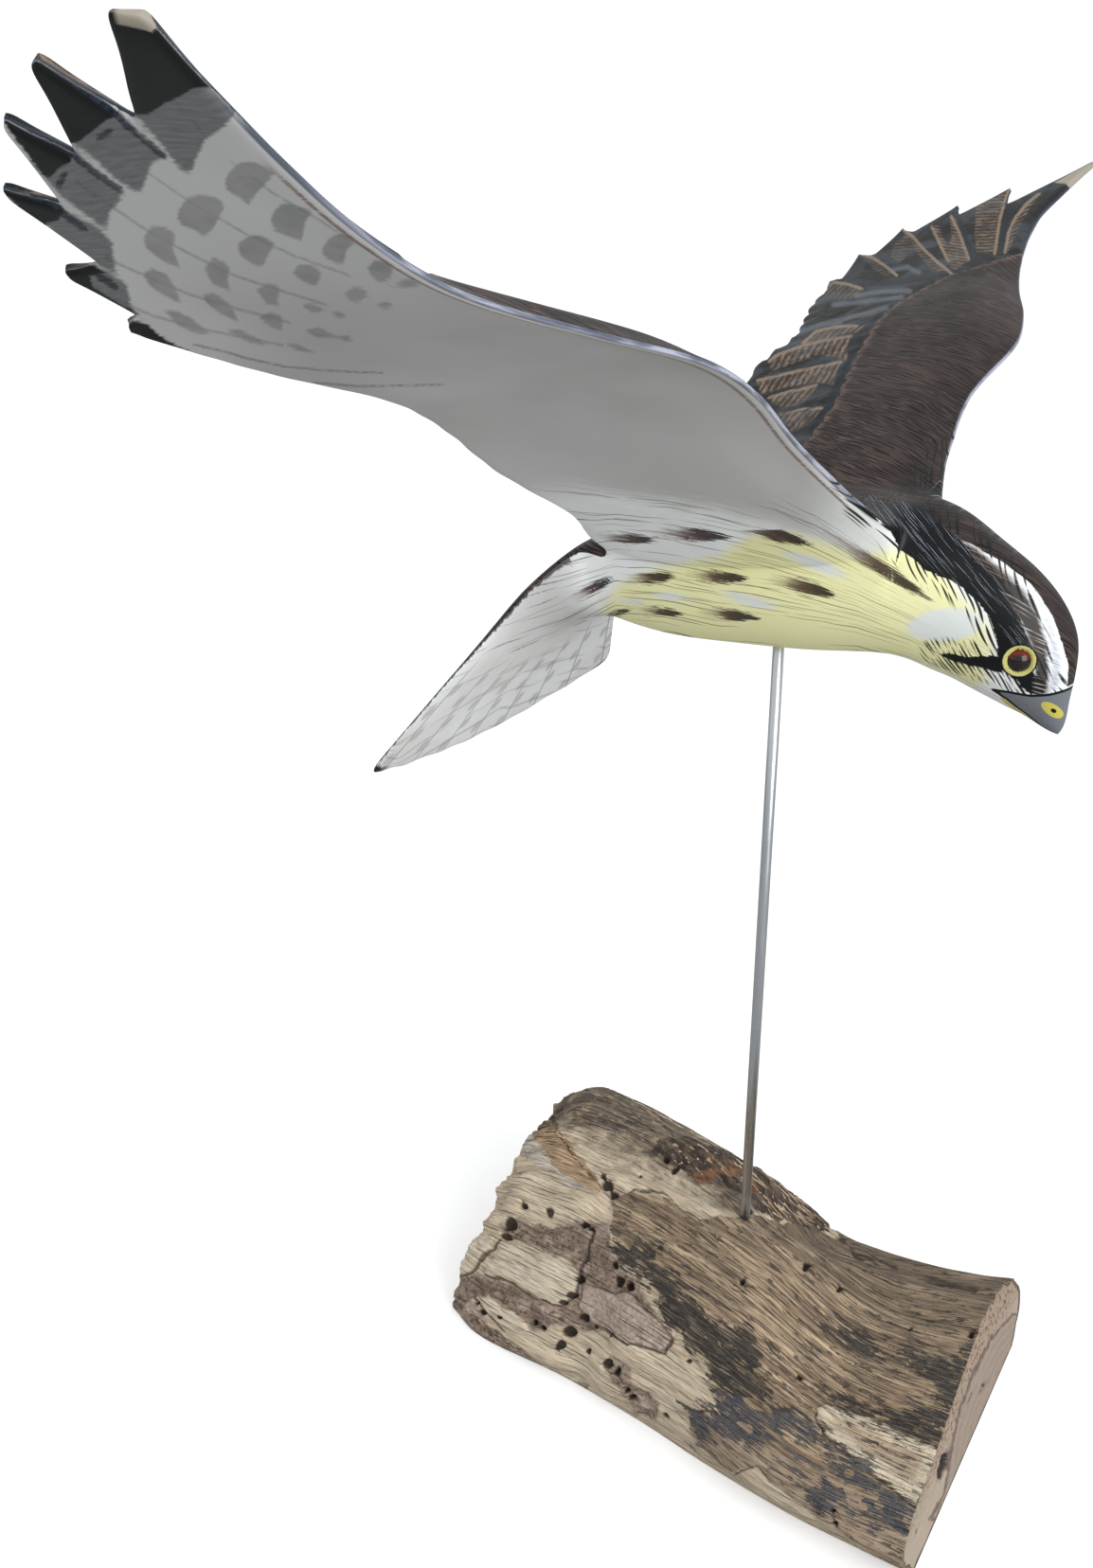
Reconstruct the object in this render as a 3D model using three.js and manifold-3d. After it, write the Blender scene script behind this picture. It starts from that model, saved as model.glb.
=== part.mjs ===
// A carved and painted kestrel, hovering on a steel rod that stands in a cut length of weathered log.
// Units are millimetres. +X is the way the bird faces, +Y is its left side and +Z is up.
// The origin is on the flat underside of the log, straight below the rod.
// The bird is one carving, so its body, wings, wing fingers and fanned tail are stitched into one skin.
import * as THREE from "three";
import { mergeVertices } from "three/addons/utils/BufferGeometryUtils.js";
import Module from "manifold-3d";

const wasm = await Module();
wasm.setup();

// Driving sizes
const ROD_DIAMETER = 4;
const ROD_VISIBLE = 234; // between the top of the log and the belly
const ROD_IN_LOG = 26;
const ROD_IN_BIRD = 18;
const FIT_GAP = 0.3; // left round the rod and the eyes, so that no two pieces share space
const LOG_HEIGHT = 62; // at the rod
const BELLY_HEIGHT = LOG_HEIGHT + ROD_VISIBLE;
const EYE_RADIUS = 4.2;
const EYE_PLACE = { x: 83.8, y: 13.2, z: 11.3 };
const EYE_SIDES = 14;
const ROD_SIDES = 24;

// Body: stations from the beak to the root of the tail, measured from the belly at the rod.
// tilt is the angle of the body's line there, nose down below zero. above and below are the heights
// of the section over and under its centre, and half is half its width.
const STATIONS = [
  { place: "beak tip", x: 96, z: -15.2, tilt: -74, half: 0.5, above: 0.8, below: 0.8 },
  { place: "beak", x: 93.3, z: -10.6, tilt: -71, half: 3.6, above: 4.8, below: 4.6 },
  { place: "cere", x: 90.9, z: -6.2, tilt: -66, half: 6.4, above: 7.8, below: 7.9 },
  { place: "bill root", x: 88.7, z: -1.2, tilt: -58, half: 10.6, above: 11.8, below: 12 },
  { place: "face", x: 85.6, z: 5.8, tilt: -49, half: 15, above: 16.6, below: 16.8 },
  { place: "eyes", x: 80, z: 12.8, tilt: -39, half: 17.8, above: 19.2, below: 20.4 },
  { place: "crown", x: 72, z: 18.4, tilt: -30, half: 19, above: 21.6, below: 22 },
  { place: "nape", x: 62.5, z: 23.6, tilt: -20, half: 20.4, above: 23.2, below: 24 },
  { place: "neck", x: 51.5, z: 27.6, tilt: -11, half: 22.8, above: 27.4, below: 24.5 },
  { place: "shoulder", x: 38, z: 29.6, tilt: -3, half: 25.5, above: 28, below: 25.4 },
  { place: "breast", x: 12, z: 29, tilt: 0, half: 27, above: 28.5, below: 27.2 },
  { place: "belly", x: -14, z: 27.4, tilt: 0, half: 25.6, above: 26, below: 26.8 },
  { place: "loin", x: -38, z: 24.4, tilt: 6, half: 22.5, above: 20, below: 24.4 },
  { place: "rump", x: -54, z: 28, tilt: 8, half: 20.5, above: 10, below: 27 },
  { place: "tail root", x: -67, z: 31, tilt: 13, half: 20.5, above: 3.5, below: 28.5 },
];
const RING_POINTS = 32;
const HEAD_RINGS_PER_STATION = 1.7;
const WING_COLUMNS = 18;
const FIRST_WING_STATION = 8.6;
const LAST_WING_STATION = 13.2;

// Tail: a fan of feathers spread round a pivot inside the rump
const TAIL_SLOPE = 58.5; // degrees below level, going back
const TAIL_PIVOT = { x: -58.6, z: 56.8 };
const TAIL_ROOT = { along: 25, half: 20.5 };
const TAIL_RADIUS = 131;
const TAIL_CORNER_EXTRA = 13; // the outer feathers reach this much further than the middle ones
const TAIL_HALF_ANGLE = 39.4;
const TAIL_RINGS = 8;
const TAIL_FEATHERS = 8;
const TAIL_SCALLOP = 3;
const TAIL_ROOT_THICKNESS = 5.2; // of the feathers alone, where they leave the body
const TAIL_END_THICKNESS = 3.2;
const TAIL_COVERT_DEPTH = 21; // the body carries on this deep under the root of the tail
const TAIL_DROOP = 4; // how far the outer feathers hang below the middle ones
const TAIL_FANNED_BY = 0.3; // share of the tail's length by which its feathers lie evenly
const TAIL_FREE_BY = 0.26; // share of its length by which the shape of the body has run out

// Wings, measured as [forward, out from the middle, up from the belly]
const LEADING_EDGE = [
  [46, 21, 47],
  [39, 47, 61],
  [34.5, 83, 80],
  [37.5, 119, 96],
  [40, 152, 106],
  [28, 184, 113],
  [14.5, 211, 121.5],
  [10, 236, 132.5],
  [11, 261, 144.4],
];
const TRAILING_EDGE = [
  [-64, 20, 37],
  [-60, 45, 48.5],
  [-58.5, 86, 67.5],
  [-59, 121, 84],
  [-56.5, 150, 94],
  [-58, 172, 100.5],
  [-66.5, 198, 107],
  [-70, 212, 111.5],
];
// How far forward of these lines each edge was left by the carver's knife, wing by wing
const LEADING_EDGE_SHIFT = {
  right: [0, 0, 0, 0, -1.6, 1.2, -1.8, -1.3, 0],
  left: [0, -0.3, 0, 3, -6, -4.3, 2, 2.1, 0],
};
const TRAILING_EDGE_SHIFT = {
  right: [0, 3.5, -0.4, 5.2, 6.3, -6.3, 1.5, 0],
  left: [0, 0, 0, -2.4, -0.8, -4.1, -1.8, 0],
};
const FINGER_ROOTS = [
  [11, 261, 144.4],
  [-7.5, 270, 147.6],
  [-27.5, 264.6, 142.8],
  [-44.6, 254, 135.6],
  [-56.5, 235.5, 125.8],
  [-65.5, 218, 115.6],
  [-70, 212, 111.5],
];
const FINGER_TIPS = {
  right: [
    [15.2, 293, 159.8], // worn short and blunt
    [-11.6, 286.8, 155.9],
    [-31.6, 277, 149.1],
    [-54.3, 259.9, 139.5],
    [-68.7, 234.8, 124.9],
    [-72.2, 215.6, 113.4],
  ],
  left: [
    [21, 320, 169.5], // whole
    [-10.8, 286.9, 155.9],
    [-31.4, 274.9, 148.1],
    [-51.1, 256.1, 137.8],
    [-65.2, 237.6, 126.1],
    [-71.2, 217.1, 114.1],
  ],
};
const BLUNT_TIP_WIDTH = 5.2;
const FINGER_TIP_WIDTH = 1.6;
const FINGER_SHARES = [0.4, 0.75, 1]; // where the rows along a pointed finger stand
const BLUNT_SHARES = [0.5, 0.88, 1];
const COLUMNS_PER_FINGER = 3;
const WING_ROWS = 20;
const ROW_CROWDING = 1.25; // rows stand closer together near the body
const FIRST_ROW = (1 / WING_ROWS) ** ROW_CROWDING;
const WING_DIHEDRAL = 24; // degrees, used for the direction of the wing's thickness
const ROOT_THICKNESS = 13;
const TIP_THICKNESS = 3.2;
const EDGE_THICKNESS = 2.4;
const THICKEST_FROM = 0.22; // the wing is thickest between these shares of its width
const THICKEST_TO = 0.25;
const FINGER_END_THICKNESS = 2;
const CAMBER = 3; // how far the underside is hollowed
const ROOT_FILLET_DROP = 15; // the underside sweeps down into the flank by this much
const ROOT_FILLET_REACH = 34;
const SHOULDER_POINT = 2; // points up from the widest point of a body ring
const SHOULDER_SWELL = 1.6;
const FLANK_OUT = 22;
const ROOT_TOP = 6; // points up from the widest point of a body ring
const COVERT_STEP = 1.6;
const COVERT_REACH = 0.6;
const COVERTS_NARROW_FROM = 0.6;
const COVERTS_END = 0.95;
const FEATHER_RIDGE = 0.9;
const SECONDARY_SCALLOP = { right: 1.6, left: 4 }; // the left wing keeps its feather ends, the right is worn

// Log: a half round of weathered trunk, flat underneath, sawn square in front and worn away behind.
// Each outline runs over the top from the right side to the left, as [left, up].
const LOG_OUTLINES = [
  {
    x: -111,
    over: [
      [-50, 0], [-51, 5], [-42, 15], [-29, 24], [-14, 33],
      [6, 44.5], [33, 51.5], [54, 46], [70, 28], [74, 0],
    ],
  },
  {
    x: -90,
    over: [
      [-58.5, 0], [-59.5, 7], [-50, 19], [-36, 32], [-17, 45],
      [8, 58], [33, 67.5], [53, 57], [69, 30], [75, 0],
    ],
  },
  {
    x: -50,
    over: [
      [-60, 0], [-63, 9], [-57, 25], [-44, 40], [-25, 53],
      [0, 62.5], [24, 68.5], [48, 54], [70, 26], [77, 0],
    ],
  },
  {
    x: -12,
    over: [
      [-65, 0], [-68, 12], [-64, 29], [-51, 45], [-30, 56],
      [-5, 61.5], [22, 58.5], [47, 45], [70, 22], [78, 0],
    ],
  },
  {
    x: 20,
    over: [
      [-71, 0], [-75, 13], [-70, 31], [-55, 45], [-32, 56],
      [-7, 57], [16, 43], [43, 30], [66, 11], [73, 0],
    ],
  },
  {
    x: 58,
    over: [
      [-76, 0], [-84, 13], [-76, 26], [-56, 35], [-28, 42],
      [2, 43], [26, 38], [48, 25.5], [61, 12], [58, 0],
    ],
  },
  {
    x: 95,
    over: [
      [-77, 0], [-86, 14], [-76, 23], [-52, 29], [-24, 37],
      [8, 43.5], [32, 40.5], [54, 29], [62, 14], [51, 0],
    ],
  },
];
const LOG_CUT_LEAN = 5; // the sawn end stands this much further forward at the foot
const LOG_CUT_HEIGHT = 50;
const LOG_CUT_TURN = 1; // and this much further forward on the left side than in the middle
const LOG_CUT_HALF_WIDTH = 76;
const LOG_RINGS = 27;
const LOG_OVER_POINTS = 30;
const LOG_UNDER_POINTS = 8;
const LOG_BREAK_DEPTH = 7; // the worn end is hollowed by this much
const LOG_BREAK_MIDDLE = [12, 20]; // left and up
const LOG_BREAK_STEPS = [[0.78, 0.35], [0.5, 1.1], [0.24, 0.7]]; // share of the outline, share of the depth
const LOG_BREAK_RIPPLE = 1.5;
// Hollows and knots on the log: [forward, left, radius along, radius across, height].
// A hollow has a height below zero.
const LOG_MARKS = [
  [-84, -32, 15, 11, -3.2],
  [-70, 2, 14, 5, -3],
  [-52, -44, 13, 10, -2.6],
  [-98, -14, 7, 8, 2.4],
  [-62, -16, 9, 7, 2.6],
  [-28, 24, 26, 8, 2.6],
  [38, 24, 22, 6, -2.4],
  [14, -64, 24, 7, -2],
  [72, -50, 22, 9, -1.8],
  [-40, -58, 11, 7, -3.4],
];

const radians = THREE.MathUtils.degToRad;
const lerp = THREE.MathUtils.lerp;
const smoothstep = THREE.MathUtils.smoothstep;

// The value at t along a list of numbers, on a smooth curve through them.
function smoothThrough(values, t) {
  const last = values.length - 1;
  const i = Math.min(Math.floor(t), last - 1);
  const f = t - i;
  const [b, c] = [values[i], values[i + 1]];
  const a = i > 0 ? values[i - 1] : 2 * b - c;
  const d = i + 2 <= last ? values[i + 2] : 2 * c - b;
  return b + 0.5 * f * (c - a + f * (2 * a - 5 * b + 4 * c - d + f * (3 * (b - c) + d - a)));
}

// A skin of quads that is turned into one closed triangle mesh.
class Skin {
  points = [];
  faces = [];
  point(p) {
    this.points.push(p.x, p.y, p.z);
    return this.points.length / 3 - 1;
  }
  face(corners, flip = false) {
    const c = flip ? [...corners].reverse() : corners;
    for (let i = 1; i + 1 < c.length; i++) this.faces.push(c[0], c[i], c[i + 1]);
  }
  at(index) {
    return new THREE.Vector3().fromArray(this.points, 3 * index);
  }
  geometry() {
    const g = new THREE.BufferGeometry();
    g.setAttribute("position", new THREE.Float32BufferAttribute(this.points, 3));
    g.setIndex(this.faces);
    return g;
  }
}

// Solids that are cut go through manifold-3d and come back as plain geometry.
function toSolid(geometry) {
  const bare = geometry.clone();
  bare.deleteAttribute("normal");
  bare.deleteAttribute("uv");
  const merged = mergeVertices(bare, 1e-4);
  return new wasm.Manifold(
    new wasm.Mesh({
      numProp: 3,
      vertProperties: merged.attributes.position.array,
      triVerts: new Uint32Array(merged.index.array),
    }),
  );
}

function toGeometry(solid) {
  const mesh = solid.getMesh();
  const g = new THREE.BufferGeometry();
  g.setAttribute("position", new THREE.BufferAttribute(new Float32Array(mesh.vertProperties), 3));
  g.setIndex(new THREE.BufferAttribute(new Uint32Array(mesh.triVerts), 1));
  g.computeVertexNormals();
  return g;
}

// One ring of the body at station t. Point 0 is at the right side, and the ring goes up over the back.
function bodyRing(t) {
  const of = (key) => smoothThrough(STATIONS.map((s) => s[key]), t);
  const tilt = radians(of("tilt"));
  const up = new THREE.Vector3(-Math.sin(tilt), 0, Math.cos(tilt));
  const [half, above, below] = [of("half"), of("above"), of("below")];
  const centre = new THREE.Vector3(of("x"), 0, BELLY_HEIGHT + of("z"));
  return Array.from({ length: RING_POINTS }, (_, j) => {
    const angle = (2 * Math.PI * j) / RING_POINTS;
    const rise = Math.sin(angle) * (angle < Math.PI ? above : below);
    const side = -half * Math.cos(angle);
    return new THREE.Vector3(0, side, 0).addScaledVector(up, rise).add(centre);
  });
}

// One ring of the tail. share runs from 0 at the root to 1 at the feather ends.
function tailRing(share, rootRing) {
  const slope = radians(TAIL_SLOPE);
  const back = new THREE.Vector3(-Math.cos(slope), 0, -Math.sin(slope));
  const up = new THREE.Vector3(-Math.sin(slope), 0, Math.cos(slope));
  const pivot = new THREE.Vector3(TAIL_PIVOT.x, 0, BELLY_HEIGHT + TAIL_PIVOT.z);
  const fanned = smoothstep(share, 0, TAIL_FANNED_BY);
  return Array.from({ length: RING_POINTS }, (_, j) => {
    const angle = (2 * Math.PI * j) / RING_POINTS;
    const onTop = j <= RING_POINTS / 2;
    const even = onTop ? 1 - (4 * j) / RING_POINTS : (4 * j) / RING_POINTS - 3;
    const across = lerp(Math.cos(angle), even, fanned);
    const turn = radians(TAIL_HALF_ANGLE) * across;
    const scallop = TAIL_SCALLOP * Math.abs(Math.sin((across + 1) * 0.5 * TAIL_FEATHERS * Math.PI)) ** 0.7;
    const reach = TAIL_RADIUS + TAIL_CORNER_EXTRA * across * across - TAIL_SCALLOP + scallop;
    const edge = Math.abs(Math.sin(angle)) ** lerp(1, 0.25, fanned);
    const thin = (lerp(TAIL_ROOT_THICKNESS, TAIL_END_THICKNESS, share) / 2) * edge;
    const coverts = TAIL_COVERT_DEPTH * (1 - share) ** 3 * Math.max(0, 1 - across * across) ** 0.8;
    const outer = Math.abs(across) > 0.999;
    const level = outer ? 0 : onTop ? thin : -thin - coverts;
    const slant = onTop ? 0 : coverts;
    const fan = pivot
      .clone()
      .addScaledVector(back, slant + lerp(TAIL_ROOT.along, reach * Math.cos(turn), share))
      .add(new THREE.Vector3(0, -lerp(TAIL_ROOT.half * across, reach * Math.sin(turn), share), 0))
      .addScaledVector(up, level - TAIL_DROOP * across * across * share);
    return rootRing[j].clone().lerp(fan, smoothstep(share, -0.05, TAIL_FREE_BY));
  });
}

// The middle surface of a wing: along runs from the body to the roots of the fingers, and across
// from the leading edge to the trailing edge.
function curveOf(list) {
  const points = list.map((p) => new THREE.Vector3(...p));
  return new THREE.CatmullRomCurve3(points, false, "centripetal");
}

function shifted(edge, shifts) {
  return edge.map(([x, y, z], i) => [x + shifts[i], y, z]);
}

function edgesOf(side) {
  return {
    leading: curveOf(shifted(LEADING_EDGE, LEADING_EDGE_SHIFT[side])),
    trailing: curveOf(shifted(TRAILING_EDGE, TRAILING_EDGE_SHIFT[side])),
  };
}

const WING_EDGES = { right: edgesOf("right"), left: edgesOf("left") };

function fingerLine(across) {
  const place = across * (FINGER_ROOTS.length - 1);
  const along = (axis) => smoothThrough(FINGER_ROOTS.map((p) => p[axis]), place);
  return new THREE.Vector3(along(0), along(1), along(2));
}

function wingMiddle(side, along, across) {
  const { leading, trailing } = side < 0 ? WING_EDGES.right : WING_EDGES.left;
  const front = leading.getPoint(along);
  const rear = trailing.getPoint(along);
  const root = leading.getPoint(0).lerp(trailing.getPoint(0), across);
  const end = fingerLine(across);
  const corners = root.clone().lerp(end, along);
  const straightEnd = fingerLine(0).lerp(fingerLine(1), across);
  const p = front.clone().lerp(rear, across);
  p.add(corners).sub(root.clone().lerp(straightEnd, along));
  p.z += CAMBER * Math.sin(Math.PI * Math.min(1, across)) * (1 - 0.55 * along);
  return p;
}

function wingThickness(along, across) {
  const main = lerp(ROOT_THICKNESS, TIP_THICKNESS, Math.min(1, along * 1.05) ** 0.55);
  const front = smoothstep(across, 0, THICKEST_FROM);
  const rear = 1 - 0.75 * smoothstep(across, THICKEST_TO, 1);
  return Math.max(EDGE_THICKNESS, main * lerp(0.4, 1, front) * rear);
}

// Carving on the upper side: the step at the edge of the coverts, and a ridge down each flight feather.
// The coverts reach this share across the wing near the body and run out before its end.
function coverEdge(along) {
  return COVERT_REACH * (1 - smoothstep(along, COVERTS_NARROW_FROM, COVERTS_END));
}

function upperCarving(along, across, row, column) {
  const covered = 1 - smoothstep(across, coverEdge(along) - 0.03, coverEdge(along) + 0.03);
  const quill = along > 0.66 ? Math.abs(Math.sin((Math.PI * column) / COLUMNS_PER_FINGER)) : row % 2;
  return COVERT_STEP * covered + FEATHER_RIDGE * quill * (1 - covered) * smoothstep(along, 0.1, 0.25);
}

function addWing(skin, rings, firstRing, side) {
  const lean = radians(WING_DIHEDRAL);
  const up = new THREE.Vector3(0, -Math.sin(lean) * side, Math.cos(lean));
  const place = (p) => new THREE.Vector3(p.x, side * p.y, BELLY_HEIGHT + p.z);
  const flip = side < 0;
  const half = RING_POINTS / 2;
  const onRing = (j) => (side < 0 ? j : half - j);
  const rows = [];
  const between = Array.from({ length: ROOT_TOP - 1 }, (_, i) => onRing(ROOT_TOP - 1 - i));
  const rootRow = {
    top: [],
    bottom: [],
    front: between.map((j) => rings[firstRing][j]),
    rear: between.map((j) => rings[firstRing + WING_COLUMNS][j]),
  };
  for (let m = 0; m <= WING_COLUMNS; m++) {
    rootRow.top.push(rings[firstRing + m][onRing(ROOT_TOP)]);
    rootRow.bottom.push(rings[firstRing + m][onRing(0)]);
  }
  rows.push(rootRow);
  const nearRoot = (m) => place(wingMiddle(side, FIRST_ROW / 2, m / WING_COLUMNS));
  rows.push(shoulderRow(skin, rings, firstRing, onRing, nearRoot));
  for (let k = 1; k <= WING_ROWS; k++) {
    const along = (k / WING_ROWS) ** ROW_CROWDING;
    const row = { top: [], bottom: [] };
    for (let m = 0; m <= WING_COLUMNS; m++) {
      const across = m / WING_COLUMNS;
      const middle = wingMiddle(side, along, across);
      const feathered = smoothstep(across, 0.8, 1) * (1 - smoothstep(along, 0.8, 1));
      middle.x -= (side < 0 ? SECONDARY_SCALLOP.right : SECONDARY_SCALLOP.left) * feathered * (k % 2);
      const t = wingThickness(along, across) / 2;
      const top = place(middle).addScaledVector(up, t + upperCarving(along, across, k, m));
      const bottom = place(middle).addScaledVector(up, -t);
      const near = 1 - Math.min(1, (middle.y - FLANK_OUT) / ROOT_FILLET_REACH);
      bottom.z -= ROOT_FILLET_DROP * near ** 2.4 * Math.sin(Math.PI * across) ** 0.7;
      row.top.push(skin.point(top));
      row.bottom.push(skin.point(bottom));
    }
    row.front = [edgePoint(skin, row.top[0], row.bottom[0], row.top[1])];
    row.rear = [edgePoint(skin, row.top[WING_COLUMNS], row.bottom[WING_COLUMNS], row.top[WING_COLUMNS - 1])];
    rows.push(row);
  }
  for (let k = 0; k + 1 < rows.length; k++) stitchRows(skin, rows[k], rows[k + 1], WING_COLUMNS, flip);
  addFingers(skin, rows[rows.length - 1], side, place, up, flip);
}

// The first row out from the body: on top it is half way to the wing, and underneath it keeps to the flank.
function shoulderRow(skin, rings, firstRing, onRing, middle) {
  const row = { top: [], bottom: [] };
  for (let m = 0; m <= WING_COLUMNS; m++) {
    const ring = rings[firstRing + m];
    const top = skin.at(ring[onRing(ROOT_TOP)]).lerp(middle(m), 0.5);
    const flank = skin.at(ring[onRing(SHOULDER_POINT)]);
    const out = new THREE.Vector3(0, Math.sign(flank.y) * SHOULDER_SWELL, 0);
    row.top.push(skin.point(top.setZ(Math.max(top.z, skin.at(ring[onRing(ROOT_TOP)]).z))));
    row.bottom.push(skin.point(flank.add(out)));
  }
  row.front = [skin.point(skin.at(row.top[0]).lerp(skin.at(row.bottom[0]), 0.5))];
  row.rear = [skin.point(skin.at(row.top[WING_COLUMNS]).lerp(skin.at(row.bottom[WING_COLUMNS]), 0.5))];
  return row;
}

// The middle point of a rounded edge, pushed outwards from the face beside it.
function edgePoint(skin, top, bottom, inner) {
  const [a, b, c] = [skin.at(top), skin.at(bottom), skin.at(inner)];
  const out = a.clone().sub(c).setLength(a.distanceTo(b) * 0.4);
  return skin.point(a.add(b).multiplyScalar(0.5).add(out));
}

function stitchRows(skin, a, b, columns, flip) {
  for (let m = 0; m < columns; m++) {
    skin.face([a.top[m], b.top[m], b.top[m + 1], a.top[m + 1]], flip);
    skin.face([a.bottom[m], a.bottom[m + 1], b.bottom[m + 1], b.bottom[m]], flip);
  }
  stitchEdge(skin, [a.top[0], ...a.front, a.bottom[0]], [b.top[0], ...b.front, b.bottom[0]], flip);
  const rearEdge = (row) => [row.top[columns], ...row.rear, row.bottom[columns]];
  stitchEdge(skin, rearEdge(a), rearEdge(b), !flip);
}

// Joins two rows of points that may differ in number, taking a step on whichever row is behind.
function stitchEdge(skin, a, b, flip) {
  let [i, j] = [0, 0];
  while (i + 1 < a.length || j + 1 < b.length) {
    const behind = (i + 1) / (a.length - 1) <= (j + 1) / (b.length - 1);
    const stepA = j + 1 >= b.length || (i + 1 < a.length && behind);
    skin.face(stepA ? [a[i], a[i + 1], b[j]] : [a[i], b[j + 1], b[j]], flip);
    if (stepA) i++;
    else j++;
  }
}

function addFingers(skin, palm, side, place, up, flip) {
  const notches = [palm.front[0]];
  const tips = side < 0 ? FINGER_TIPS.right : FINGER_TIPS.left;
  for (let i = 1; i < tips.length; i++) {
    const m = i * COLUMNS_PER_FINGER;
    const middle = skin.at(palm.top[m]).add(skin.at(palm.bottom[m])).multiplyScalar(0.5);
    notches.push(skin.point(middle));
  }
  notches.push(palm.rear[0]);
  tips.forEach((tip, i) => {
    const m0 = i * COLUMNS_PER_FINGER;
    const slice = (list) => list.slice(m0, m0 + COLUMNS_PER_FINGER + 1);
    const base = { top: slice(palm.top), bottom: slice(palm.bottom) };
    Object.assign(base, { front: [notches[i]], rear: [notches[i + 1]] });
    let row = base;
    const end = new THREE.Vector3(...tip);
    const width = i === 0 && side < 0 ? BLUNT_TIP_WIDTH : FINGER_TIP_WIDTH;
    const a = skin.at(base.top[0]).lerp(skin.at(base.bottom[0]), 0.5);
    const b = skin.at(base.top[COLUMNS_PER_FINGER]).lerp(skin.at(base.bottom[COLUMNS_PER_FINGER]), 0.5);
    const direction = b.clone().sub(a).normalize();
    for (const share of i === 0 && side < 0 ? BLUNT_SHARES : FINGER_SHARES) {
      const next = { top: [], bottom: [] };
      const narrow = Math.sqrt(1 - share * share * 0.9999);
      for (let c = 0; c <= COLUMNS_PER_FINGER; c++) {
        const across = c / COLUMNS_PER_FINGER;
        const wide = a.clone().lerp(b, across);
        const middle = a.clone().lerp(b, 0.5);
        const tipPoint = place(end).addScaledVector(direction, (across - 0.5) * width);
        const p = wide.lerp(middle, (1 - narrow) * 0.75).lerp(tipPoint, share);
        const t = lerp(wingThickness(1, (m0 + c) / WING_COLUMNS), FINGER_END_THICKNESS, share) / 2;
        const ridge = FEATHER_RIDGE * Math.sin(Math.PI * across) * (1 - 0.7 * share);
        next.top.push(skin.point(p.clone().addScaledVector(up, t + ridge)));
        next.bottom.push(skin.point(p.clone().addScaledVector(up, -t)));
      }
      const n = COLUMNS_PER_FINGER;
      next.front = [edgePoint(skin, next.top[0], next.bottom[0], next.top[1])];
      next.rear = [edgePoint(skin, next.top[n], next.bottom[n], next.top[n - 1])];
      stitchRows(skin, row, next, COLUMNS_PER_FINGER, flip);
      row = next;
    }
    const n = COLUMNS_PER_FINGER;
    for (let c = 1; c < n - 1; c++) {
      skin.face([row.top[c], row.bottom[c], row.bottom[c + 1], row.top[c + 1]], flip);
    }
    skin.face([row.top[0], row.front[0], row.bottom[0], row.bottom[1], row.top[1]], flip);
    skin.face([row.top[n - 1], row.bottom[n - 1], row.bottom[n], row.rear[0], row.top[n]], flip);
  });
}

function birdSkin() {
  const skin = new Skin();
  const places = [];
  const headSteps = Math.round(FIRST_WING_STATION * HEAD_RINGS_PER_STATION);
  for (let i = 1; i < headSteps; i++) places.push((FIRST_WING_STATION * i) / headSteps);
  const firstWingRing = places.length;
  for (let m = 0; m <= WING_COLUMNS; m++) {
    places.push(lerp(FIRST_WING_STATION, LAST_WING_STATION, m / WING_COLUMNS));
  }
  const lastStation = STATIONS.length - 1;
  places.push(lerp(LAST_WING_STATION, lastStation, 0.5), lastStation);
  const shapes = places.map(bodyRing);
  const root = shapes[shapes.length - 1];
  for (let i = 1; i <= TAIL_RINGS; i++) shapes.push(tailRing(i / TAIL_RINGS, root));
  const rings = shapes.map((ring) => ring.map((p) => skin.point(p)));
  const inWing = (i, j) => {
    const beside = j < ROOT_TOP || (j >= RING_POINTS / 2 - ROOT_TOP && j < RING_POINTS / 2);
    return beside && i >= firstWingRing && i < firstWingRing + WING_COLUMNS;
  };
  for (let i = 0; i + 1 < rings.length; i++) {
    for (let j = 0; j < RING_POINTS; j++) {
      const next = (j + 1) % RING_POINTS;
      if (!inWing(i, j)) skin.face([rings[i][j], rings[i][next], rings[i + 1][next], rings[i + 1][j]]);
    }
  }
  const beak = STATIONS[0];
  const tip = skin.point(new THREE.Vector3(beak.x, 0, BELLY_HEIGHT + beak.z));
  for (let j = 0; j < RING_POINTS; j++) skin.face([tip, rings[0][(j + 1) % RING_POINTS], rings[0][j]]);
  const end = rings[rings.length - 1];
  const under = (k) => end[RING_POINTS - k];
  const half = RING_POINTS / 2;
  skin.face([end[0], end[1], under(1)]);
  for (let j = 1; j + 1 < half; j++) skin.face([end[j], end[j + 1], under(j + 1), under(j)]);
  skin.face([end[half - 1], end[half], under(half - 1)]);
  addWing(skin, rings, firstWingRing, -1);
  addWing(skin, rings, firstWingRing, 1);
  return skin.geometry();
}

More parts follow.
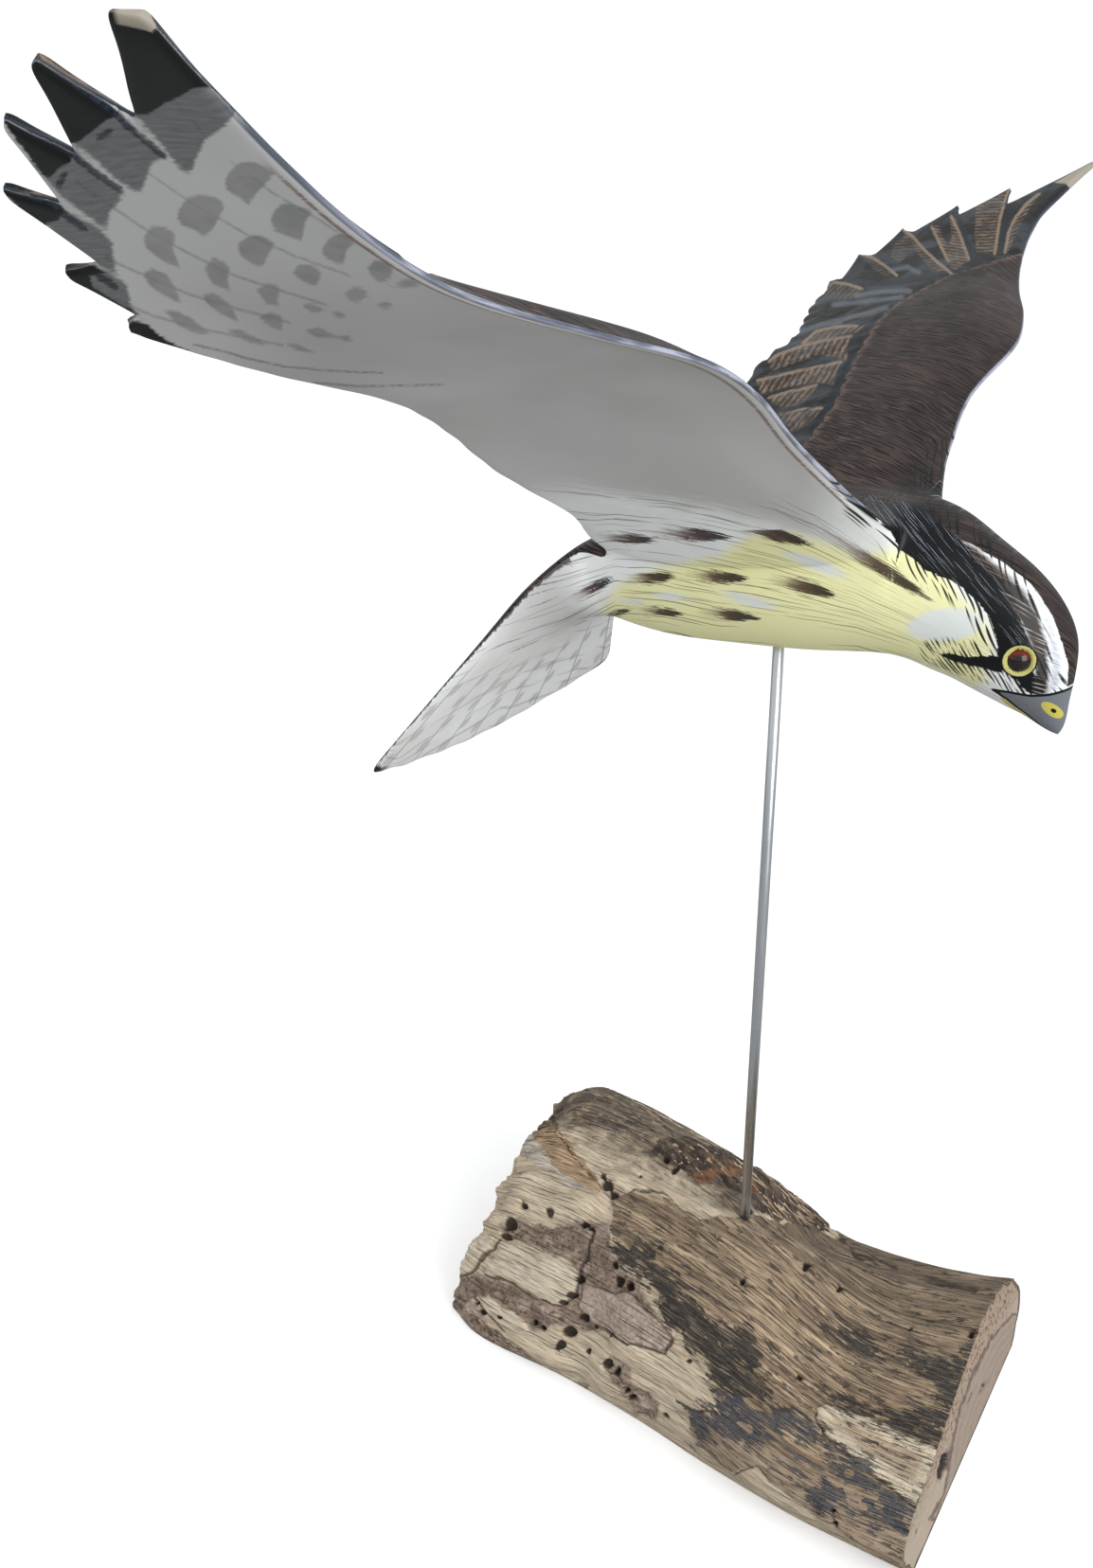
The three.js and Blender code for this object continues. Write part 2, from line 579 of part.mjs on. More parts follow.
// The outline of the log at a ring, with the flat underside last.
function logRing(share) {
  const place = share * (LOG_OUTLINES.length - 1);
  const last = LOG_OUTLINES[0].over.length - 1;
  const corner = (k) => [0, 1].map((axis) => smoothThrough(LOG_OUTLINES.map((o) => o.over[k][axis]), place));
  const corners = LOG_OUTLINES[0].over.map((_, k) => corner(k));
  const x = smoothThrough(LOG_OUTLINES.map((o) => o.x), place);
  const lean = (y, z) => LOG_CUT_LEAN * (1 - z / LOG_CUT_HEIGHT) + (LOG_CUT_TURN * y) / LOG_CUT_HALF_WIDTH;
  const forward = (y, z) => x + lean(y, z) * smoothstep(share, 0.8, 1);
  const ring = [];
  for (let j = 0; j < LOG_OVER_POINTS; j++) {
    const at = (last * j) / (LOG_OVER_POINTS - 1);
    const [y, z] = [0, 1].map((axis) => smoothThrough(corners.map((c) => c[axis]), at));
    const up = j === 0 || j === LOG_OVER_POINTS - 1 ? 0 : Math.max(z, 1);
    ring.push(new THREE.Vector3(forward(y, up), y, up));
  }
  for (let j = 1; j <= LOG_UNDER_POINTS; j++) {
    const y = lerp(ring[LOG_OVER_POINTS - 1].y, ring[0].y, j / (LOG_UNDER_POINTS + 1));
    ring.push(new THREE.Vector3(forward(y, 0), y, 0));
  }
  return ring;
}

// How far the weathered surface stands out or lies back at a place on the log.
function weathering(x, y) {
  const furrows = 0.7 * Math.sin(y * 0.55 + 1.3 * Math.sin(x * 0.045)) + 0.5 * Math.sin(y * 0.23 + x * 0.07);
  return LOG_MARKS.reduce((sum, [mx, my, along, across, height]) => {
    const far = ((x - mx) / along) ** 2 + ((y - my) / across) ** 2;
    return sum + height * Math.exp(-far * far);
  }, furrows);
}

function logSkin() {
  const skin = new Skin();
  const shapes = Array.from({ length: LOG_RINGS }, (_, i) => logRing(i / (LOG_RINGS - 1)));
  const count = shapes[0].length;
  const rings = shapes.map((ring, i) =>
    ring.map((p, j) => {
      const free = j > 0 && j < LOG_OVER_POINTS - 1;
      if (!free) return skin.point(p);
      const [before, after] = [ring[j - 1], ring[j + 1]];
      const out = new THREE.Vector3(0, before.z - after.z, after.y - before.y).normalize();
      const lift = weathering(p.x, p.y) * (i === 0 ? 0.5 : 1);
      const moved = p.clone().addScaledVector(out, lift);
      moved.z = Math.max(moved.z, 0.6);
      return skin.point(moved);
    }),
  );
  for (let i = 0; i + 1 < rings.length; i++) {
    for (let j = 0; j < count; j++) {
      const next = (j + 1) % count;
      skin.face([rings[i][j], rings[i + 1][j], rings[i + 1][next], rings[i][next]]);
    }
  }
  const front = rings[rings.length - 1];
  const flat = front.map((index) => new THREE.Vector2(skin.at(index).y, skin.at(index).z));
  for (const [a, b, c] of THREE.ShapeUtils.triangulateShape(flat, [])) {
    skin.face([front[a], front[b], front[c]]);
  }
  const core = new THREE.Vector3(LOG_OUTLINES[0].x + LOG_BREAK_DEPTH, ...LOG_BREAK_MIDDLE);
  let outer = rings[0];
  for (const [scale, sink] of LOG_BREAK_STEPS) {
    const inner = shapes[0].map((p, j) => {
      const q = p.clone().lerp(core, 1 - scale);
      q.x = LOG_OUTLINES[0].x + LOG_BREAK_DEPTH * sink + LOG_BREAK_RIPPLE * Math.sin(q.y * 0.21 + scale * 4);
      return skin.point(q);
    });
    for (let j = 0; j < count; j++) {
      const next = (j + 1) % count;
      skin.face([outer[j], outer[next], inner[next], inner[j]]);
    }
    outer = inner;
  }
  const middle = skin.point(core);
  for (let j = 0; j < count; j++) skin.face([outer[j], outer[(j + 1) % count], middle]);
  return skin.geometry();
}

// A round bar standing upright between two heights on the axis of the rod.
function uprightBar(radius, from, to) {
  const bar = new THREE.CylinderGeometry(radius, radius, to - from, ROD_SIDES);
  bar.rotateX(Math.PI / 2);
  return bar.translate(0, 0, (from + to) / 2);
}

function eyeBall(side, radius) {
  const ball = new THREE.SphereGeometry(radius, EYE_SIDES, EYE_SIDES / 2);
  return ball.translate(EYE_PLACE.x, side * EYE_PLACE.y, BELLY_HEIGHT + EYE_PLACE.z);
}

const rodFoot = LOG_HEIGHT - ROD_IN_LOG;
const rodTop = BELLY_HEIGHT + ROD_IN_BIRD;
const rod = uprightBar(ROD_DIAMETER / 2, rodFoot, rodTop);
const bore = toSolid(uprightBar(ROD_DIAMETER / 2 + FIT_GAP, rodFoot - FIT_GAP, rodTop + FIT_GAP));
const sockets = [-1, 1].map((side) => toSolid(eyeBall(side, EYE_RADIUS + FIT_GAP)));
const bird = toSolid(birdSkin()).subtract(bore).subtract(sockets[0]).subtract(sockets[1]);
const log = toSolid(logSkin()).subtract(bore);

const paintedWood = new THREE.MeshStandardMaterial({ color: 0x8f8470, roughness: 0.5, metalness: 0 });
const darkGlass = new THREE.MeshStandardMaterial({ color: 0x1a0d0b, roughness: 0.08, metalness: 0 });
const steel = new THREE.MeshStandardMaterial({ color: 0x9aa3ab, roughness: 0.32, metalness: 1 });
const weatheredWood = new THREE.MeshStandardMaterial({ color: 0x8a6c4c, roughness: 0.85, metalness: 0 });

function piece(name, geometry, material) {
  const mesh = new THREE.Mesh(geometry, material);
  mesh.name = name;
  return mesh;
}

const group = new THREE.Group();
group.name = "kestrel_sculpture";
group.add(
  piece("log_base", toGeometry(log), weatheredWood),
  piece("rod", rod, steel),
  piece("bird", toGeometry(bird), paintedWood),
  piece("right_eye", eyeBall(-1, EYE_RADIUS), darkGlass),
  piece("left_eye", eyeBall(1, EYE_RADIUS), darkGlass.clone()),
);
export default group;
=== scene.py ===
# %% [markdown]
# A painted kestrel, carved from wood, hovers on a steel rod that stands in a length of driftwood.
# The carver cut one bird from one block, so its body, wings and fanned tail have no seams, and all
# that tells feather from feather is a little carving and a lot of paint. The lesson goes the same
# way: first the camera, then the bird as a cage of quads that a Subdivision Surface rounds, with
# relief pushed into the mesh. The log, the rod and the eyes follow, and then the paint, mixed in
# the shader from fields that the meshes carry. Floor and light come last. Lengths in this script
# are millimetres until a mesh is made.

# %% Load the packed model and measure it
import bmesh
import bpy
import math
import numpy as np
from mathutils import Matrix, Vector


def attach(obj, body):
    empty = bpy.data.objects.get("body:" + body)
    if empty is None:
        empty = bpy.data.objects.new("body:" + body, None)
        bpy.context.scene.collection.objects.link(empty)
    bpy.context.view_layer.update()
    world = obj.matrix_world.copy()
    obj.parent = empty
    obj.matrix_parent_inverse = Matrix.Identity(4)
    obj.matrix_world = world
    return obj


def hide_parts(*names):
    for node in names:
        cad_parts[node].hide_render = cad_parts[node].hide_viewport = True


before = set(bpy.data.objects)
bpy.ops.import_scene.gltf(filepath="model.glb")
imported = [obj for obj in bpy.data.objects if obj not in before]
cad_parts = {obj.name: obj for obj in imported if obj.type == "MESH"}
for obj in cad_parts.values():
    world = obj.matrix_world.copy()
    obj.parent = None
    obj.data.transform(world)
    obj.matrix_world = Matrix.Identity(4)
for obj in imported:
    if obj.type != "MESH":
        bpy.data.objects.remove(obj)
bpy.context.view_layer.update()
MM = 0.001
print("nodes:", sorted(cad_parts))

# %% [markdown]
# The photograph was taken from a little above the log, with the bird's right wing towards the
# lens. A camera that is placed by its height, its place and where it looks can be read by anyone;
# one that is turned by bare angles can't. The picture's width and height set the lens: a point
# straight ahead of the camera falls in the middle of the picture.

# %% Camera
CAMERA_PLACE = Vector((0.177938, -0.451254, 0.425))
LOOK_ALONG = Vector((-0.48338, 0.801941, -0.351046))
PICTURE_HEIGHT = 1656
FOCAL_PIXELS = 1500
SENSOR = 36.0


def put(name, data):
    """A new object in the scene, from its mesh, its camera or its light."""
    thing = bpy.data.objects.new(name, data)
    bpy.context.scene.collection.objects.link(thing)
    return thing


camera_data = bpy.data.cameras.new("camera")
camera_data.sensor_width = SENSOR
camera_data.lens = FOCAL_PIXELS / PICTURE_HEIGHT * SENSOR
camera_data.clip_start, camera_data.clip_end = 0.01, 20
camera = put("camera", camera_data)
camera.location = CAMERA_PLACE
camera.rotation_mode = "QUATERNION"
camera.rotation_quaternion = LOOK_ALONG.to_track_quat("-Z", "Y")
bpy.context.scene.camera = camera
print("lens in mm:", round(camera_data.lens, 2))

# %% [markdown]
# Every curve of the bird goes smoothly through a few measured places. Blender has curve objects
# for that, but here the numbers between the places are wanted, not a curve to look at, so the
# formula is written out once: it takes a list of places and gives the value anywhere between them.

# %% Smooth values between measured places
def lerp(a, b, t):
    return a + (b - a) * t


def smoothstep(x, low, high):
    t = np.clip((x - low) / (high - low), 0.0, 1.0)
    return t * t * (3 - 2 * t)


def through(places, t):
    """The value at t along a list of places, on a smooth curve through all of them."""
    last = len(places) - 1
    i = int(min(math.floor(t), last - 1))
    f = t - i
    b, c = places[i], places[i + 1]
    a = places[i - 1] if i > 0 else 2 * b - c
    d = places[i + 2] if i + 2 <= last else 2 * c - b
    return b + 0.5 * f * (c - a + f * (2 * a - 5 * b + 4 * c - d + f * (3 * (b - c) + d - a)))


def along_edge(places, share):
    """A point on an edge that bends most where its places lie close together."""
    last = len(places) - 1
    i = int(min(math.floor(share * last), last - 1))
    f = share * last - i
    p1, p2 = places[i], places[i + 1]
    p0 = places[i - 1] if i > 0 else 2 * p1 - p2
    p3 = places[i + 2] if i + 2 <= last else 2 * p2 - p1
    g0, g1, g2 = [math.sqrt(np.linalg.norm(q - p)) for p, q in ((p0, p1), (p1, p2), (p2, p3))]
    start = ((p1 - p0) / g0 - (p2 - p0) / (g0 + g1) + (p2 - p1) / g1) * g1
    end = ((p2 - p1) / g1 - (p3 - p1) / (g1 + g2) + (p3 - p2) / g2) * g1
    return (
        p1 + f * (start + f * (3 * (p2 - p1) - 2 * start - end + f * (2 * (p1 - p2) + start + end)))
    )


print("half way from 1 to 2, with 0 before and 9 behind:", through([0, 1, 2, 9], 1.5))


# %% [markdown]
# The body is a row of rings, like the frames of a boat. Each station says where the middle of its
# ring is, how far the body's line is tilted there, and how wide, high and deep the ring is. The
# head hangs down, as a hunting bird's does, so the tilt grows towards the beak.

# %% Body stations, from the tip of the beak to the root of the tail
BELLY_HEIGHT = 296.0
STATIONS = np.array([
    # forward, up, tilt, half width, above, below
    [96.0, -15.2, -74, 0.5, 0.8, 0.8],
    [93.3, -10.6, -71, 3.6, 4.8, 4.6],
    [90.9, -6.2, -66, 6.4, 7.8, 7.9],
    [88.7, -1.2, -58, 10.6, 11.8, 12.0],
    [85.6, 5.8, -49, 15.0, 16.6, 16.8],
    [80.0, 12.8, -39, 17.8, 19.2, 20.4],
    [72.0, 18.4, -30, 19.0, 21.6, 22.0],
    [62.5, 23.6, -20, 20.4, 23.2, 24.0],
    [51.5, 27.6, -11, 22.8, 27.4, 24.5],
    [38.0, 29.6, -3, 25.5, 28.0, 25.4],
    [12.0, 29.0, 0, 27.0, 28.5, 27.2],
    [-14.0, 27.4, 0, 25.6, 26.0, 26.8],
    [-38.0, 24.4, 6, 22.5, 20.0, 24.4],
    [-54.0, 28.0, 8, 20.5, 10.0, 27.0],
    [-67.0, 31.0, 13, 20.5, 3.5, 28.5],
])
RING_POINTS = 32
HEAD_RINGS_PER_STATION = 2.1
WING_COLUMNS = 24
FIRST_WING_STATION, LAST_WING_STATION = 8.6, 13.2
station_gaps = np.linalg.norm(np.diff(STATIONS[:, :2], axis=0), axis=1)
STATION_ALONG = np.concatenate([[0.0], np.cumsum(station_gaps)])


def body_ring(t):
    """One ring of the body at station t: its points."""
    forward, up, tilt, half, above, below = through(STATIONS, t)
    lean = math.radians(tilt)
    angle = 2 * math.pi * np.arange(RING_POINTS) / RING_POINTS
    rise = np.sin(angle) * np.where(angle < math.pi, above, below)
    ring = np.stack([
        forward - math.sin(lean) * rise,
        -half * np.cos(angle),
        BELLY_HEIGHT + up + math.cos(lean) * rise,
    ], axis=1)
    return ring


print("body length along its line:", round(STATION_ALONG[-1]), "mm")

# %% [markdown]
# The tail is a fan. Eight feathers spread from a pivot that lies inside the rump, and each ends in
# a small curve of its own. Near the root the fan has to become the round rump again, so the two
# shapes are mixed over the first quarter of its length.

# %% Tail rings
TAIL_SLOPE = math.radians(58.5)
TAIL_PIVOT = np.array([-58.6, 0.0, BELLY_HEIGHT + 56.8])
TAIL_ROOT_ALONG, TAIL_ROOT_HALF = 25.0, 20.5
TAIL_RADIUS, TAIL_CORNER_EXTRA = 131.0, 13.0
TAIL_HALF_ANGLE = math.radians(39.4)
TAIL_RINGS = 12
TAIL_FEATHERS = 8
TAIL_SCALLOP, TAIL_DROOP, TAIL_COVERT_DEPTH = 3.0, 4.0, 21.0
TAIL_ROOT_THICKNESS, TAIL_END_THICKNESS = 5.2, 3.2
TAIL_FANNED_BY, TAIL_FREE_BY = 0.3, 0.26
TAIL_BACK = np.array([-math.cos(TAIL_SLOPE), 0, -math.sin(TAIL_SLOPE)])
TAIL_UP = np.array([-math.sin(TAIL_SLOPE), 0, math.cos(TAIL_SLOPE)])


def tail_ring(share, root):
    """One ring of the tail, from 0 at its root to 1 at the ends of the feathers."""
    j = np.arange(RING_POINTS)
    angle = 2 * math.pi * j / RING_POINTS
    on_top = j <= RING_POINTS / 2
    even = np.where(on_top, 1 - 4 * j / RING_POINTS, 4 * j / RING_POINTS - 3)
    fanned = smoothstep(share, 0, TAIL_FANNED_BY)
    across = lerp(np.cos(angle), even, fanned)
    turn = TAIL_HALF_ANGLE * across
    scallop = TAIL_SCALLOP * np.abs(np.sin((across + 1) * 0.5 * TAIL_FEATHERS * math.pi)) ** 0.7
    reach = TAIL_RADIUS + TAIL_CORNER_EXTRA * across**2 - TAIL_SCALLOP + scallop
    edge = np.abs(np.sin(angle)) ** lerp(1, 0.25, fanned)
    thin = lerp(TAIL_ROOT_THICKNESS, TAIL_END_THICKNESS, share) / 2 * edge
    coverts = TAIL_COVERT_DEPTH * (1 - share) ** 3 * np.maximum(0, 1 - across**2) ** 0.8
    level = np.where(np.abs(across) > 0.999, 0, np.where(on_top, thin, -thin - coverts))
    back = np.where(on_top, 0, coverts) + lerp(TAIL_ROOT_ALONG, reach * np.cos(turn), share)
    fan = TAIL_PIVOT + back[:, None] * TAIL_BACK
    fan = fan + (level - TAIL_DROOP * across**2 * share)[:, None] * TAIL_UP
    fan[:, 1] -= lerp(TAIL_ROOT_HALF * across, reach * np.sin(turn), share)
    mixed = lerp(root, fan, smoothstep(share, -0.05, TAIL_FREE_BY))
    return mixed, across


print("tail:", TAIL_FEATHERS, "feathers,", TAIL_RADIUS, "mm from the pivot")


# %% [markdown]
# A wing is drawn by its two edges, as [forward, out, up from the belly]. Between them lies a
# middle surface, and the wood's thickness goes on both sides of it: thick near the front of the
# root, thin behind and at the tip. The hand of the wing, where the long feathers part, has one
# root and one tip for each of its six feathers. The two wings are carved alike, but the first
# feather of the right wing is worn short and blunt, and that of the left wing is whole.

# %% Wing edges
LEADING_EDGE = np.array([
    [46, 21, 47], [39, 47, 61], [34.5, 83, 80], [37.5, 119, 96], [40, 152, 106],
    [28, 184, 113], [14.5, 211, 121.5], [10, 236, 132.5], [11, 261, 144.4],
])
TRAILING_EDGE = np.array([
    [-64, 20, 37], [-60, 45, 48.5], [-58.5, 86, 67.5], [-59, 121, 84], [-56.5, 150, 94],
    [-58, 172, 100.5], [-66.5, 198, 107], [-70, 212, 111.5],
])
LEADING_EDGE_SHIFT = {
    -1: [0, 0, 0, 0, -1.6, 1.2, -1.8, -1.3, 0], 1: [0, -0.3, 0, 3, -6, -4.3, 2, 2.1, 0],
}
TRAILING_EDGE_SHIFT = {
    -1: [0, 3.5, -0.4, 5.2, 6.3, -6.3, 1.5, 0], 1: [0, 0, 0, -2.4, -0.8, -4.1, -1.8, 0],
}
FINGER_ROOTS = np.array([
    [11, 261, 144.4], [-7.5, 270, 147.6], [-27.5, 264.6, 142.8], [-44.6, 254, 135.6],
    [-56.5, 235.5, 125.8], [-65.5, 218, 115.6], [-70, 212, 111.5],
])
FINGER_TIPS = {
    -1: np.array([
        [15.2, 293, 159.8], [-11.6, 286.8, 155.9], [-31.6, 277, 149.1],
        [-54.3, 259.9, 139.5], [-68.7, 234.8, 124.9], [-72.2, 215.6, 113.4],
    ]),
    1: np.array([
        [21, 320, 169.5], [-10.8, 286.9, 155.9], [-31.4, 274.9, 148.1],
        [-51.1, 256.1, 137.8], [-65.2, 237.6, 126.1], [-71.2, 217.1, 114.1],
    ]),
}
FINGERS = 6
COLUMNS_PER_FINGER = WING_COLUMNS // FINGERS
BLUNT_TIP_WIDTH, FINGER_TIP_WIDTH = 5.2, 1.6
FINGER_SHARES = [0.25, 0.5, 0.75, 1.0]
WING_ROWS = 30
ROW_CROWDING = 1.25
FIRST_ROW = (1 / WING_ROWS) ** ROW_CROWDING
WING_DIHEDRAL = math.radians(24)
ROOT_THICKNESS, TIP_THICKNESS, EDGE_THICKNESS, FINGER_END_THICKNESS = 13.0, 3.2, 2.4, 2.0
CAMBER = 3.0


def finger_line(across):
    return through(FINGER_ROOTS, across * FINGERS)


def shifted(edge, shifts):
    return edge + np.outer(shifts, [1, 0, 0])


def wing_middle(side, along, across):
    """The middle surface: along from the body to the fingers, across from front to rear."""
    front = along_edge(shifted(LEADING_EDGE, LEADING_EDGE_SHIFT[side]), along)
    rear = along_edge(shifted(TRAILING_EDGE, TRAILING_EDGE_SHIFT[side]), along)
    root = lerp(LEADING_EDGE[0], TRAILING_EDGE[0], across)
    straight_end = lerp(FINGER_ROOTS[0], FINGER_ROOTS[-1], across)
    p = lerp(front, rear, across) + (finger_line(across) - straight_end) * along
    p[2] += CAMBER * math.sin(math.pi * min(1, across)) * (1 - 0.55 * along)
    return p


def wing_thickness(along, across):
    main = lerp(ROOT_THICKNESS, TIP_THICKNESS, min(1, along * 1.05) ** 0.55)
    front = smoothstep(across, 0, 0.22)
    rear = 1 - 0.75 * smoothstep(across, 0.25, 1)
    return max(EDGE_THICKNESS, main * lerp(0.4, 1, front) * rear)


print("wing rows and columns:", WING_ROWS, WING_COLUMNS)

# %% [markdown]
# The cage keeps its points and quads, and beside each point a note of where on the bird it lies.
# The notes are what the paint follows later: how far along the body and how far round, how far out
# on a wing and on which feather, and whether the point is on the upper side.

# %% The cage
NOTES = ("body_along", "body_round", "wing_out", "wing_lane", "upper", "tail_out", "tail_lane")


class Cage:
    def __init__(self):
        self.points, self.faces, self.notes = [], [], []

    def point(self, place, **note):
        self.points.append(np.array(place, float))
        self.notes.append([note.get(name, 0.0) for name in NOTES])
        return len(self.points) - 1

    def face(self, corners, flip=False):
        self.faces.append(list(reversed(corners)) if flip else list(corners))

    def middle(self, a, b):
        note = (np.array(self.notes[a]) + np.array(self.notes[b])) / 2
        self.points.append((self.points[a] + self.points[b]) / 2)
        self.notes.append(list(note))
        return len(self.points) - 1


print("notes on each point:", ", ".join(NOTES))


# %% [markdown]
# Where a wing meets the body, the carver left the wood running smoothly from flank to wing. In the
# cage the body's rings open there like a mouth, and the wing's rows start from the lips. One more
# row, close to the body, keeps the swelling of the shoulder.

# %% Wing cage
ROOT_FILLET_DROP, ROOT_FILLET_REACH = 15.0, 34.0
SHOULDER_POINT, SHOULDER_SWELL, FLANK_OUT, ROOT_TOP = 2, 1.6, 22.0, 6
SECONDARY_SCALLOP = {1: 4.0, -1: 1.6}


def edge_point(cage, top, bottom, inner):
    """The middle point of a rounded edge, pushed outwards from the face beside it."""
    a, b, c = cage.points[top], cage.points[bottom], cage.points[inner]
    out = (a - c) / np.linalg.norm(a - c) * np.linalg.norm(a - b) * 0.4
    k = cage.middle(top, bottom)
    cage.points[k] = cage.points[k] + out
    return k


def stitch_edge(cage, a, b, flip):
    """Joins two rows of points that may differ in number."""
    i = j = 0
    if len(a) == len(b):
        for k in range(len(a) - 1):
            cage.face([a[k], a[k + 1], b[k + 1], b[k]], flip)
        return
    while i + 1 < len(a) or j + 1 < len(b):
        behind = (i + 1) / (len(a) - 1) <= (j + 1) / (len(b) - 1)
        step_a = j + 1 >= len(b) or (i + 1 < len(a) and behind)
        cage.face([a[i], a[i + 1], b[j]] if step_a else [a[i], b[j + 1], b[j]], flip)
        i, j = (i + 1, j) if step_a else (i, j + 1)


def stitch_rows(cage, a, b, columns, flip):
    for m in range(columns):
        cage.face([a["top"][m], b["top"][m], b["top"][m + 1], a["top"][m + 1]], flip)
        cage.face([a["low"][m], a["low"][m + 1], b["low"][m + 1], b["low"][m]], flip)
    stitch_edge(
        cage, [a["top"][0], *a["front"], a["low"][0]], [b["top"][0], *b["front"], b["low"][0]], flip
    )
    rear = [[r["top"][columns], *r["rear"], r["low"][columns]] for r in (a, b)]
    stitch_edge(cage, rear[0], rear[1], not flip)


print("each row of a wing has", WING_COLUMNS, "quads above and as many below")

# %% [markdown]
# One wing has its root on the lips of the body, then the row of the shoulder, then rows that crowd
# together towards the hand. The last row is where the feathers part.

# %% The wing from the body to the hand
def add_wing(cage, rings, first_ring, side):
    """Stitches one wing to the rings of the body. side is -1 for the right wing, 1 for the left."""
    up = np.array([0, -math.sin(WING_DIHEDRAL) * side, math.cos(WING_DIHEDRAL)])
    flip = side < 0
    half = RING_POINTS // 2

    def on_ring(j):
        return j if side < 0 else half - j

    def place(p):
        return np.array([p[0], side * p[1], BELLY_HEIGHT + p[2]])

    def note(p, m, upper, out=None):
        return {
            "body_along": STATION_ALONG[9] + STATIONS[9, 0] - p[0],
            "body_round": (96.0 - p[1] if upper > 0.5 else 36.0 + p[1] - FLANK_OUT),
            "wing_out": p[1] if out is None else out,
            "wing_lane": m / COLUMNS_PER_FINGER,
            "upper": upper,
        }

    between = [on_ring(ROOT_TOP - 1 - i) for i in range(ROOT_TOP - 1)]
    ring = [rings[first_ring + m] for m in range(WING_COLUMNS + 1)]
    root = {
        "top": [r[on_ring(ROOT_TOP)] for r in ring],
        "low": [r[on_ring(0)] for r in ring],
        "front": [ring[0][j] for j in between],
        "rear": [ring[-1][j] for j in between],
    }
    for m in range(WING_COLUMNS + 1):
        for k in (root["top"][m], root["low"][m]):
            cage.notes[k][NOTES.index("wing_lane")] = m / COLUMNS_PER_FINGER
    shoulder = {"top": [], "low": []}
    for m in range(WING_COLUMNS + 1):
        top = cage.points[root["top"][m]]
        near = lerp(top, place(wing_middle(side, FIRST_ROW / 2, m / WING_COLUMNS)), 0.5)
        near[2] = max(near[2], top[2])
        flank = (
            cage.points[ring[m][on_ring(SHOULDER_POINT)]] + np.array([0, side * SHOULDER_SWELL, 0])
        )
        shoulder["top"].append(cage.point(near, **note([near[0], abs(near[1])], m, 1.0)))
        shoulder["low"].append(cage.point(flank, **note([flank[0], abs(flank[1])], m, 0.0)))
    for end, m in (("front", 0), ("rear", WING_COLUMNS)):
        shoulder[end] = [cage.middle(shoulder["top"][m], shoulder["low"][m])]
    rows = [root, shoulder]
    for k in range(1, WING_ROWS + 1):
        along = (k / WING_ROWS) ** ROW_CROWDING
        row = {"top": [], "low": []}
        for m in range(WING_COLUMNS + 1):
            across = m / WING_COLUMNS
            p = wing_middle(side, along, across)
            feathered = smoothstep(across, 0.8, 1) * (1 - smoothstep(along, 0.8, 1))
            p[0] -= SECONDARY_SCALLOP[side] * feathered * (k % 2)
            t = wing_thickness(along, across) / 2
            low = place(p) - up * t
            near = 1 - min(1, (p[1] - FLANK_OUT) / ROOT_FILLET_REACH)
            low[2] -= ROOT_FILLET_DROP * near**2.4 * math.sin(math.pi * across) ** 0.7
            row["top"].append(cage.point(place(p) + up * t, **note(p, m, 1.0)))
            row["low"].append(cage.point(low, **note(p, m, 0.0)))
        row["front"] = [edge_point(cage, row["top"][0], row["low"][0], row["top"][1])]
        row["rear"] = [edge_point(cage, row["top"][-1], row["low"][-1], row["top"][-2])]
        rows.append(row)
    for a, b in zip(rows, rows[1:]):
        stitch_rows(cage, a, b, WING_COLUMNS, flip)
    add_fingers(cage, rows[-1], side, place, up, flip, note)


print("rows of a wing:", WING_ROWS + 2)

# %% [markdown]
# Each of the six long feathers starts from its share of that last row and runs to its own tip. Two
# neighbours share one point between them, the notch where they part.

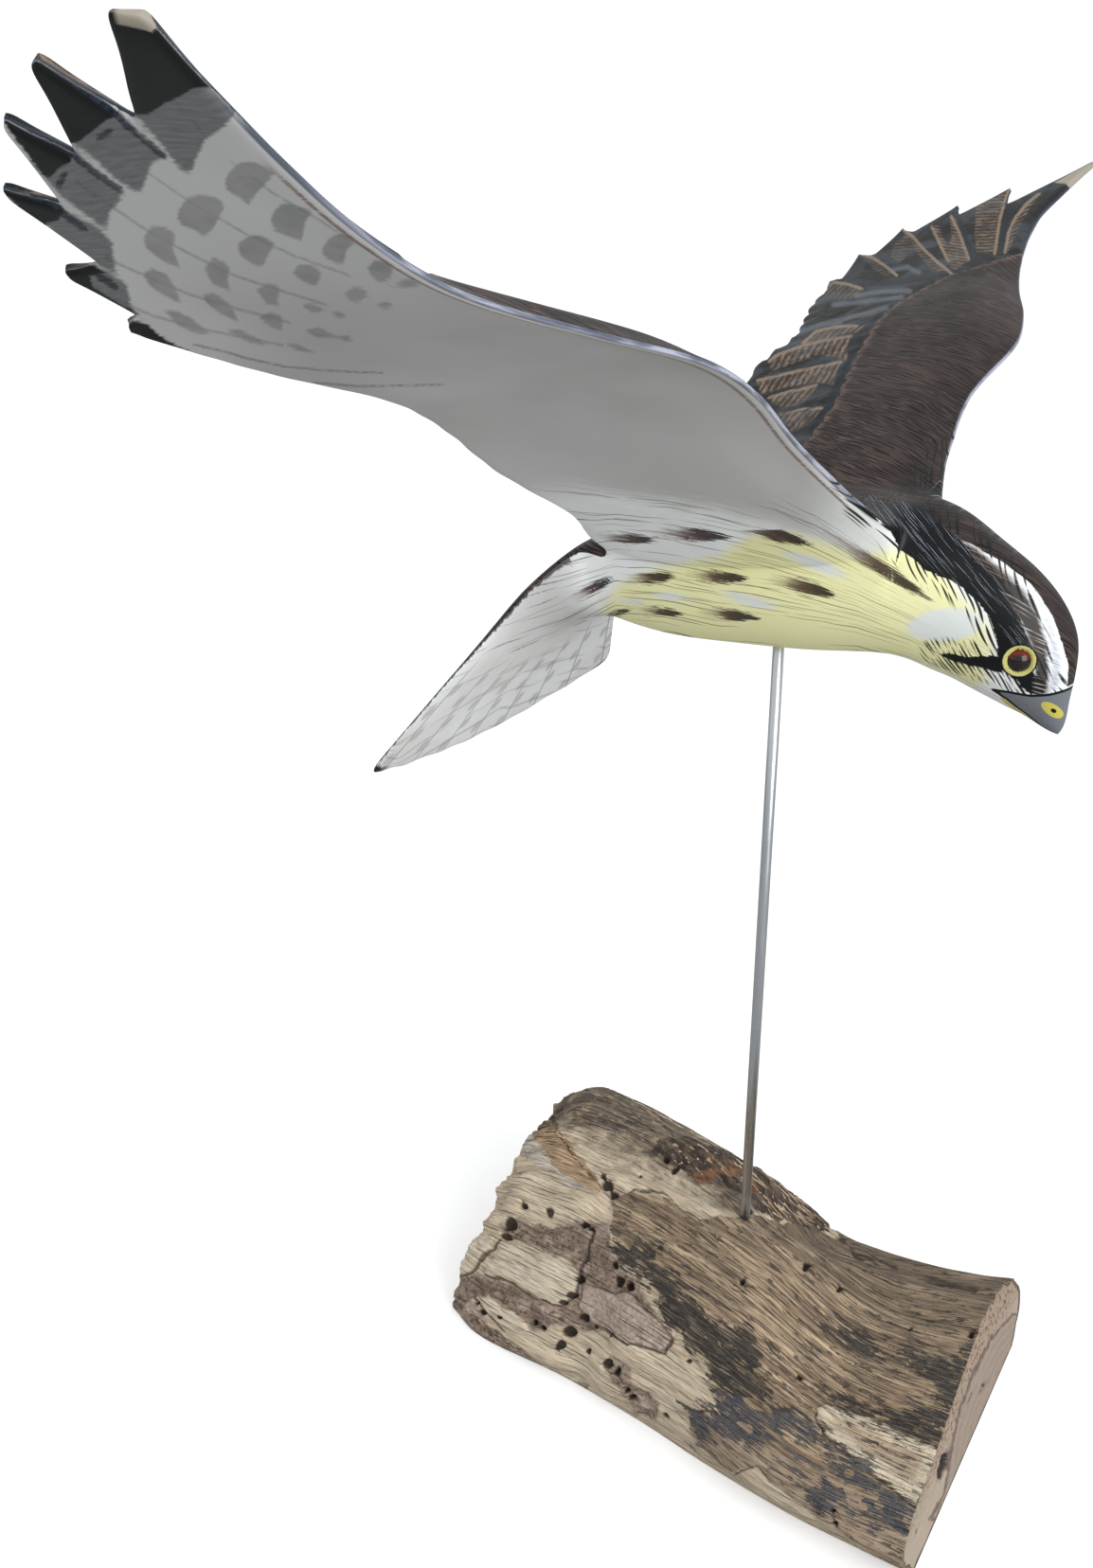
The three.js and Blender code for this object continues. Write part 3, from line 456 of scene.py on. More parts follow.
# %% The fingers
def add_fingers(cage, palm, side, place, up, flip, note):
    """Six feathers that part at the end of the wing, each drawn from its root to its tip."""
    n = COLUMNS_PER_FINGER
    notches = [palm["front"][0]]
    notches += [cage.middle(palm["top"][i * n], palm["low"][i * n]) for i in range(1, FINGERS)]
    notches.append(palm["rear"][0])
    for i in range(FINGERS):
        row = {"top": palm["top"][i * n:i * n + n + 1], "low": palm["low"][i * n:i * n + n + 1]}
        row["front"], row["rear"] = [notches[i]], [notches[i + 1]]
        end = FINGER_TIPS[side][i]
        width = BLUNT_TIP_WIDTH if i == 0 and side < 0 else FINGER_TIP_WIDTH
        a = (cage.points[row["top"][0]] + cage.points[row["low"][0]]) / 2
        b = (cage.points[row["top"][n]] + cage.points[row["low"][n]]) / 2
        root_out = abs((a + b)[1]) / 2
        for share in FINGER_SHARES:
            following = {"top": [], "low": []}
            narrow = math.sqrt(1 - share * share * 0.9999)
            for c in range(n + 1):
                tip = place(end) + (b - a) / np.linalg.norm(b - a) * (c / n - 0.5) * width
                wide = lerp(lerp(a, b, c / n), (a + b) / 2, (1 - narrow) * 0.75)
                p = lerp(wide, tip, share)
                t = (
                    lerp(wing_thickness(1, (i * n + c) / WING_COLUMNS), FINGER_END_THICKNESS, share)
                    / 2
                )
                flat = [p[0], abs(p[1])]
                out = lerp(root_out, end[1], share)
                following["top"].append(cage.point(p + up * t, **note(flat, i * n + c, 1.0, out)))
                following["low"].append(cage.point(p - up * t, **note(flat, i * n + c, 0.0, out)))
            following["front"] = [
                edge_point(cage, following["top"][0], following["low"][0], following["top"][1])
            ]
            following["rear"] = [
                edge_point(cage, following["top"][n], following["low"][n], following["top"][n - 1])
            ]
            stitch_rows(cage, row, following, n, flip)
            row = following
        top, low = row["top"], row["low"]
        for c in range(1, n - 1):
            cage.face([top[c], low[c], low[c + 1], top[c + 1]], flip)
        cage.face([top[0], row["front"][0], low[0], low[1], top[1]], flip)
        cage.face([top[n - 1], low[n - 1], low[n], row["rear"][0], top[n]], flip)


print("fingers on each wing:", FINGERS)

# %% [markdown]
# Now the rings are laid one behind the other, stitched, and closed at the beak and along the ends
# of the tail feathers. A point's way round the body is measured from the belly, the same on both
# sides.

# %% Bird cage
def ring_notes(ring, t, tail_share=0.0, across=None):
    """The notes of one ring. The way round is the length of the ring's arc from the belly up."""
    steps = np.linalg.norm(ring - np.roll(ring, 1, axis=0), axis=1)
    bottom = 3 * RING_POINTS // 4
    notes = []
    for j in range(RING_POINTS):
        k = (j - bottom) % RING_POINTS
        k = min(k, RING_POINTS - k)
        around = sum(steps[(bottom + i) % RING_POINTS] for i in range(1, k + 1))
        notes.append({
            "body_along": float(np.interp(t, np.arange(len(STATIONS)), STATION_ALONG)),
            "body_round": around,
            "upper": 1.0 if 0 < j < RING_POINTS / 2 else 0.5 if j % (
                RING_POINTS // 2
            ) == 0 else 0.0,
            "tail_out": tail_share,
            "tail_lane": 0.0 if across is None else (across[j] + 1) / 2 * TAIL_FEATHERS,
        })
    return notes


def bird_cage():
    cage = Cage()
    head_steps = round(FIRST_WING_STATION * HEAD_RINGS_PER_STATION)
    places = [FIRST_WING_STATION * i / head_steps for i in range(1, head_steps)]
    first_wing_ring = len(places)
    places += [
        lerp(FIRST_WING_STATION, LAST_WING_STATION, m / WING_COLUMNS)
        for m in range(WING_COLUMNS + 1)
    ]
    last = len(STATIONS) - 1
    places += [lerp(LAST_WING_STATION, last, 0.5), last]
    rings = []
    for t in places:
        ring = body_ring(t)
        rings.append([cage.point(p, **n) for p, n in zip(ring, ring_notes(ring, t))])
    root = body_ring(last)
    for i in range(1, TAIL_RINGS + 1):
        share = i / TAIL_RINGS
        ring, across = tail_ring(share, root)
        notes = ring_notes(ring, last, share, across)
        for note in notes:
            note["body_along"] = STATION_ALONG[-1] + share * (TAIL_RADIUS - TAIL_ROOT_ALONG)
        rings.append([cage.point(p, **n) for p, n in zip(ring, notes)])
    half = RING_POINTS // 2
    for i in range(len(rings) - 1):
        winged = first_wing_ring <= i < first_wing_ring + WING_COLUMNS
        for j in range(RING_POINTS):
            beside = j < ROOT_TOP or half - ROOT_TOP <= j < half
            k = (j + 1) % RING_POINTS
            if not (winged and beside):
                cage.face([rings[i][j], rings[i][k], rings[i + 1][k], rings[i + 1][j]])
    tip = cage.point([STATIONS[0, 0], 0, BELLY_HEIGHT + STATIONS[0, 1]])
    for j in range(RING_POINTS):
        cage.face([tip, rings[0][(j + 1) % RING_POINTS], rings[0][j]])
    end = rings[-1]
    cage.face([end[0], end[1], end[-1]])
    for j in range(1, half - 1):
        cage.face([end[j], end[j + 1], end[RING_POINTS - j - 1], end[RING_POINTS - j]])
    cage.face([end[half - 1], end[half], end[half + 1]])
    add_wing(cage, rings, first_wing_ring, -1)
    add_wing(cage, rings, first_wing_ring, 1)
    return cage


cage = bird_cage()
print("cage:", len(cage.points), "points,", len(cage.faces), "faces")

# %% [markdown]
# A Subdivision Surface turns the cage into a smooth skin and carries the notes along as vertex
# attributes. It could stay on the object, but the carving that comes next has to know where each
# fine point is, so its result becomes a plain mesh.

# %% Smooth skin
SKIN_LEVELS = 2


def mesh_of(name, points, faces, notes=None):
    mesh = bpy.data.meshes.new(name)
    mesh.from_pydata([tuple(p * MM) for p in points], [], faces)
    for i, field in enumerate(NOTES if notes is not None else ()):
        mesh.attributes.new(field, "FLOAT", "POINT").data.foreach_set(
            "value", np.array(notes)[:, i]
        )
    return put(name, mesh)


def apply_modifiers(thing):
    """Turns the object as its modifiers show it into a plain mesh, and takes the modifiers off."""
    graph = bpy.context.evaluated_depsgraph_get()
    graph.update()
    made = bpy.data.meshes.new_from_object(
        thing.evaluated_get(graph), preserve_all_data_layers=True, depsgraph=graph
    )
    thing.modifiers.clear()
    thing.data = made
    made.name = thing.name
    return made


def without_loose_points(mesh):
    work = bmesh.new()
    work.from_mesh(mesh)
    loose = [v for v in work.verts if not v.link_faces]
    bmesh.ops.delete(work, geom=loose, context="VERTS")
    work.to_mesh(mesh)
    work.free()
    return len(loose)


bird = mesh_of("painted_kestrel", cage.points, cage.faces, cage.notes)
print("loose points of the cage taken out:", without_loose_points(bird.data))
rounding = bird.modifiers.new("rounding", "SUBSURF")
rounding.levels = rounding.render_levels = SKIN_LEVELS
skin = apply_modifiers(bird)
print(
    "skin:", len(skin.vertices), "points,", sum(len(p.vertices) - 2 for p in skin.polygons),
    "triangles"
)

# %% [markdown]
# From here on, the fine points are handled all at once as arrays, which is quicker than a loop and
# reads like a sum. Each note comes back as one number for each point.

# %% Read the notes of the fine skin
def read_field(mesh, name):
    values = np.zeros(len(mesh.vertices), np.float32)
    mesh.attributes[name].data.foreach_get("value", values)
    return values.astype(float)


def write_field(mesh, name, values):
    layer = mesh.attributes.get(name) or mesh.attributes.new(name, "FLOAT", "POINT")
    layer.data.foreach_set("value", np.asarray(values, np.float32))


def read_places(mesh, kind="co"):
    flat = np.zeros(len(mesh.vertices) * 3, np.float32)
    source = mesh.vertices if kind == "co" else mesh.vertex_normals
    source.foreach_get("co" if kind == "co" else "vector", flat)
    return flat.reshape(-1, 3).astype(float) * (1 / MM if kind == "co" else 1)


def write_places(mesh, places):
    mesh.vertices.foreach_set("co", (places * MM).astype(np.float32).ravel())
    mesh.update()


class Neighbours:
    """Each point's neighbours, for smoothing a field or the places themselves."""

    def __init__(self, mesh):
        pairs = np.zeros(len(mesh.edges) * 2, np.int64)
        mesh.edges.foreach_get("vertices", pairs)
        self.a, self.b = pairs.reshape(-1, 2).T
        self.count = len(mesh.vertices)
        self.valence = np.maximum(np.bincount(pairs, minlength=self.count), 1)

    def mean(self, values):
        total = (
            np.bincount(self.a, values[self.b], self.count)
            + np.bincount(self.b, values[self.a], self.count)
        )
        return total / self.valence

    def smooth(self, values, strength, rounds):
        for _ in range(rounds):
            values = values + strength * (self.mean(values) - values)
        return values


places = read_places(skin)
note = {name: read_field(skin, name) for name in NOTES}
near = Neighbours(skin)
out = np.abs(places[:, 1])
print("points on the wings:", int((note["wing_out"] > FLANK_OUT).sum()))

# %% [markdown]
# Where the flank sweeps into the underside of a wing, the cage left a faint crease. Smoothing only
# there takes it away and leaves the feather edges sharp: the strength is one near the root and
# fades to nothing further out.

# %% Even out the roots of the wings
behind_head = smoothstep(places[:, 0], -60, -52) * (1 - smoothstep(places[:, 0], 44, 50))
root_zone = (
    smoothstep(note["body_round"], 34, 44) * (1 - smoothstep(out, 44, 62)) * (note["upper"] < 0.95)
)
top_zone = (
    smoothstep(note["body_round"], 60, 66) * (1 - smoothstep(out, 30, 44)) * (note["upper"] >= 0.5)
)
strength = np.clip(root_zone + 0.8 * top_zone, 0, 1) * np.clip(behind_head + 0.35, 0, 1)
strength = near.smooth(strength, 1.0, 3)
for axis in range(3):
    places[:, axis] = near.smooth(places[:, axis], strength * 0.9, 26)
write_places(skin, places)
out = np.abs(places[:, 1])
print("smoothed points:", int((strength > 0.05).sum()))

# %% [markdown]
# Painted hairs follow the lie of the feathers. On the head that is the way the rings run. On the
# flank it is the angle round the middle of the body, measured from straight below, because that
# stays smooth where the wing begins, and the hairs fan out onto the wing there.

# %% How far round the body, for the hairs
GIRTH_RADIUS = 26.0
HAIR_FAN = 0.25
middle_height = BELLY_HEIGHT + np.interp(-places[:, 0], -STATIONS[:, 0], STATIONS[:, 1])
from_axis = np.hypot(out, middle_height - places[:, 2])
girth = (
    np.arctan2(out, middle_height - places[:, 2]) * GIRTH_RADIUS
    + np.maximum(from_axis - GIRTH_RADIUS - 1, 0)
)
girth += HAIR_FAN * smoothstep(from_axis, GIRTH_RADIUS, 60) * (np.maximum(places[:, 0], -10) - 50)
girth = lerp(girth, note["body_round"], smoothstep(places[:, 0], 42, 62))
girth = lerp(girth, out, smoothstep(note["tail_out"], 0.0, 0.25))
write_field(skin, "girth", girth)
print("girth from", round(float(girth.min())), "to", round(float(girth.max())), "mm")

# %% [markdown]
# The upper side is carved: a step where the brown coverts end, and long feathers that overlap like
# tiles. Each feather is highest at its front edge and sinks towards the next one, so one saw-
# toothed wave across the feathers makes them all. The mesh carries this relief; finer cuts come in
# the bump.

# %% Carve the upper side
COVERT_EDGE = np.array([
    # out from the middle, forward
    [22, -14], [63, -11.5], [75, -11], [87, -13], [99, -15], [111, -16.5], [137, -19], [149, -19],
    [159, -17], [174, -13], [182, -9.5], [191, -7], [195, -2.5], [204, 4], [216, 8.4], [224, 13.5],
    [250, 22],
])
COVERT_TUFTS = [1.5, 9.0]
COVERT_STEP = 1.3
PRIMARY_RELIEF, SECONDARY_RELIEF, TAIL_RELIEF = 1.0, 0.8, 0.6
SECONDARY_WIDTH = 11.0
SECONDARY_SLANT = 0.42

wing = smoothstep(note["wing_out"], 24, 40)
top = smoothstep(note["upper"], 0.6, 0.98) * (note["tail_out"] < 0.01)
covert = places[:, 0] - np.interp(note["wing_out"], COVERT_EDGE[:, 0], COVERT_EDGE[:, 1])
covert += COVERT_TUFTS[0] * np.abs(np.sin(np.pi * note["wing_out"] / COVERT_TUFTS[1]))
covert = np.where(note["wing_out"] < 1, 20.0, covert)
hand = smoothstep(note["wing_out"] - 0.25 * covert, 168, 186)


def overlap(across):
    """0 at the rear of a feather, rising to 1 at its front, with a short rounded fall between."""
    f = across - np.floor(across)
    return (1 - f) * smoothstep(f, 0.0, 0.16)


lane_wave = overlap(note["wing_lane"])
secondary_lane = (note["wing_out"] - SECONDARY_SLANT * covert) / SECONDARY_WIDTH
secondary_wave = overlap(-secondary_lane)
flights = smoothstep(-covert, 0.5, 5) * wing
height = (
    COVERT_STEP * smoothstep(covert, -0.9, 0.9) * smoothstep(note["wing_lane"], 0.02, 0.6) * wing
)
height += PRIMARY_RELIEF * lane_wave * hand * flights
height += SECONDARY_RELIEF * secondary_wave * (1 - hand) * flights
height *= top
tail_top = smoothstep(note["upper"], 0.6, 0.98) * smoothstep(note["tail_out"], 0.12, 0.3)
height += TAIL_RELIEF * overlap(np.abs(note["tail_lane"] - TAIL_FEATHERS / 2)) * tail_top

normals = read_places(skin, "normal")
places = places + normals * height[:, None]
write_places(skin, places)
print("deepest carving:", round(float(height.max()), 2), "mm")

# %% [markdown]
# Each eye is a glass bead in a shallow socket. The skin is pushed in under the bead, and a low lid
# stands up round it.

# %% Eye sockets and lids
EYE_RADIUS = 4.2
EYE_PLACE = np.array([83.8, 13.2, BELLY_HEIGHT + 11.3])
LID_RADIUS, LID_WIDTH, LID_HEIGHT, SOCKET_DEPTH = 4.4, 0.8, 0.35, 2.6
eye_axis = np.array([0.32, 0.94, 0.06])
eye_axis /= np.linalg.norm(eye_axis)
mirrored = places * [1, 0, 1] + np.stack([0 * out, np.abs(places[:, 1]), 0 * out], axis=1)
from_eye = mirrored - EYE_PLACE
beside = from_eye - (from_eye @ eye_axis)[:, None] * eye_axis
eye_distance = np.linalg.norm(beside, axis=1)
facing_out = (from_eye @ eye_axis) > -4
push = LID_HEIGHT * np.exp(-((eye_distance - LID_RADIUS) / LID_WIDTH) ** 2)
push -= SOCKET_DEPTH * (1 - smoothstep(eye_distance, EYE_RADIUS - 1.3, EYE_RADIUS - 0.3))
push = np.where(facing_out, push, 0)
places += normals * push[:, None]
write_places(skin, places)
note["eye_distance"] = eye_distance
print("points in the eye lids:", int((np.abs(push) > 0.2).sum()))

# %% [markdown]
# The painter's pattern. On a real carving it is pencilled on before any paint: the patches of the
# head as outlines seen from the side, the flames of the flank as leaves, the spots as ovals. Each
# becomes a field: how many millimetres a point lies inside the mark, negative outside. A shader can
# cut such a field as sharp as a brush, at any size of picture, although the mesh is coarser.

# %% Fields from outlines
def inside(points, outline):
    """Distance in from the edge of a closed outline, negative outside it."""
    corners = np.asarray(outline, float)
    nearest = np.full(len(points), 1e9)
    crossings = np.zeros(len(points), bool)
    for a, b in zip(corners, np.roll(corners, -1, axis=0)):
        edge = b - a
        share = np.clip(((points - a) @ edge) / (edge @ edge), 0, 1)
        nearest = np.minimum(nearest, np.linalg.norm(points - a - share[:, None] * edge, axis=1))
        spans = (a[1] > points[:, 1]) != (b[1] > points[:, 1])
        with np.errstate(divide="ignore", invalid="ignore"):
            crossing = (b[0] - a[0]) * (points[:, 1] - a[1]) / (b[1] - a[1]) + a[0]
        crossings ^= spans & (points[:, 0] < crossing)
    return np.where(crossings, nearest, -nearest)


def in_oval(points, middle, half_length, half_width, towards):
    """Distance in from the edge of an oval whose long axis points towards a second place."""
    axis = np.array(towards, float) - middle
    axis /= np.linalg.norm(axis)
    offset = points - middle
    along, across = offset @ axis, offset @ np.array([-axis[1], axis[0]])
    return (
        (1 - np.sqrt((along / half_length) ** 2 + (across / half_width) ** 2))
        * min(half_length, half_width)
    )


def from_line(points, line):
    """The distance of points from a line through several corners."""
    nearest = np.full(len(points), 1e9)
    for a, b in zip(np.array(line[:-1], float), np.array(line[1:], float)):
        share = np.clip(((points - a) @ (b - a)) / ((b - a) @ (b - a)), 0, 1)
        nearest = np.minimum(nearest, np.linalg.norm(points - a - share[:, None] * (b - a), axis=1))
    return nearest


def leaf(rear, tip, width):
    """The outline of a flame: blunt behind, widest past the middle and pointed in front."""
    rear, tip = np.array(rear, float), np.array(tip, float)
    side = np.array([-(tip - rear)[1], (tip - rear)[0]]) / np.linalg.norm(tip - rear) * width / 2
    shares, halves = [0, 0.15, 0.4, 0.62, 0.82, 0.93], [0.5, 0.75, 0.95, 1, 0.62, 0.28]
    upper = [lerp(rear, tip, s) + side * h for s, h in zip(shares, halves)]
    lower = [lerp(rear, tip, s) - side * h for s, h in zip(shares, halves)]
    return upper + [tip] + lower[::-1]


def seen(points):
    """Where points come in the photograph, in its own pixels across and down."""
    ahead = np.array(LOOK_ALONG)
    across = np.cross(ahead, [0, 0, 1])
    across /= np.linalg.norm(across)
    offset = points - np.array(CAMERA_PLACE) / MM
    depth = offset @ ahead
    return (
        PHOTO_MIDDLE
        + PHOTO_FOCUS * np.stack([offset @ across, offset @ np.cross(ahead, across)], axis=1)
        / depth[:, None]
    )


PHOTO_MIDDLE, PHOTO_FOCUS = np.array([577.0, 828.0]), 1500.0
side_view = np.stack([places[:, 0], places[:, 2] - BELLY_HEIGHT], axis=1)
to_right = np.stack([places[:, 0], -np.abs(places[:, 1]), places[:, 2]], axis=1)
photo_view, far_view = seen(to_right), seen(to_right * [1, -1, 1])
print("fields are measured in mm inside their marks")

# %% [markdown]
# The head. A black band runs from the front of the wing to the eye, a white brow from the crown to
# the bill, and a short black line back from the eye. The bill is slate grey with a black outline.
# Outlines are seen from the side, as [forward, up from the belly].

# %% Marks of the head
BAND = [
    [41, 56], [46, 49], [48.5, 45.5], [50.6, 42], [53, 39.8], [57.8, 37.9], [62.5, 34.6],
    [67.2, 31.4], [71.9, 27.6], [75.2, 23.7], [78, 16.6], [79, 9], [84, 5], [87.5, 6], [89, 12],
    [87.2, 17], [84.5, 22], [81, 29], [76, 35], [71, 39.5], [66, 43], [61.5, 46.5], [55, 50.5],
    [48, 55],
]
MOUSTACHE = [
    [59, 10], [64, 11.2], [69, 10.8], [74, 12], [79.5, 13], [80, 7], [74, 7.8], [66.4, 8.2]
]
LORES = [[84, 7], [88.5, 8], [92.5, 4], [92, 0.4], [88, 0.4], [85.5, 3]]
BROW = [
    [70, 41.6], [77.3, 37.0], [81.5, 33.6], [85.3, 29.6], [88.6, 25.2], [91.4, 19.3], [92.9, 11],
    [92.7, 1], [96.2, 1.6], [96.2, 10.5], [94.9, 16.4], [91.6, 23.3], [87.3, 28.8], [82.8, 33.5],
    [78.6, 36.9], [73, 40.6],
]
STREAKED = [
    [60, 48], [70, 41.5], [77, 36.5], [83, 31.5], [88, 25], [91.5, 17], [93, 8], [93, 0.5],
    [88.8, 0.4], [89.5, 9], [87.5, 17], [81.5, 27], [75, 34], [68, 40],
]
BILL = [
    [76.8, 0.3], [81.8, 0.3], [88.3, -0.4], [93.4, 0.1], [98.6, 1.4], [104, -2], [102, -22],
    [94.6, -15.4], [91.6, -13.1], [88.4, -10.1], [85, -6.8], [81, -2.6],
]
BILL_UNDER = [
    [78, -0.4], [81.4, -3.8], [85.4, -8], [89, -11.4], [92.5, -14.2], [90.5, -14.6], [85, -10.2],
    [80, -4.6]
]
CERE = {"middle": [94.2, -5.6], "towards": [90.2, -1.4], "half_length": 3.9, "half_width": 1.9}
NOSTRIL = {"middle": [94.6, -5.9], "towards": [91.5, -2.5], "half_length": 1.05, "half_width": 0.7}
BAND_TOP = [
    [893, 508], [905, 519], [927, 529], [960, 541], [1000, 562], [1020, 577], [1006, 614],
    [992, 608], [976, 602], [966, 591], [950, 581], [941, 562], [930, 551], [912, 528],
]
BAND_HIGHLIGHT_ZONE = [
    [900, 505], [930, 520], [975, 540], [1012, 568], [1042, 598], [1066, 632], [1084, 664],
    [1076, 690], [1058, 672], [1040, 645], [1015, 620], [985, 600], [955, 575], [925, 545],
]
PHOTO_SCALE = 0.32

beside_face = np.where(note["tail_out"] > 0, -50.0, 0.0) + np.where(places[:, 0] < 30, -50.0, 0.0)
marks = {
    "band": np.maximum.reduce([
        *[inside(side_view, shape) for shape in (BAND, MOUSTACHE, LORES)],
        inside(photo_view, BAND_TOP) * PHOTO_SCALE,
    ]),
    "brow": inside(side_view, BROW),
    "band_highlight_zone": inside(photo_view, BAND_HIGHLIGHT_ZONE) * PHOTO_SCALE,
    "streaked": inside(side_view, STREAKED),
    "bill": inside(side_view, BILL),
    "bill_under": inside(side_view, BILL_UNDER),
    "cere": in_oval(side_view, **CERE),
    "nostril": in_oval(side_view, **NOSTRIL),
}
marks = {name: field + beside_face for name, field in marks.items()}
print("head marks:", ", ".join(marks))

# %% [markdown]
# The flank. Brown flames point forward in three rows, pale ovals lie between them, and lemon yellow
# fades into white towards the wing and the tail. These were traced from the photograph, so they are
# in its pixels, and every point of the skin is looked up where it would be seen there. The left
# flank is looked up as its mirror image, and so gets the same pattern.

# %% Marks of the flank
FLAMES = [
    # rear, tip and width
    ([630, 566], [694, 571], 10), ([690, 563], [776, 567], 12.5), ([764, 549], [860, 576], 14.5),
    ([868, 560], [988, 637], 13.5),
    ([600, 634], [650, 609], 11.5), ([660, 613], [717, 608], 12), ([724, 606], [792, 612], 13),
    ([812, 610], [886, 630], 15),
    ([630, 654], [668, 643], 8.5), ([672, 643], [724, 649], 9.5), ([738, 645], [804, 654], 11.5),
]
PALE_OVALS = [
    # middle, towards, half length and half width
    ([998, 660], [1039, 656], 42, 18), ([861, 596], [895, 609], 36, 7.5),
    ([791, 634], [822, 642], 32, 6),
    ([707, 630], [729, 632], 22, 4.4), ([666, 635], [681, 637], 15, 3.4),
]
YELLOW = [
    [622, 664], [634, 640], [650, 615], [690, 598], [730, 590], [756, 585], [775, 572], [793, 562],
    [831, 558], [877, 572], [906, 583], [935, 578], [952, 575], [977, 586], [1002, 606],
    [1018, 629], [1040, 650], [1052, 688], [1040, 704], [1046, 716], [1030, 730], [960, 700],
    [850, 705], [640, 700],
]

flame, flame_share = np.full(len(places), -50.0), np.zeros(len(places))
for rear, tip, width in FLAMES:
    field = inside(photo_view, leaf(rear, tip, width)) * PHOTO_SCALE
    way = np.array(tip, float) - rear
    share = np.clip(((photo_view - rear) @ way) / (way @ way), 0, 1)
    flame_share = np.where(field > flame, share, flame_share)
    flame = np.maximum(flame, field)
pale = np.maximum.reduce(
    [in_oval(photo_view, m, a, b, t) * PHOTO_SCALE for m, t, a, b in PALE_OVALS]
)
on_flank = np.where(
    (note["wing_out"] > 40) | (note["upper"] > 0.9) & (note["wing_out"] > 4), -50.0, 0.0
)
marks.update({
    "flame_mark": flame + on_flank, "pale": pale + on_flank,
    "yellow": inside(photo_view, YELLOW) * PHOTO_SCALE + on_flank,
})
write_field(skin, "flame_share", flame_share)
print("flames:", len(FLAMES), "pale ovals:", len(PALE_OVALS))

# %% [markdown]
# The brown of the back starts along a line over the head and at the front edge of the wings. On a
# thin edge the note that says upper or lower side changes from 0 to 1 within the thickness of the
# wood, so half way is the line itself.

# %% Brown above, spots below
BACK_LINE = np.array([
    # from the bill, round from the belly
    [0, 60], [13, 60], [14, 27], [20, 37], [25, 42.5], [31, 49], [36, 52.5], [40, 55], [47, 57],
    [60, 60], [69, 62], [76, 66], [84, 70], [150, 70], [165, 52], [176, 41],
])
EDGE_SCALE = 6.0
RUMP_FROM = 112.0

back = note["body_round"] - np.interp(note["body_along"], BACK_LINE[:, 0], BACK_LINE[:, 1])
thin = (note["wing_out"] > 9) | (note["tail_out"] > 0.04)
back = np.where(thin, (note["upper"] - 0.5) * EDGE_SCALE, back)
rump = (note["body_along"] > RUMP_FROM) & (note["upper"] > 0.5)
back = np.where(rump, np.maximum(back, (note["upper"] - 0.5) * EDGE_SCALE), back)
print("brown above for", int((back > 0).sum()), "points")

# %% [markdown]
# Under the wing each long feather has a grey shaft, and grey spots with a short tail that shrink
# towards the body. The fingers end in grey and then black. All were traced from the photograph,
# where the right wing shows its underside; the left wing has them mirrored.

# %% Marks under the wings
SPOTS = [
    [
        [237, 192], [243, 180], [252, 172], [268, 171], [292, 182], [279, 195], [270, 205],
        [262, 218], [256, 210], [241, 203]
    ],
    [
        [286, 232], [290, 222], [300, 214], [318, 219], [332, 222], [323, 233], [318, 256],
        [305, 250], [288, 243]
    ],
    [
        [340, 262], [350, 249], [362, 247], [376, 255], [366, 264], [362, 281], [350, 276],
        [340, 270]
    ],
    [[388, 284], [395, 275], [408, 276], [416, 283], [412, 292], [404, 300], [392, 293]],
    [[415, 303], [425, 295], [437, 294], [445, 301], [430, 304]],
    [
        [187, 232], [188, 222], [197, 210], [212, 205], [230, 209], [238, 216], [233, 227],
        [226, 240], [215, 251], [208, 243], [195, 240]
    ],
    [
        [251, 266], [252, 257], [262, 249], [275, 248], [290, 257], [284, 268], [276, 283],
        [262, 277]
    ],
    [[308, 288], [316, 279], [330, 280], [340, 287], [334, 303], [320, 298]],
    [[364, 310], [371, 303], [383, 303], [389, 311], [378, 321], [367, 316]],
    [[398, 322], [408, 316], [416, 322], [408, 328]],
    [
        [151, 252], [160, 238], [175, 240], [187, 248], [182, 262], [190, 283], [172, 276],
        [155, 263]
    ],
    [[215, 284], [225, 272], [243, 279], [240, 295], [243, 308], [225, 300]],
    [[271, 306], [283, 299], [298, 304], [292, 316], [296, 324], [280, 320]],
    [[319, 322], [335, 320], [340, 328], [334, 333], [323, 327]],
    [[349, 330], [362, 329], [366, 336], [352, 334]],
    [[151, 289], [160, 283], [176, 290], [184, 302], [192, 322], [176, 313], [158, 303]],
    [[214, 312], [226, 309], [242, 320], [252, 340], [236, 333], [220, 323]],
    [[273, 335], [284, 329], [298, 334], [298, 350], [285, 345]],
    [[323, 349], [336, 345], [347, 351], [345, 357], [332, 356]],
    [[352, 355], [368, 354], [373, 360], [360, 360]],
    [[173, 328], [186, 328], [205, 338], [222, 353], [208, 353], [190, 345]],
    [[239, 348], [252, 348], [270, 356], [282, 365], [262, 362]],
    [[300, 362], [316, 364], [333, 373], [316, 371]],
]
SHAFTS = [
    [[186, 108], [216, 142], [250, 175], [290, 205], [330, 228], [365, 250], [400, 270]],
    [[140, 170], [175, 195], [215, 222], [262, 248], [310, 270], [372, 292]],
    [[80, 192], [100, 206], [150, 240], [200, 268], [250, 292], [300, 308], [345, 322]],
    [[110, 272], [160, 294], [200, 311], [250, 326], [310, 342]],
    [[120, 315], [160, 333], [205, 346], [240, 353], [300, 365]],
]
EDGE_STROKES = [
    [[205, 364], [240, 372], [262, 379]], [[268, 380], [300, 387], [340, 391], [405, 394]],
    [[330, 404], [380, 408], [470, 406]]
]
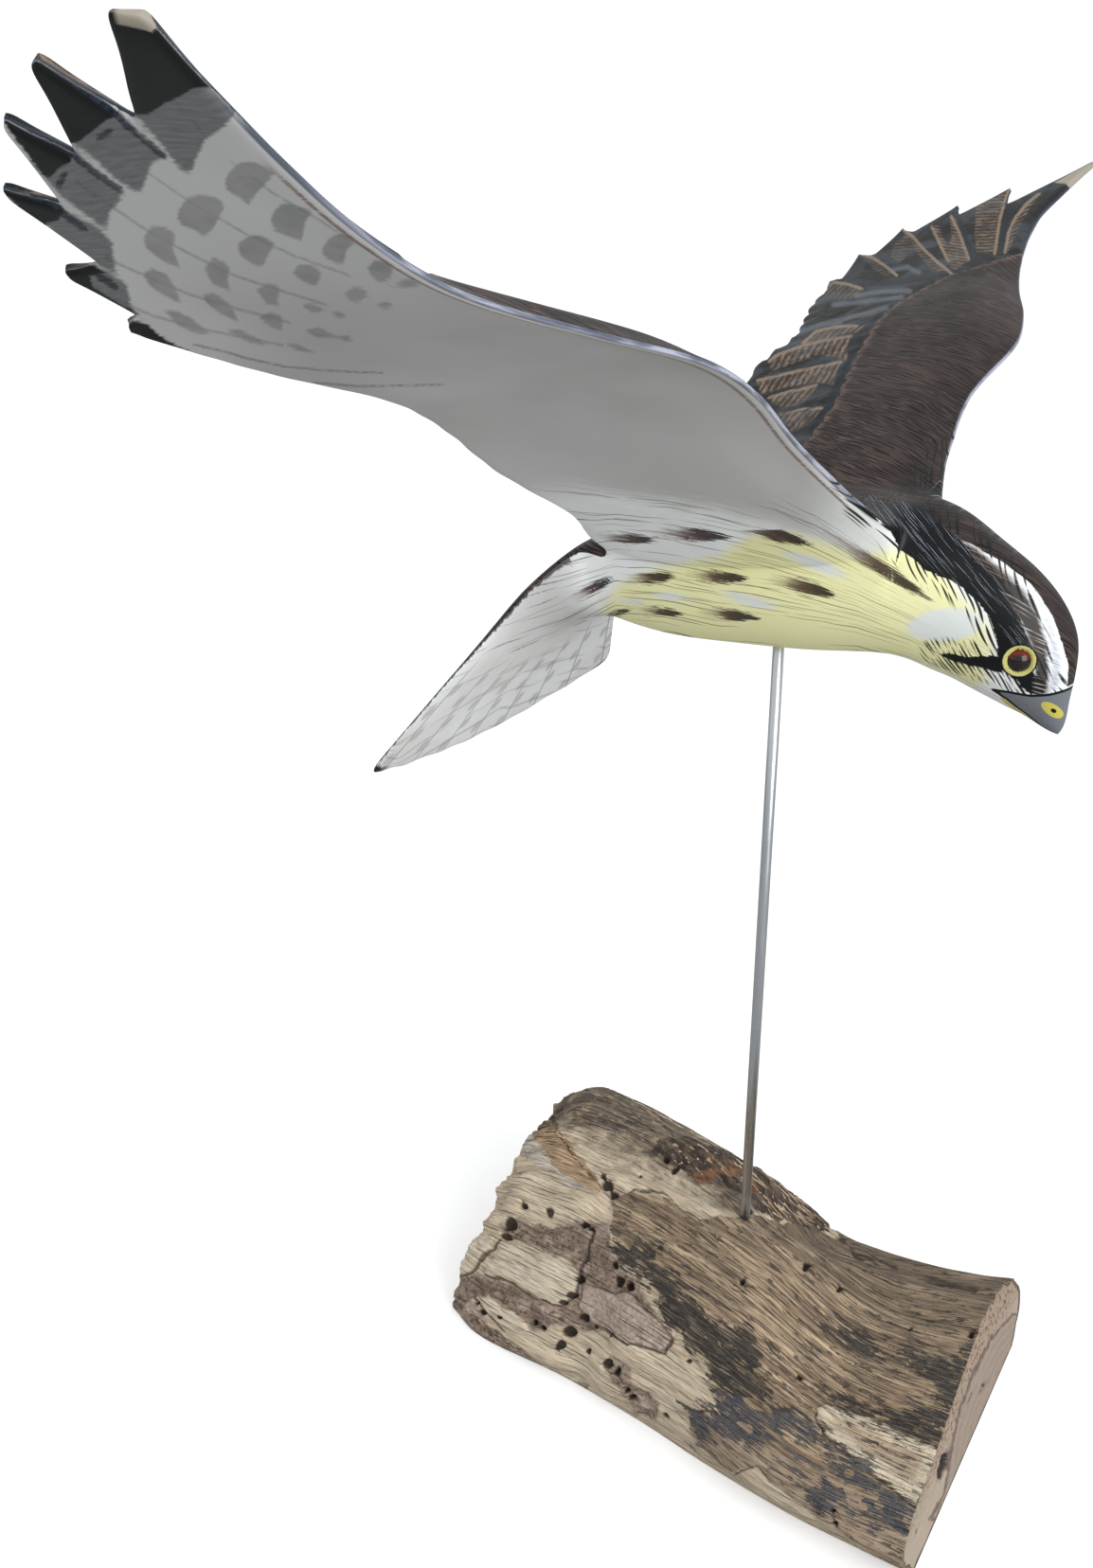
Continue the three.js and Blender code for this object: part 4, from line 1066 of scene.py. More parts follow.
BLUE_STROKES = [
    [[128, 128], [150, 145], [174, 166]], [[72, 160], [100, 182], [130, 203]],
    [[55, 214], [72, 230], [90, 242]],
    [[104, 146], [116, 140]], [[62, 196], [68, 184]], [[104, 292], [122, 303]],
    [[40, 52], [60, 74], [84, 92], [124, 122]],
    [[20, 128], [50, 146], [72, 160]], [[12, 200], [55, 214]],
]
BLACK_ENDS = [
    [
        [90, -20], [180, -20], [235, 80], [232, 92], [205, 93], [190, 102], [172, 110], [158, 121],
        [136, 121]
    ],
    [[0, 30], [60, 60], [90, 84], [128, 122], [112, 126], [100, 137], [82, 150], [40, 160]],
    [[-20, 100], [30, 130], [76, 163], [74, 172], [62, 178], [50, 190]],
    [[-20, 180], [40, 200], [70, 222], [62, 232], [40, 240]],
    [[30, 270], [100, 280], [112, 288], [94, 292], [98, 303], [128, 322], [150, 332], [60, 350]],
    [[110, 330], [155, 342], [172, 357], [205, 374], [120, 400]],
]
GREY_ENDS = [
    [
        [120, 110], [250, 80], [247, 122], [232, 138], [217, 147], [209, 163], [202, 184],
        [190, 179], [175, 158], [150, 128]
    ],
    [
        [60, 140], [128, 118], [150, 146], [176, 166], [160, 172], [148, 204], [130, 195],
        [112, 180], [96, 164]
    ],
    [[30, 170], [80, 160], [104, 186], [132, 205], [116, 224], [112, 244], [95, 230], [70, 212]],
    [[20, 200], [72, 224], [104, 240], [118, 255], [122, 290], [100, 279], [60, 250]],
    [[60, 270], [110, 284], [134, 300], [141, 334], [60, 340]],
]
under = np.where((note["wing_out"] > 60) & (note["tail_out"] < 0.01), 0.0, -50.0)
spot = np.maximum.reduce([inside(photo_view, outline) for outline in SPOTS]) * PHOTO_SCALE + under
for name, outlines in (("black_end", BLACK_ENDS), ("grey_end", GREY_ENDS)):
    marks[name] = np.maximum.reduce(
        [inside(photo_view, outline) for outline in outlines]
    ) * PHOTO_SCALE + under
for name, lines in (
    ("shaft", SHAFTS), ("edge_stroke", EDGE_STROKES), ("blue_stroke", BLUE_STROKES)
):
    marks[name] = np.minimum.reduce(
        [from_line(photo_view, line) for line in lines]
    ) * PHOTO_SCALE - under
print("spots:", len(SPOTS), "shafts:", len(SHAFTS), "dark ends:", len(BLACK_ENDS))

# %% [markdown]
# Above, the left wing is the one that shows. Its dark flight feathers carry tan vanes, hatched
# aslant, each with a light ridge in front. The hatching of a vane is a count: it grows by one from
# each stroke to the next, and the shader turns the count into strokes.

# %% Marks on top of the wings
VANES = [
    # outline, across and down step that crosses the strokes, pixels between strokes, and strength
    (
        [
            [799, 402], [820, 396], [845, 391], [870, 385], [889, 382], [883, 394], [881, 406],
            [862, 404], [835, 408], [803, 416]
        ],
        [0.87, 0.5], 5.5, 1.0
    ),
    (
        [[811, 420], [835, 413], [863, 407], [857, 417], [845, 427], [822, 430]], [0.75, 0.66], 5.0,
        0.95
    ),
    (
        [[822, 438], [845, 432], [868, 431], [860, 442], [846, 451], [836, 457]], [0.75, 0.66], 5.0,
        0.8
    ),
    (
        [
            [812, 386], [818, 376], [840, 367], [862, 361], [880, 358], [899, 355], [894, 368],
            [896, 381], [886, 379], [868, 374], [850, 379], [815, 392]
        ],
        [0.9, 0.45], 6.0, 1.0
    ),
    (
        [[846, 362], [862, 350], [882, 345], [916, 344], [911, 350], [890, 354], [862, 361]],
        [0.7, 0.7], 4.5, 0.75
    ),
    ([[870, 303], [885, 298], [910, 305], [904, 315], [868, 316]], [0.7, 0.7], 4.0, 0.5),
    (
        [
            [1030, 216], [1040, 208], [1056, 203], [1064, 198], [1062, 212], [1057, 228],
            [1054, 245], [1051, 268], [1031, 267], [1029, 245]
        ],
        [0.05, 1.0], 3.4, 0.7
    ),
    (
        [
            [984, 240], [990, 238], [996, 252], [1002, 260], [1005, 248], [1003, 234], [1004, 228],
            [1010, 232], [1014, 246], [1024, 275], [1014, 281], [1007, 288], [1001, 276], [993, 260]
        ],
        [-0.15, 1.0], 3.2, 0.95
    ),
    (
        [
            [1061, 266], [1063, 250], [1068, 236], [1077, 221], [1088, 211], [1094, 211],
            [1086, 222], [1078, 236], [1071, 250], [1065, 265]
        ],
        [0.4, 0.9], 3.4, 0.75
    ),
    (
        [
            [941, 256], [947, 246], [956, 246], [964, 250], [976, 263], [1003, 290], [985, 288],
            [965, 262], [950, 278], [941, 272]
        ],
        [0.1, 1.0], 3.2, 0.5
    ),
    ([[912, 268], [925, 272], [946, 289], [935, 292], [921, 284]], [0.3, 1.0], 3.2, 0.4),
]
RIDGES = [
    [[1066, 199], [1061, 213], [1056, 230], [1053, 250], [1050, 268]],
    [[1061, 267], [1065, 245], [1072, 230], [1084, 215], [1098, 204]],
    [[954, 243], [964, 250], [976, 264], [990, 277], [1006, 290]],
    [[908, 268], [921, 272], [935, 281], [947, 291]],
    [[870, 304], [880, 298], [895, 300], [910, 305]],
    [[812, 382], [818, 376], [850, 364], [878, 358], [899, 355]],
    [[799, 402], [845, 391], [889, 382]], [[811, 420], [835, 413], [863, 407]],
    [[822, 438], [845, 432], [868, 431]],
    [[848, 362], [862, 350], [882, 345], [905, 344]], [[1004, 228], [1013, 246], [1023, 274]],
    [[984, 240], [992, 257], [1001, 276]],
]
PALE_STREAKS = [
    [[862, 345], [885, 338], [908, 333], [936, 325]], [[845, 350], [866, 343], [888, 340]],
    [[905, 312], [930, 308], [960, 307]],
    [[880, 322], [915, 318], [952, 314]], [[940, 285], [958, 282], [970, 288]],
]
GAPS = [
    [[1067, 204], [1074, 216], [1066, 234], [1060, 264], [1053, 268], [1055, 245], [1061, 222]],
    [[1010, 222], [1016, 236], [1022, 252], [1031, 268], [1024, 274], [1018, 256], [1012, 238]],
    [
        [960, 294], [985, 290], [1012, 284], [1030, 282], [1000, 292], [980, 297], [940, 302],
        [900, 300]
    ],
    [[905, 268], [900, 276], [896, 290], [906, 286], [914, 278]],
    [[946, 246], [952, 242], [956, 250], [946, 256], [940, 268], [940, 256]],
    [
        [899, 388], [905, 360], [922, 340], [938, 329], [950, 316], [945, 312], [928, 326],
        [916, 346], [898, 357], [896, 375], [888, 392], [878, 412], [868, 432], [852, 455],
        [858, 462], [872, 440], [886, 414]
    ],
]
over = np.where(note["wing_out"] > 30, 0.0, -50.0)
vane, hatching, vane_share = np.full(
    len(places), -50.0
), np.zeros(len(places)), np.zeros(len(places))
for outline, step, pitch, strength in VANES:
    field = inside(far_view, outline) * PHOTO_SCALE
    count = (far_view @ np.array(step)) / pitch
    hatching, vane_share = np.where(field > vane, count, hatching), np.where(
        field > vane, strength, vane_share
    )
    vane = np.maximum(vane, field)
marks["vane"] = vane + over
marks["gap"] = np.maximum.reduce(
    [inside(far_view, outline) for outline in GAPS]
) * PHOTO_SCALE + over
for name, lines in (("ridge", RIDGES), ("pale_streak", PALE_STREAKS)):
    marks[name] = np.minimum.reduce(
        [from_line(far_view, line) for line in lines]
    ) * PHOTO_SCALE - over
write_field(skin, "hatching", hatching)
write_field(skin, "vane_share", vane_share)
print("vanes:", len(VANES), "ridges:", len(RIDGES))

# %% [markdown]
# The painted hairs of the flank run between two lines: the line of the belly and a line high on the
# root of the wing. A hair keeps its share of the way between the two, so the hairs spread where the
# lines spread and crowd where they come together, at the throat and towards the tail.

# %% The way of the hairs, and spots of the tail
HAIR_TOP = np.array([
    [420, 505], [560, 520], [700, 534], [760, 544], [820, 560], [860, 576], [900, 597], [940, 618],
    [980, 640], [1020, 664], [1060, 690], [1100, 720],
])
HAIR_FOOT = np.array([
    [420, 792], [520, 735], [600, 690], [650, 657], [700, 662], [760, 675], [850, 683], [905, 686],
    [960, 700], [1010, 720], [1060, 745], [1110, 775],
])
HAIR_REACH, HAIR_STRETCH = 40.0, 1.08
TAIL_SPOT_SHARES, TAIL_SPOT_LENGTH, TAIL_SPOT_WIDTH = [0.6, 0.7, 0.8, 0.9], 3.9, 2.3
TAIL_LANE = 18

top_line = np.interp(photo_view[:, 0], HAIR_TOP[:, 0], HAIR_TOP[:, 1])
foot_line = np.interp(photo_view[:, 0], HAIR_FOOT[:, 0], HAIR_FOOT[:, 1])
write_field(skin, "hair_along", photo_view[:, 0] * PHOTO_SCALE * HAIR_STRETCH)
write_field(
    skin, "hair_across", (photo_view[:, 1] - top_line) / (foot_line - top_line) * HAIR_REACH
)
tail_length = TAIL_RADIUS - TAIL_ROOT_ALONG
tail_view = np.stack([note["tail_out"] * tail_length, note["tail_lane"] * TAIL_LANE], axis=1)
for i in range(TAIL_FEATHERS):
    for k, share in enumerate(TAIL_SPOT_SHARES):
        spot_along = (share + 0.04 * (i % 2)) * tail_length
        middle = np.array([spot_along, (i + 0.28 + 0.3 * (k % 2)) * TAIL_LANE])
        oval = in_oval(tail_view, middle, TAIL_SPOT_LENGTH, TAIL_SPOT_WIDTH, middle + [1, 0.2])
        spot = np.maximum(spot, np.where(note["tail_out"] > 0.05, oval, -50.0))
marks.update({"back": back, "spot": spot, "covert": covert})
for name, field in marks.items():
    write_field(skin, name, field)
print("fields on the skin:", len(skin.attributes))

# %% [markdown]
# The log is a length of driftwood, sawn at one end and broken at the other. Its shape comes from
# seven outlines measured across it, each a list of corners from the near foot over the top to the
# far foot. Smooth curves through the corners, first along the log and then round it, give as many
# points as the surface needs.

# %% Skin of the log
LOG_OUTLINES = {
    # distance along: corners as [left, up], right foot first
    -111: [
        [-50, 0], [-51, 5], [-42, 15], [-29, 24], [-14, 33], [6, 44.5], [33, 51.5], [54, 46],
        [70, 28], [74, 0]
    ],
    -90: [
        [-58.5, 0], [-59.5, 7], [-50, 19], [-36, 32], [-17, 45], [8, 58], [33, 67.5], [53, 57],
        [69, 30], [75, 0]
    ],
    -50: [
        [-60, 0], [-63, 9], [-57, 25], [-44, 40], [-25, 53], [0, 62.5], [24, 68.5], [48, 54],
        [70, 26], [77, 0]
    ],
    -12: [
        [-65, 0], [-68, 12], [-64, 29], [-51, 45], [-30, 56], [-5, 61.5], [22, 58.5], [47, 45],
        [70, 22], [78, 0]
    ],
    20: [
        [-71, 0], [-75, 13], [-70, 31], [-55, 45], [-32, 56], [-7, 57], [16, 43], [43, 30],
        [66, 11], [73, 0]
    ],
    58: [
        [-76, 0], [-84, 13], [-76, 26], [-56, 35], [-28, 42], [2, 43], [26, 38], [48, 25.5],
        [61, 12], [58, 0]
    ],
    95: [
        [-77, 0], [-86, 14], [-76, 23], [-52, 29], [-24, 37], [8, 43.5], [32, 40.5], [54, 29],
        [62, 14], [51, 0]
    ],
}
LOG_RINGS, LOG_OVER, LOG_UNDER = 271, 224, 26
LOG_CUT_LEAN, LOG_CUT_HEIGHT = 5.0, 50.0
LOG_CUT_TURN, LOG_CUT_HALF_WIDTH = 1.0, 76.0

outlines = [np.array(corners, float) for corners in LOG_OUTLINES.values()]
ring_x = [float(x) for x in LOG_OUTLINES]
rings = np.zeros((LOG_RINGS, LOG_OVER + LOG_UNDER, 3))
for i, share in enumerate(np.linspace(0, 1, LOG_RINGS)):
    at = share * (len(outlines) - 1)
    corners = through(outlines, at)
    over = np.array([through(corners, t) for t in np.linspace(0, len(corners) - 1, LOG_OVER)])
    over[1:-1, 1] = np.maximum(over[1:-1, 1], 0.6)
    over[[0, -1], 1] = 0
    under = lerp(over[-1], over[0], (np.arange(LOG_UNDER)[:, None] + 1) / (LOG_UNDER + 1))
    ring = np.concatenate([over, under])
    lean = (
        LOG_CUT_LEAN * (1 - ring[:, 1] / LOG_CUT_HEIGHT)
        + LOG_CUT_TURN * ring[:, 0] / LOG_CUT_HALF_WIDTH
    )
    rings[i] = np.stack(
        [through(ring_x, at) + lean * smoothstep(share, 0.8, 1), ring[:, 0], ring[:, 1]], axis=1
    )
steps = np.linalg.norm(np.diff(rings, axis=1, prepend=rings[:, :1])[:, :, 1:], axis=2)
log_round = np.cumsum(steps, axis=1)
log_x = rings[:, :, 0].copy()
print("log skin:", rings.shape[0] * rings.shape[1], "points")

# %% [markdown]
# Weather, beetles and the sea have worked on the log. The right part keeps a hard shell of old
# wood. The left part has lost it and shows pale wood, a raised panel, crusts and borings. Like the
# flames, these patches are outlines in the photograph's own pixels, looked up for every point of
# the log that the camera can see. Behind, where it can't, the same kinds of wear are left to
# chance.

# %% Patches of the log
SHELL = [
    [645, 1268], [672, 1257], [706, 1268], [740, 1285], [792, 1284], [850, 1296], [880, 1308],
    [1110, 1330], [1110, 1700], [985, 1680], [905, 1632], [866, 1606], [836, 1586], [815, 1567],
    [800, 1549], [776, 1554], [758, 1547], [740, 1529], [728, 1508], [721, 1486], [740, 1492],
    [757, 1490], [755, 1470], [742, 1441], [727, 1422], [703, 1397], [694, 1366], [684, 1353],
    [655, 1337], [650, 1318], [644, 1297],
]
PANEL = [
    [527, 1311], [548, 1316], [570, 1322], [592, 1330], [603, 1348], [601, 1362], [591, 1377],
    [575, 1372], [552, 1360], [531, 1350], [511, 1344], [521, 1331],
]
LOW_PANEL = [
    [505, 1366], [521, 1374], [540, 1384], [552, 1395], [561, 1405], [556, 1411], [541, 1406],
    [527, 1397], [514, 1384]
]
LEFT_STRIP = [[500, 1295], [524, 1303], [512, 1325], [496, 1341], [470, 1345], [480, 1315]]
TONGUE = [
    [611, 1352], [640, 1362], [667, 1366], [684, 1382], [697, 1394], [706, 1410], [704, 1421],
    [696, 1428], [680, 1422], [664, 1421], [650, 1412], [632, 1402], [616, 1395], [606, 1378],
]
CRUST = [
    [460, 1346], [500, 1345], [531, 1352], [560, 1367], [591, 1379], [604, 1362], [606, 1346],
    [594, 1328], [560, 1314], [530, 1305], [524, 1290], [545, 1284], [580, 1292], [612, 1287],
    [640, 1290], [646, 1310], [650, 1330], [668, 1352], [690, 1378], [706, 1408], [700, 1428],
    [664, 1422], [632, 1404], [607, 1408], [588, 1400], [565, 1409], [550, 1396], [536, 1384],
    [512, 1368], [495, 1372], [510, 1395], [528, 1412], [560, 1432], [600, 1455], [625, 1466],
    [600, 1480], [540, 1450], [480, 1420], [450, 1380],
]
LOW_CRUST = [
    [648, 1430], [665, 1445], [668, 1460], [685, 1470], [695, 1485], [690, 1502], [672, 1496],
    [655, 1470], [640, 1445]
]
SHELF = [
    [510, 1262], [535, 1225], [556, 1208], [600, 1240], [640, 1262], [628, 1275], [618, 1290],
    [590, 1290], [560, 1272], [540, 1270],
]
SPLINTERS = [
    [578, 1170], [592, 1190], [606, 1212], [622, 1232], [637, 1256], [634, 1263], [612, 1252],
    [590, 1238], [570, 1212], [560, 1190]
]
WHITE_SPLINTERS = [
    [556, 1190], [571, 1213], [590, 1238], [612, 1251], [640, 1266], [604, 1254], [580, 1236],
    [560, 1228], [545, 1208]
]
BOARD = [
    [862, 1487], [873, 1483], [895, 1489], [925, 1497], [950, 1512], [990, 1533], [980, 1560],
    [968, 1594], [950, 1576], [930, 1561], [905, 1546], [887, 1528], [868, 1513], [861, 1500],
]
BARK_STRIP = [
    [690, 1212], [700, 1203], [722, 1206], [752, 1215], [782, 1222], [800, 1230], [830, 1250],
    [856, 1270], [880, 1300], [862, 1303], [832, 1291], [805, 1283], [795, 1268], [775, 1262],
    [748, 1250], [722, 1240], [704, 1226],
]
BLACK_PATCHES = [
    [
        [651, 1314], [675, 1310], [694, 1318], [690, 1330], [706, 1343], [716, 1345], [724, 1362],
        [738, 1380], [745, 1392], [765, 1402], [792, 1406], [806, 1425], [806, 1446], [797, 1457],
        [812, 1472], [806, 1490], [830, 1492], [858, 1504], [870, 1515], [860, 1525], [838, 1514],
        [812, 1508], [808, 1519], [791, 1529], [768, 1520], [749, 1512], [742, 1527], [728, 1508],
        [721, 1486], [757, 1490], [755, 1470], [742, 1441], [727, 1422], [703, 1397], [694, 1366],
        [684, 1353], [655, 1337]
    ],
    [
        [868, 1399], [884, 1396], [908, 1400], [924, 1412], [936, 1434], [916, 1436], [898, 1428],
        [880, 1416]
    ],
    [
        [872, 1478], [886, 1470], [905, 1478], [922, 1490], [940, 1498], [955, 1488], [978, 1487],
        [990, 1480], [985, 1462], [962, 1440], [950, 1430], [965, 1422], [1000, 1440], [1030, 1420],
        [1022, 1450], [1014, 1475], [1000, 1510], [988, 1532], [966, 1520], [940, 1512],
        [915, 1498], [893, 1489]
    ],
    [
        [842, 1566], [866, 1570], [879, 1558], [878, 1531], [890, 1534], [906, 1548], [928, 1561],
        [948, 1577], [964, 1594], [958, 1612], [942, 1617], [926, 1610], [908, 1597], [886, 1590],
        [872, 1600], [853, 1590]
    ],
]
SLATE = [
    [715, 1480], [760, 1466], [800, 1486], [872, 1506], [872, 1526], [970, 1560], [980, 1630],
    [835, 1612], [710, 1545]
]
BARE_CELLS = [
    # across, down, half length, half width
    [883, 1566, 9, 5], [896, 1557, 6, 4.5], [903, 1577, 11, 7], [920, 1580, 7, 5.5],
    [905, 1590, 11, 4], [934, 1571, 5, 4], [813, 1438, 8, 8], [797, 1484, 13, 5], [928, 1590, 4, 3],
    [786, 1507, 8, 5], [803, 1450, 6, 4], [699, 1327, 8, 5],
]
CRACKS = [
    [[645, 1268], [672, 1257], [700, 1262], [722, 1276], [738, 1284], [742, 1298]],
    [
        [862, 1486], [861, 1500], [868, 1514], [888, 1530], [906, 1547], [931, 1562], [950, 1577],
        [964, 1593]
    ],
    [[884, 1306], [905, 1325], [925, 1337]], [[905, 1318], [950, 1340], [990, 1352], [1030, 1362]],
    [[578, 1172], [600, 1212], [622, 1240], [641, 1262]],
    [[527, 1306], [512, 1326], [496, 1343], [478, 1352]],
    [[606, 1344], [603, 1362], [592, 1379], [560, 1368], [531, 1352], [511, 1346]],
    [[706, 1412], [700, 1429], [680, 1424], [664, 1422], [650, 1413], [632, 1403]],
    [[876, 1594], [884, 1616]], [[776, 1556], [800, 1548], [813, 1565]],
    [[757, 1491], [740, 1493], [722, 1486]],
    [[618, 1291], [628, 1302], [612, 1330], [607, 1346]], [[498, 1368], [515, 1390], [532, 1408]],
]
BORINGS = [
    # across, down, radius, and depth in mm
    [554, 1272, 4, 3], [579, 1277, 5, 1.6], [650, 1351, 6, 4], [662, 1357, 6, 4],
    [649, 1333, 5, 2.5], [617, 1292, 4.5, 2.5], [625, 1300, 3.2, 1.8], [606, 1349, 4.5, 2.5],
    [599, 1364, 4.5, 2.5], [593, 1374, 3.8, 2], [529, 1391, 2.6, 2], [508, 1386, 4, 3],
    [501, 1377, 3.5, 3], [563, 1399, 4, 3], [571, 1404, 3.5, 3], [597, 1408, 7, 3.4],
    [588, 1422, 5.5, 2.2], [617, 1431, 3.8, 2], [642, 1440, 6, 2.8], [652, 1450, 5, 2],
    [638, 1409, 2.6, 1.6], [697, 1498, 4.6, 3], [667, 1478, 3.6, 2.2], [661, 1469, 3, 2],
    [724, 1436, 3.4, 1.2], [611, 1390, 5, 2.2], [620, 1400, 3, 1.4], [641, 1250, 7, 3.2],
    [647, 1260, 6, 3], [636, 1241, 4, 2.4], [676, 1240, 3.4, 1.6], [702, 1222, 4, 2.2],
    [711, 1234, 4.4, 2.2], [783, 1352, 3.6, 2.2], [535, 1290, 7, 2.2], [530, 1301, 4, 2],
    [852, 1338, 4.6, 2.6], [885, 1364, 3.2, 1.8], [843, 1455, 3.8, 2], [961, 1404, 2.8, 1.4],
    [1026, 1411, 5, 2.4], [878, 1597, 3.2, 1.8], [881, 1612, 3.8, 1.8], [787, 1279, 7, 1.4],
]
ORANGE_BARK = [np.array([760.0, 1243.0]), 36, 14, [800, 1260]]
LOG_SCALE = 0.36
print(
    "outlines:", len(BLACK_PATCHES), "black patches,", len(BORINGS), "borings,", len(CRACKS),
    "cracks"
)

# %% [markdown]
# Chance is kept in a table with a fixed seed, so the log comes out the same each time. A place on
# the log is told by the distance along it and the distance round it from the near foot, and the
# outlines are made wavy with the same chance before they are looked up.

# %% Fields of the log
table = np.random.default_rng(7).random((64, 64)) * 2 - 1


def drift(u, v, shift=0):
    """Smooth chance between -1 and 1 that changes about once in each unit of u and v."""
    u, v = u + 13.7 * shift, v + 5.3 * shift
    i, j = np.floor(u).astype(int), np.floor(v).astype(int)
    f, g = u - i, v - j
    f, g = f * f * (3 - 2 * f), g * g * (3 - 2 * g)
    a, b = table[i % 64, j % 64], table[(i + 1) % 64, j % 64]
    c, d = table[i % 64, (j + 1) % 64], table[(i + 1) % 64, (j + 1) % 64]
    return a + (b - a) * f + (c - a) * g + (a - b - c + d) * f * g


def rough(u, v, shift=0, layers=4):
    return sum(drift(u * 2**k, v * 2**k, shift + k) / 2**k for k in range(layers))


girths = log_round[:, LOG_OVER - 1]
along = log_x.ravel()
around = (log_round / girths[:, None] * girths.mean()).ravel()
left = rings[:, :, 1].ravel()
normals = np.cross(np.gradient(rings, axis=0), np.gradient(rings, axis=1)).reshape(-1, 3)
normals /= np.linalg.norm(normals, axis=1)[:, None]
to_camera = np.array(CAMERA_PLACE) / MM - rings.reshape(-1, 3)
to_camera /= np.linalg.norm(to_camera, axis=1)[:, None]
hidden = 1 - smoothstep((normals * to_camera).sum(axis=1), -0.06, 0.04)
wave = np.stack([rough(along / 7, around / 5, 3), rough(along / 7, around / 5, 8)], axis=1)
log_photo = seen(rings.reshape(-1, 3)) + wave * 2.2


def log_patch_field(*outlines, behind=-30.0):
    field = np.maximum.reduce([inside(log_photo, outline) for outline in outlines]) * LOG_SCALE
    return lerp(field, behind, hidden)


patch = {"shell": log_patch_field(SHELL, behind=6.0)}
for name, outlines in {
    "panel": [PANEL, LOW_PANEL, LEFT_STRIP], "tongue": [TONGUE], "crust": [CRUST, LOW_CRUST],
    "shelf": [SHELF], "splinters": [SPLINTERS], "white": [WHITE_SPLINTERS], "board": [BOARD],
    "bark": [BARK_STRIP], "black": BLACK_PATCHES, "slate": [SLATE],
}.items():
    patch[name] = log_patch_field(*outlines)
cells = [
    in_oval(log_photo, np.array([x, y]), a, b, [x + 10, y + 4.4]) for x, y, a, b in BARE_CELLS
]
patch["orange"] = lerp(in_oval(log_photo, *ORANGE_BARK) * LOG_SCALE, -30.0, hidden)
patch["cell"] = lerp(np.maximum.reduce(cells) * LOG_SCALE, -30.0, hidden)
crack = lerp(
    np.minimum.reduce([from_line(log_photo, line) for line in CRACKS]) * LOG_SCALE, 30.0, hidden
)
patch["crack"] = crack
pit = np.zeros(len(along))
pit_depth = np.zeros(len(along))
for x, y, radius, depth in BORINGS:
    far = np.hypot(log_photo[:, 0] - x, log_photo[:, 1] - y)
    hole = (1 - smoothstep(far, radius * 0.55, radius * 1.2)) * (1 - hidden)
    pit = np.maximum(pit, hole)
    pit_depth = np.maximum(pit_depth, hole * depth)
print("patches:", ", ".join(patch))

# %% [markdown]
# The height of the surface is a sum, like the layers of wear itself: the large swells of the log,
# the fibres, the edge of the shell, the lumps of crust and the borings. It is laid on along the
# normals, and fades out at the flat underside, where the log stands.

# %% Relief of the log
LOG_SWELLS = [
    # along, left, reach along, reach across, height
    [-84, -32, 15, 11, -3.2], [-70, 2, 14, 5, -3], [-52, -44, 13, 10, -2.6], [-98, -14, 7, 8, 2.4],
    [-62, -16, 9, 7, 2.6], [-28, 24, 26, 8, 2.6], [38, 24, 22, 6, -2.4], [14, -64, 24, 7, -2],
    [72, -50, 22, 9, -1.8], [-40, -58, 11, 7, -3.4],
]
SHELL_EDGE, PANEL_HEIGHT, TONGUE_HEIGHT, BOARD_HEIGHT, SHELF_HEIGHT = 0.9, 1.6, 1.0, 1.0, 1.5
PANEL_DITCH, BOARD_FALL, SOFT_LUMPS, CRUST_LUMPS = 1.0, 0.35, 0.7, 1.6
SPLINTER_HEIGHT, SPLINTER_FIBRES, CRACK_DEPTH, WORN_LUMPS = 1.0, 0.55, 0.9, 1.2

height = 0.7 * np.sin(left * 0.55 + 1.3 * np.sin(along * 0.045))
height += 0.5 * np.sin(left * 0.23 + along * 0.07)
for x, y, reach_x, reach_y, tall in LOG_SWELLS:
    far = ((along - x) / reach_x) ** 2 + ((left - y) / reach_y) ** 2
    height += tall * np.exp(-far * far)
soft = 1 - smoothstep(patch["shell"], -1, 1)
flat = smoothstep(np.maximum(patch["panel"], patch["board"]), 0, 1.5)
tongue = smoothstep(patch["tongue"], -0.3, 0.5)
crusty = (
    smoothstep(patch["crust"], -0.5, 2) * (1 - smoothstep(patch["panel"], -0.5, 0.5))
    * (1 - 0.75 * tongue)
)
height += 0.30 * drift(along / 30, around / 2.4, 1) + 0.22 * drift(along / 14, around / 1.6, 2)
height += SHELL_EDGE * smoothstep(patch["shell"], -0.25, 0.5) - 0.5
height += soft * (1 - flat) * SOFT_LUMPS * rough(along / 16, around / 9, 5)
lumps = CRUST_LUMPS * rough(along / 4.5, around / 3.5, 9)
height += crusty * (lumps - 0.5 + 0.5 * np.abs(rough(along / 3, around / 3, 15)))
height += PANEL_HEIGHT * smoothstep(patch["panel"], -0.3, 0.5)
height -= PANEL_DITCH * smoothstep(patch["panel"], -3.5, -0.4) * crusty
height += TONGUE_HEIGHT * tongue
height += BOARD_HEIGHT * smoothstep(patch["board"], -0.25, 0.4)
height -= BOARD_FALL * smoothstep(patch["board"], 1, 8)
height += SHELF_HEIGHT * smoothstep(patch["shelf"], -0.4, 1.2) * soft
fan = drift((along + around) / 14, (around - 0.45 * along) / 1.3, 4)
height += SPLINTER_HEIGHT * smoothstep(patch["splinters"], -0.4, 0.8)
height += smoothstep(patch["splinters"], -0.5, 1) * SPLINTER_FIBRES * fan
height += smoothstep(patch["white"], -0.5, 0.5) * (0.5 + 0.5 * fan)
plates = drift((along + 0.8 * around) / 6, (around - along) / 2.8, 6)
height += (
    smoothstep(patch["bark"], -1, 2)
    * (0.4 + 0.9 * smoothstep(np.abs(plates), 0.05, 0.2) + 0.5 * plates)
)
height -= (
    CRACK_DEPTH * (1 - smoothstep(crack, 0.15, 0.9))
    * (0.6 + 0.6 * drift(along / 5, around / 5, 17))
)
height -= pit_depth
worn_edge = smoothstep(along, -108, -96)
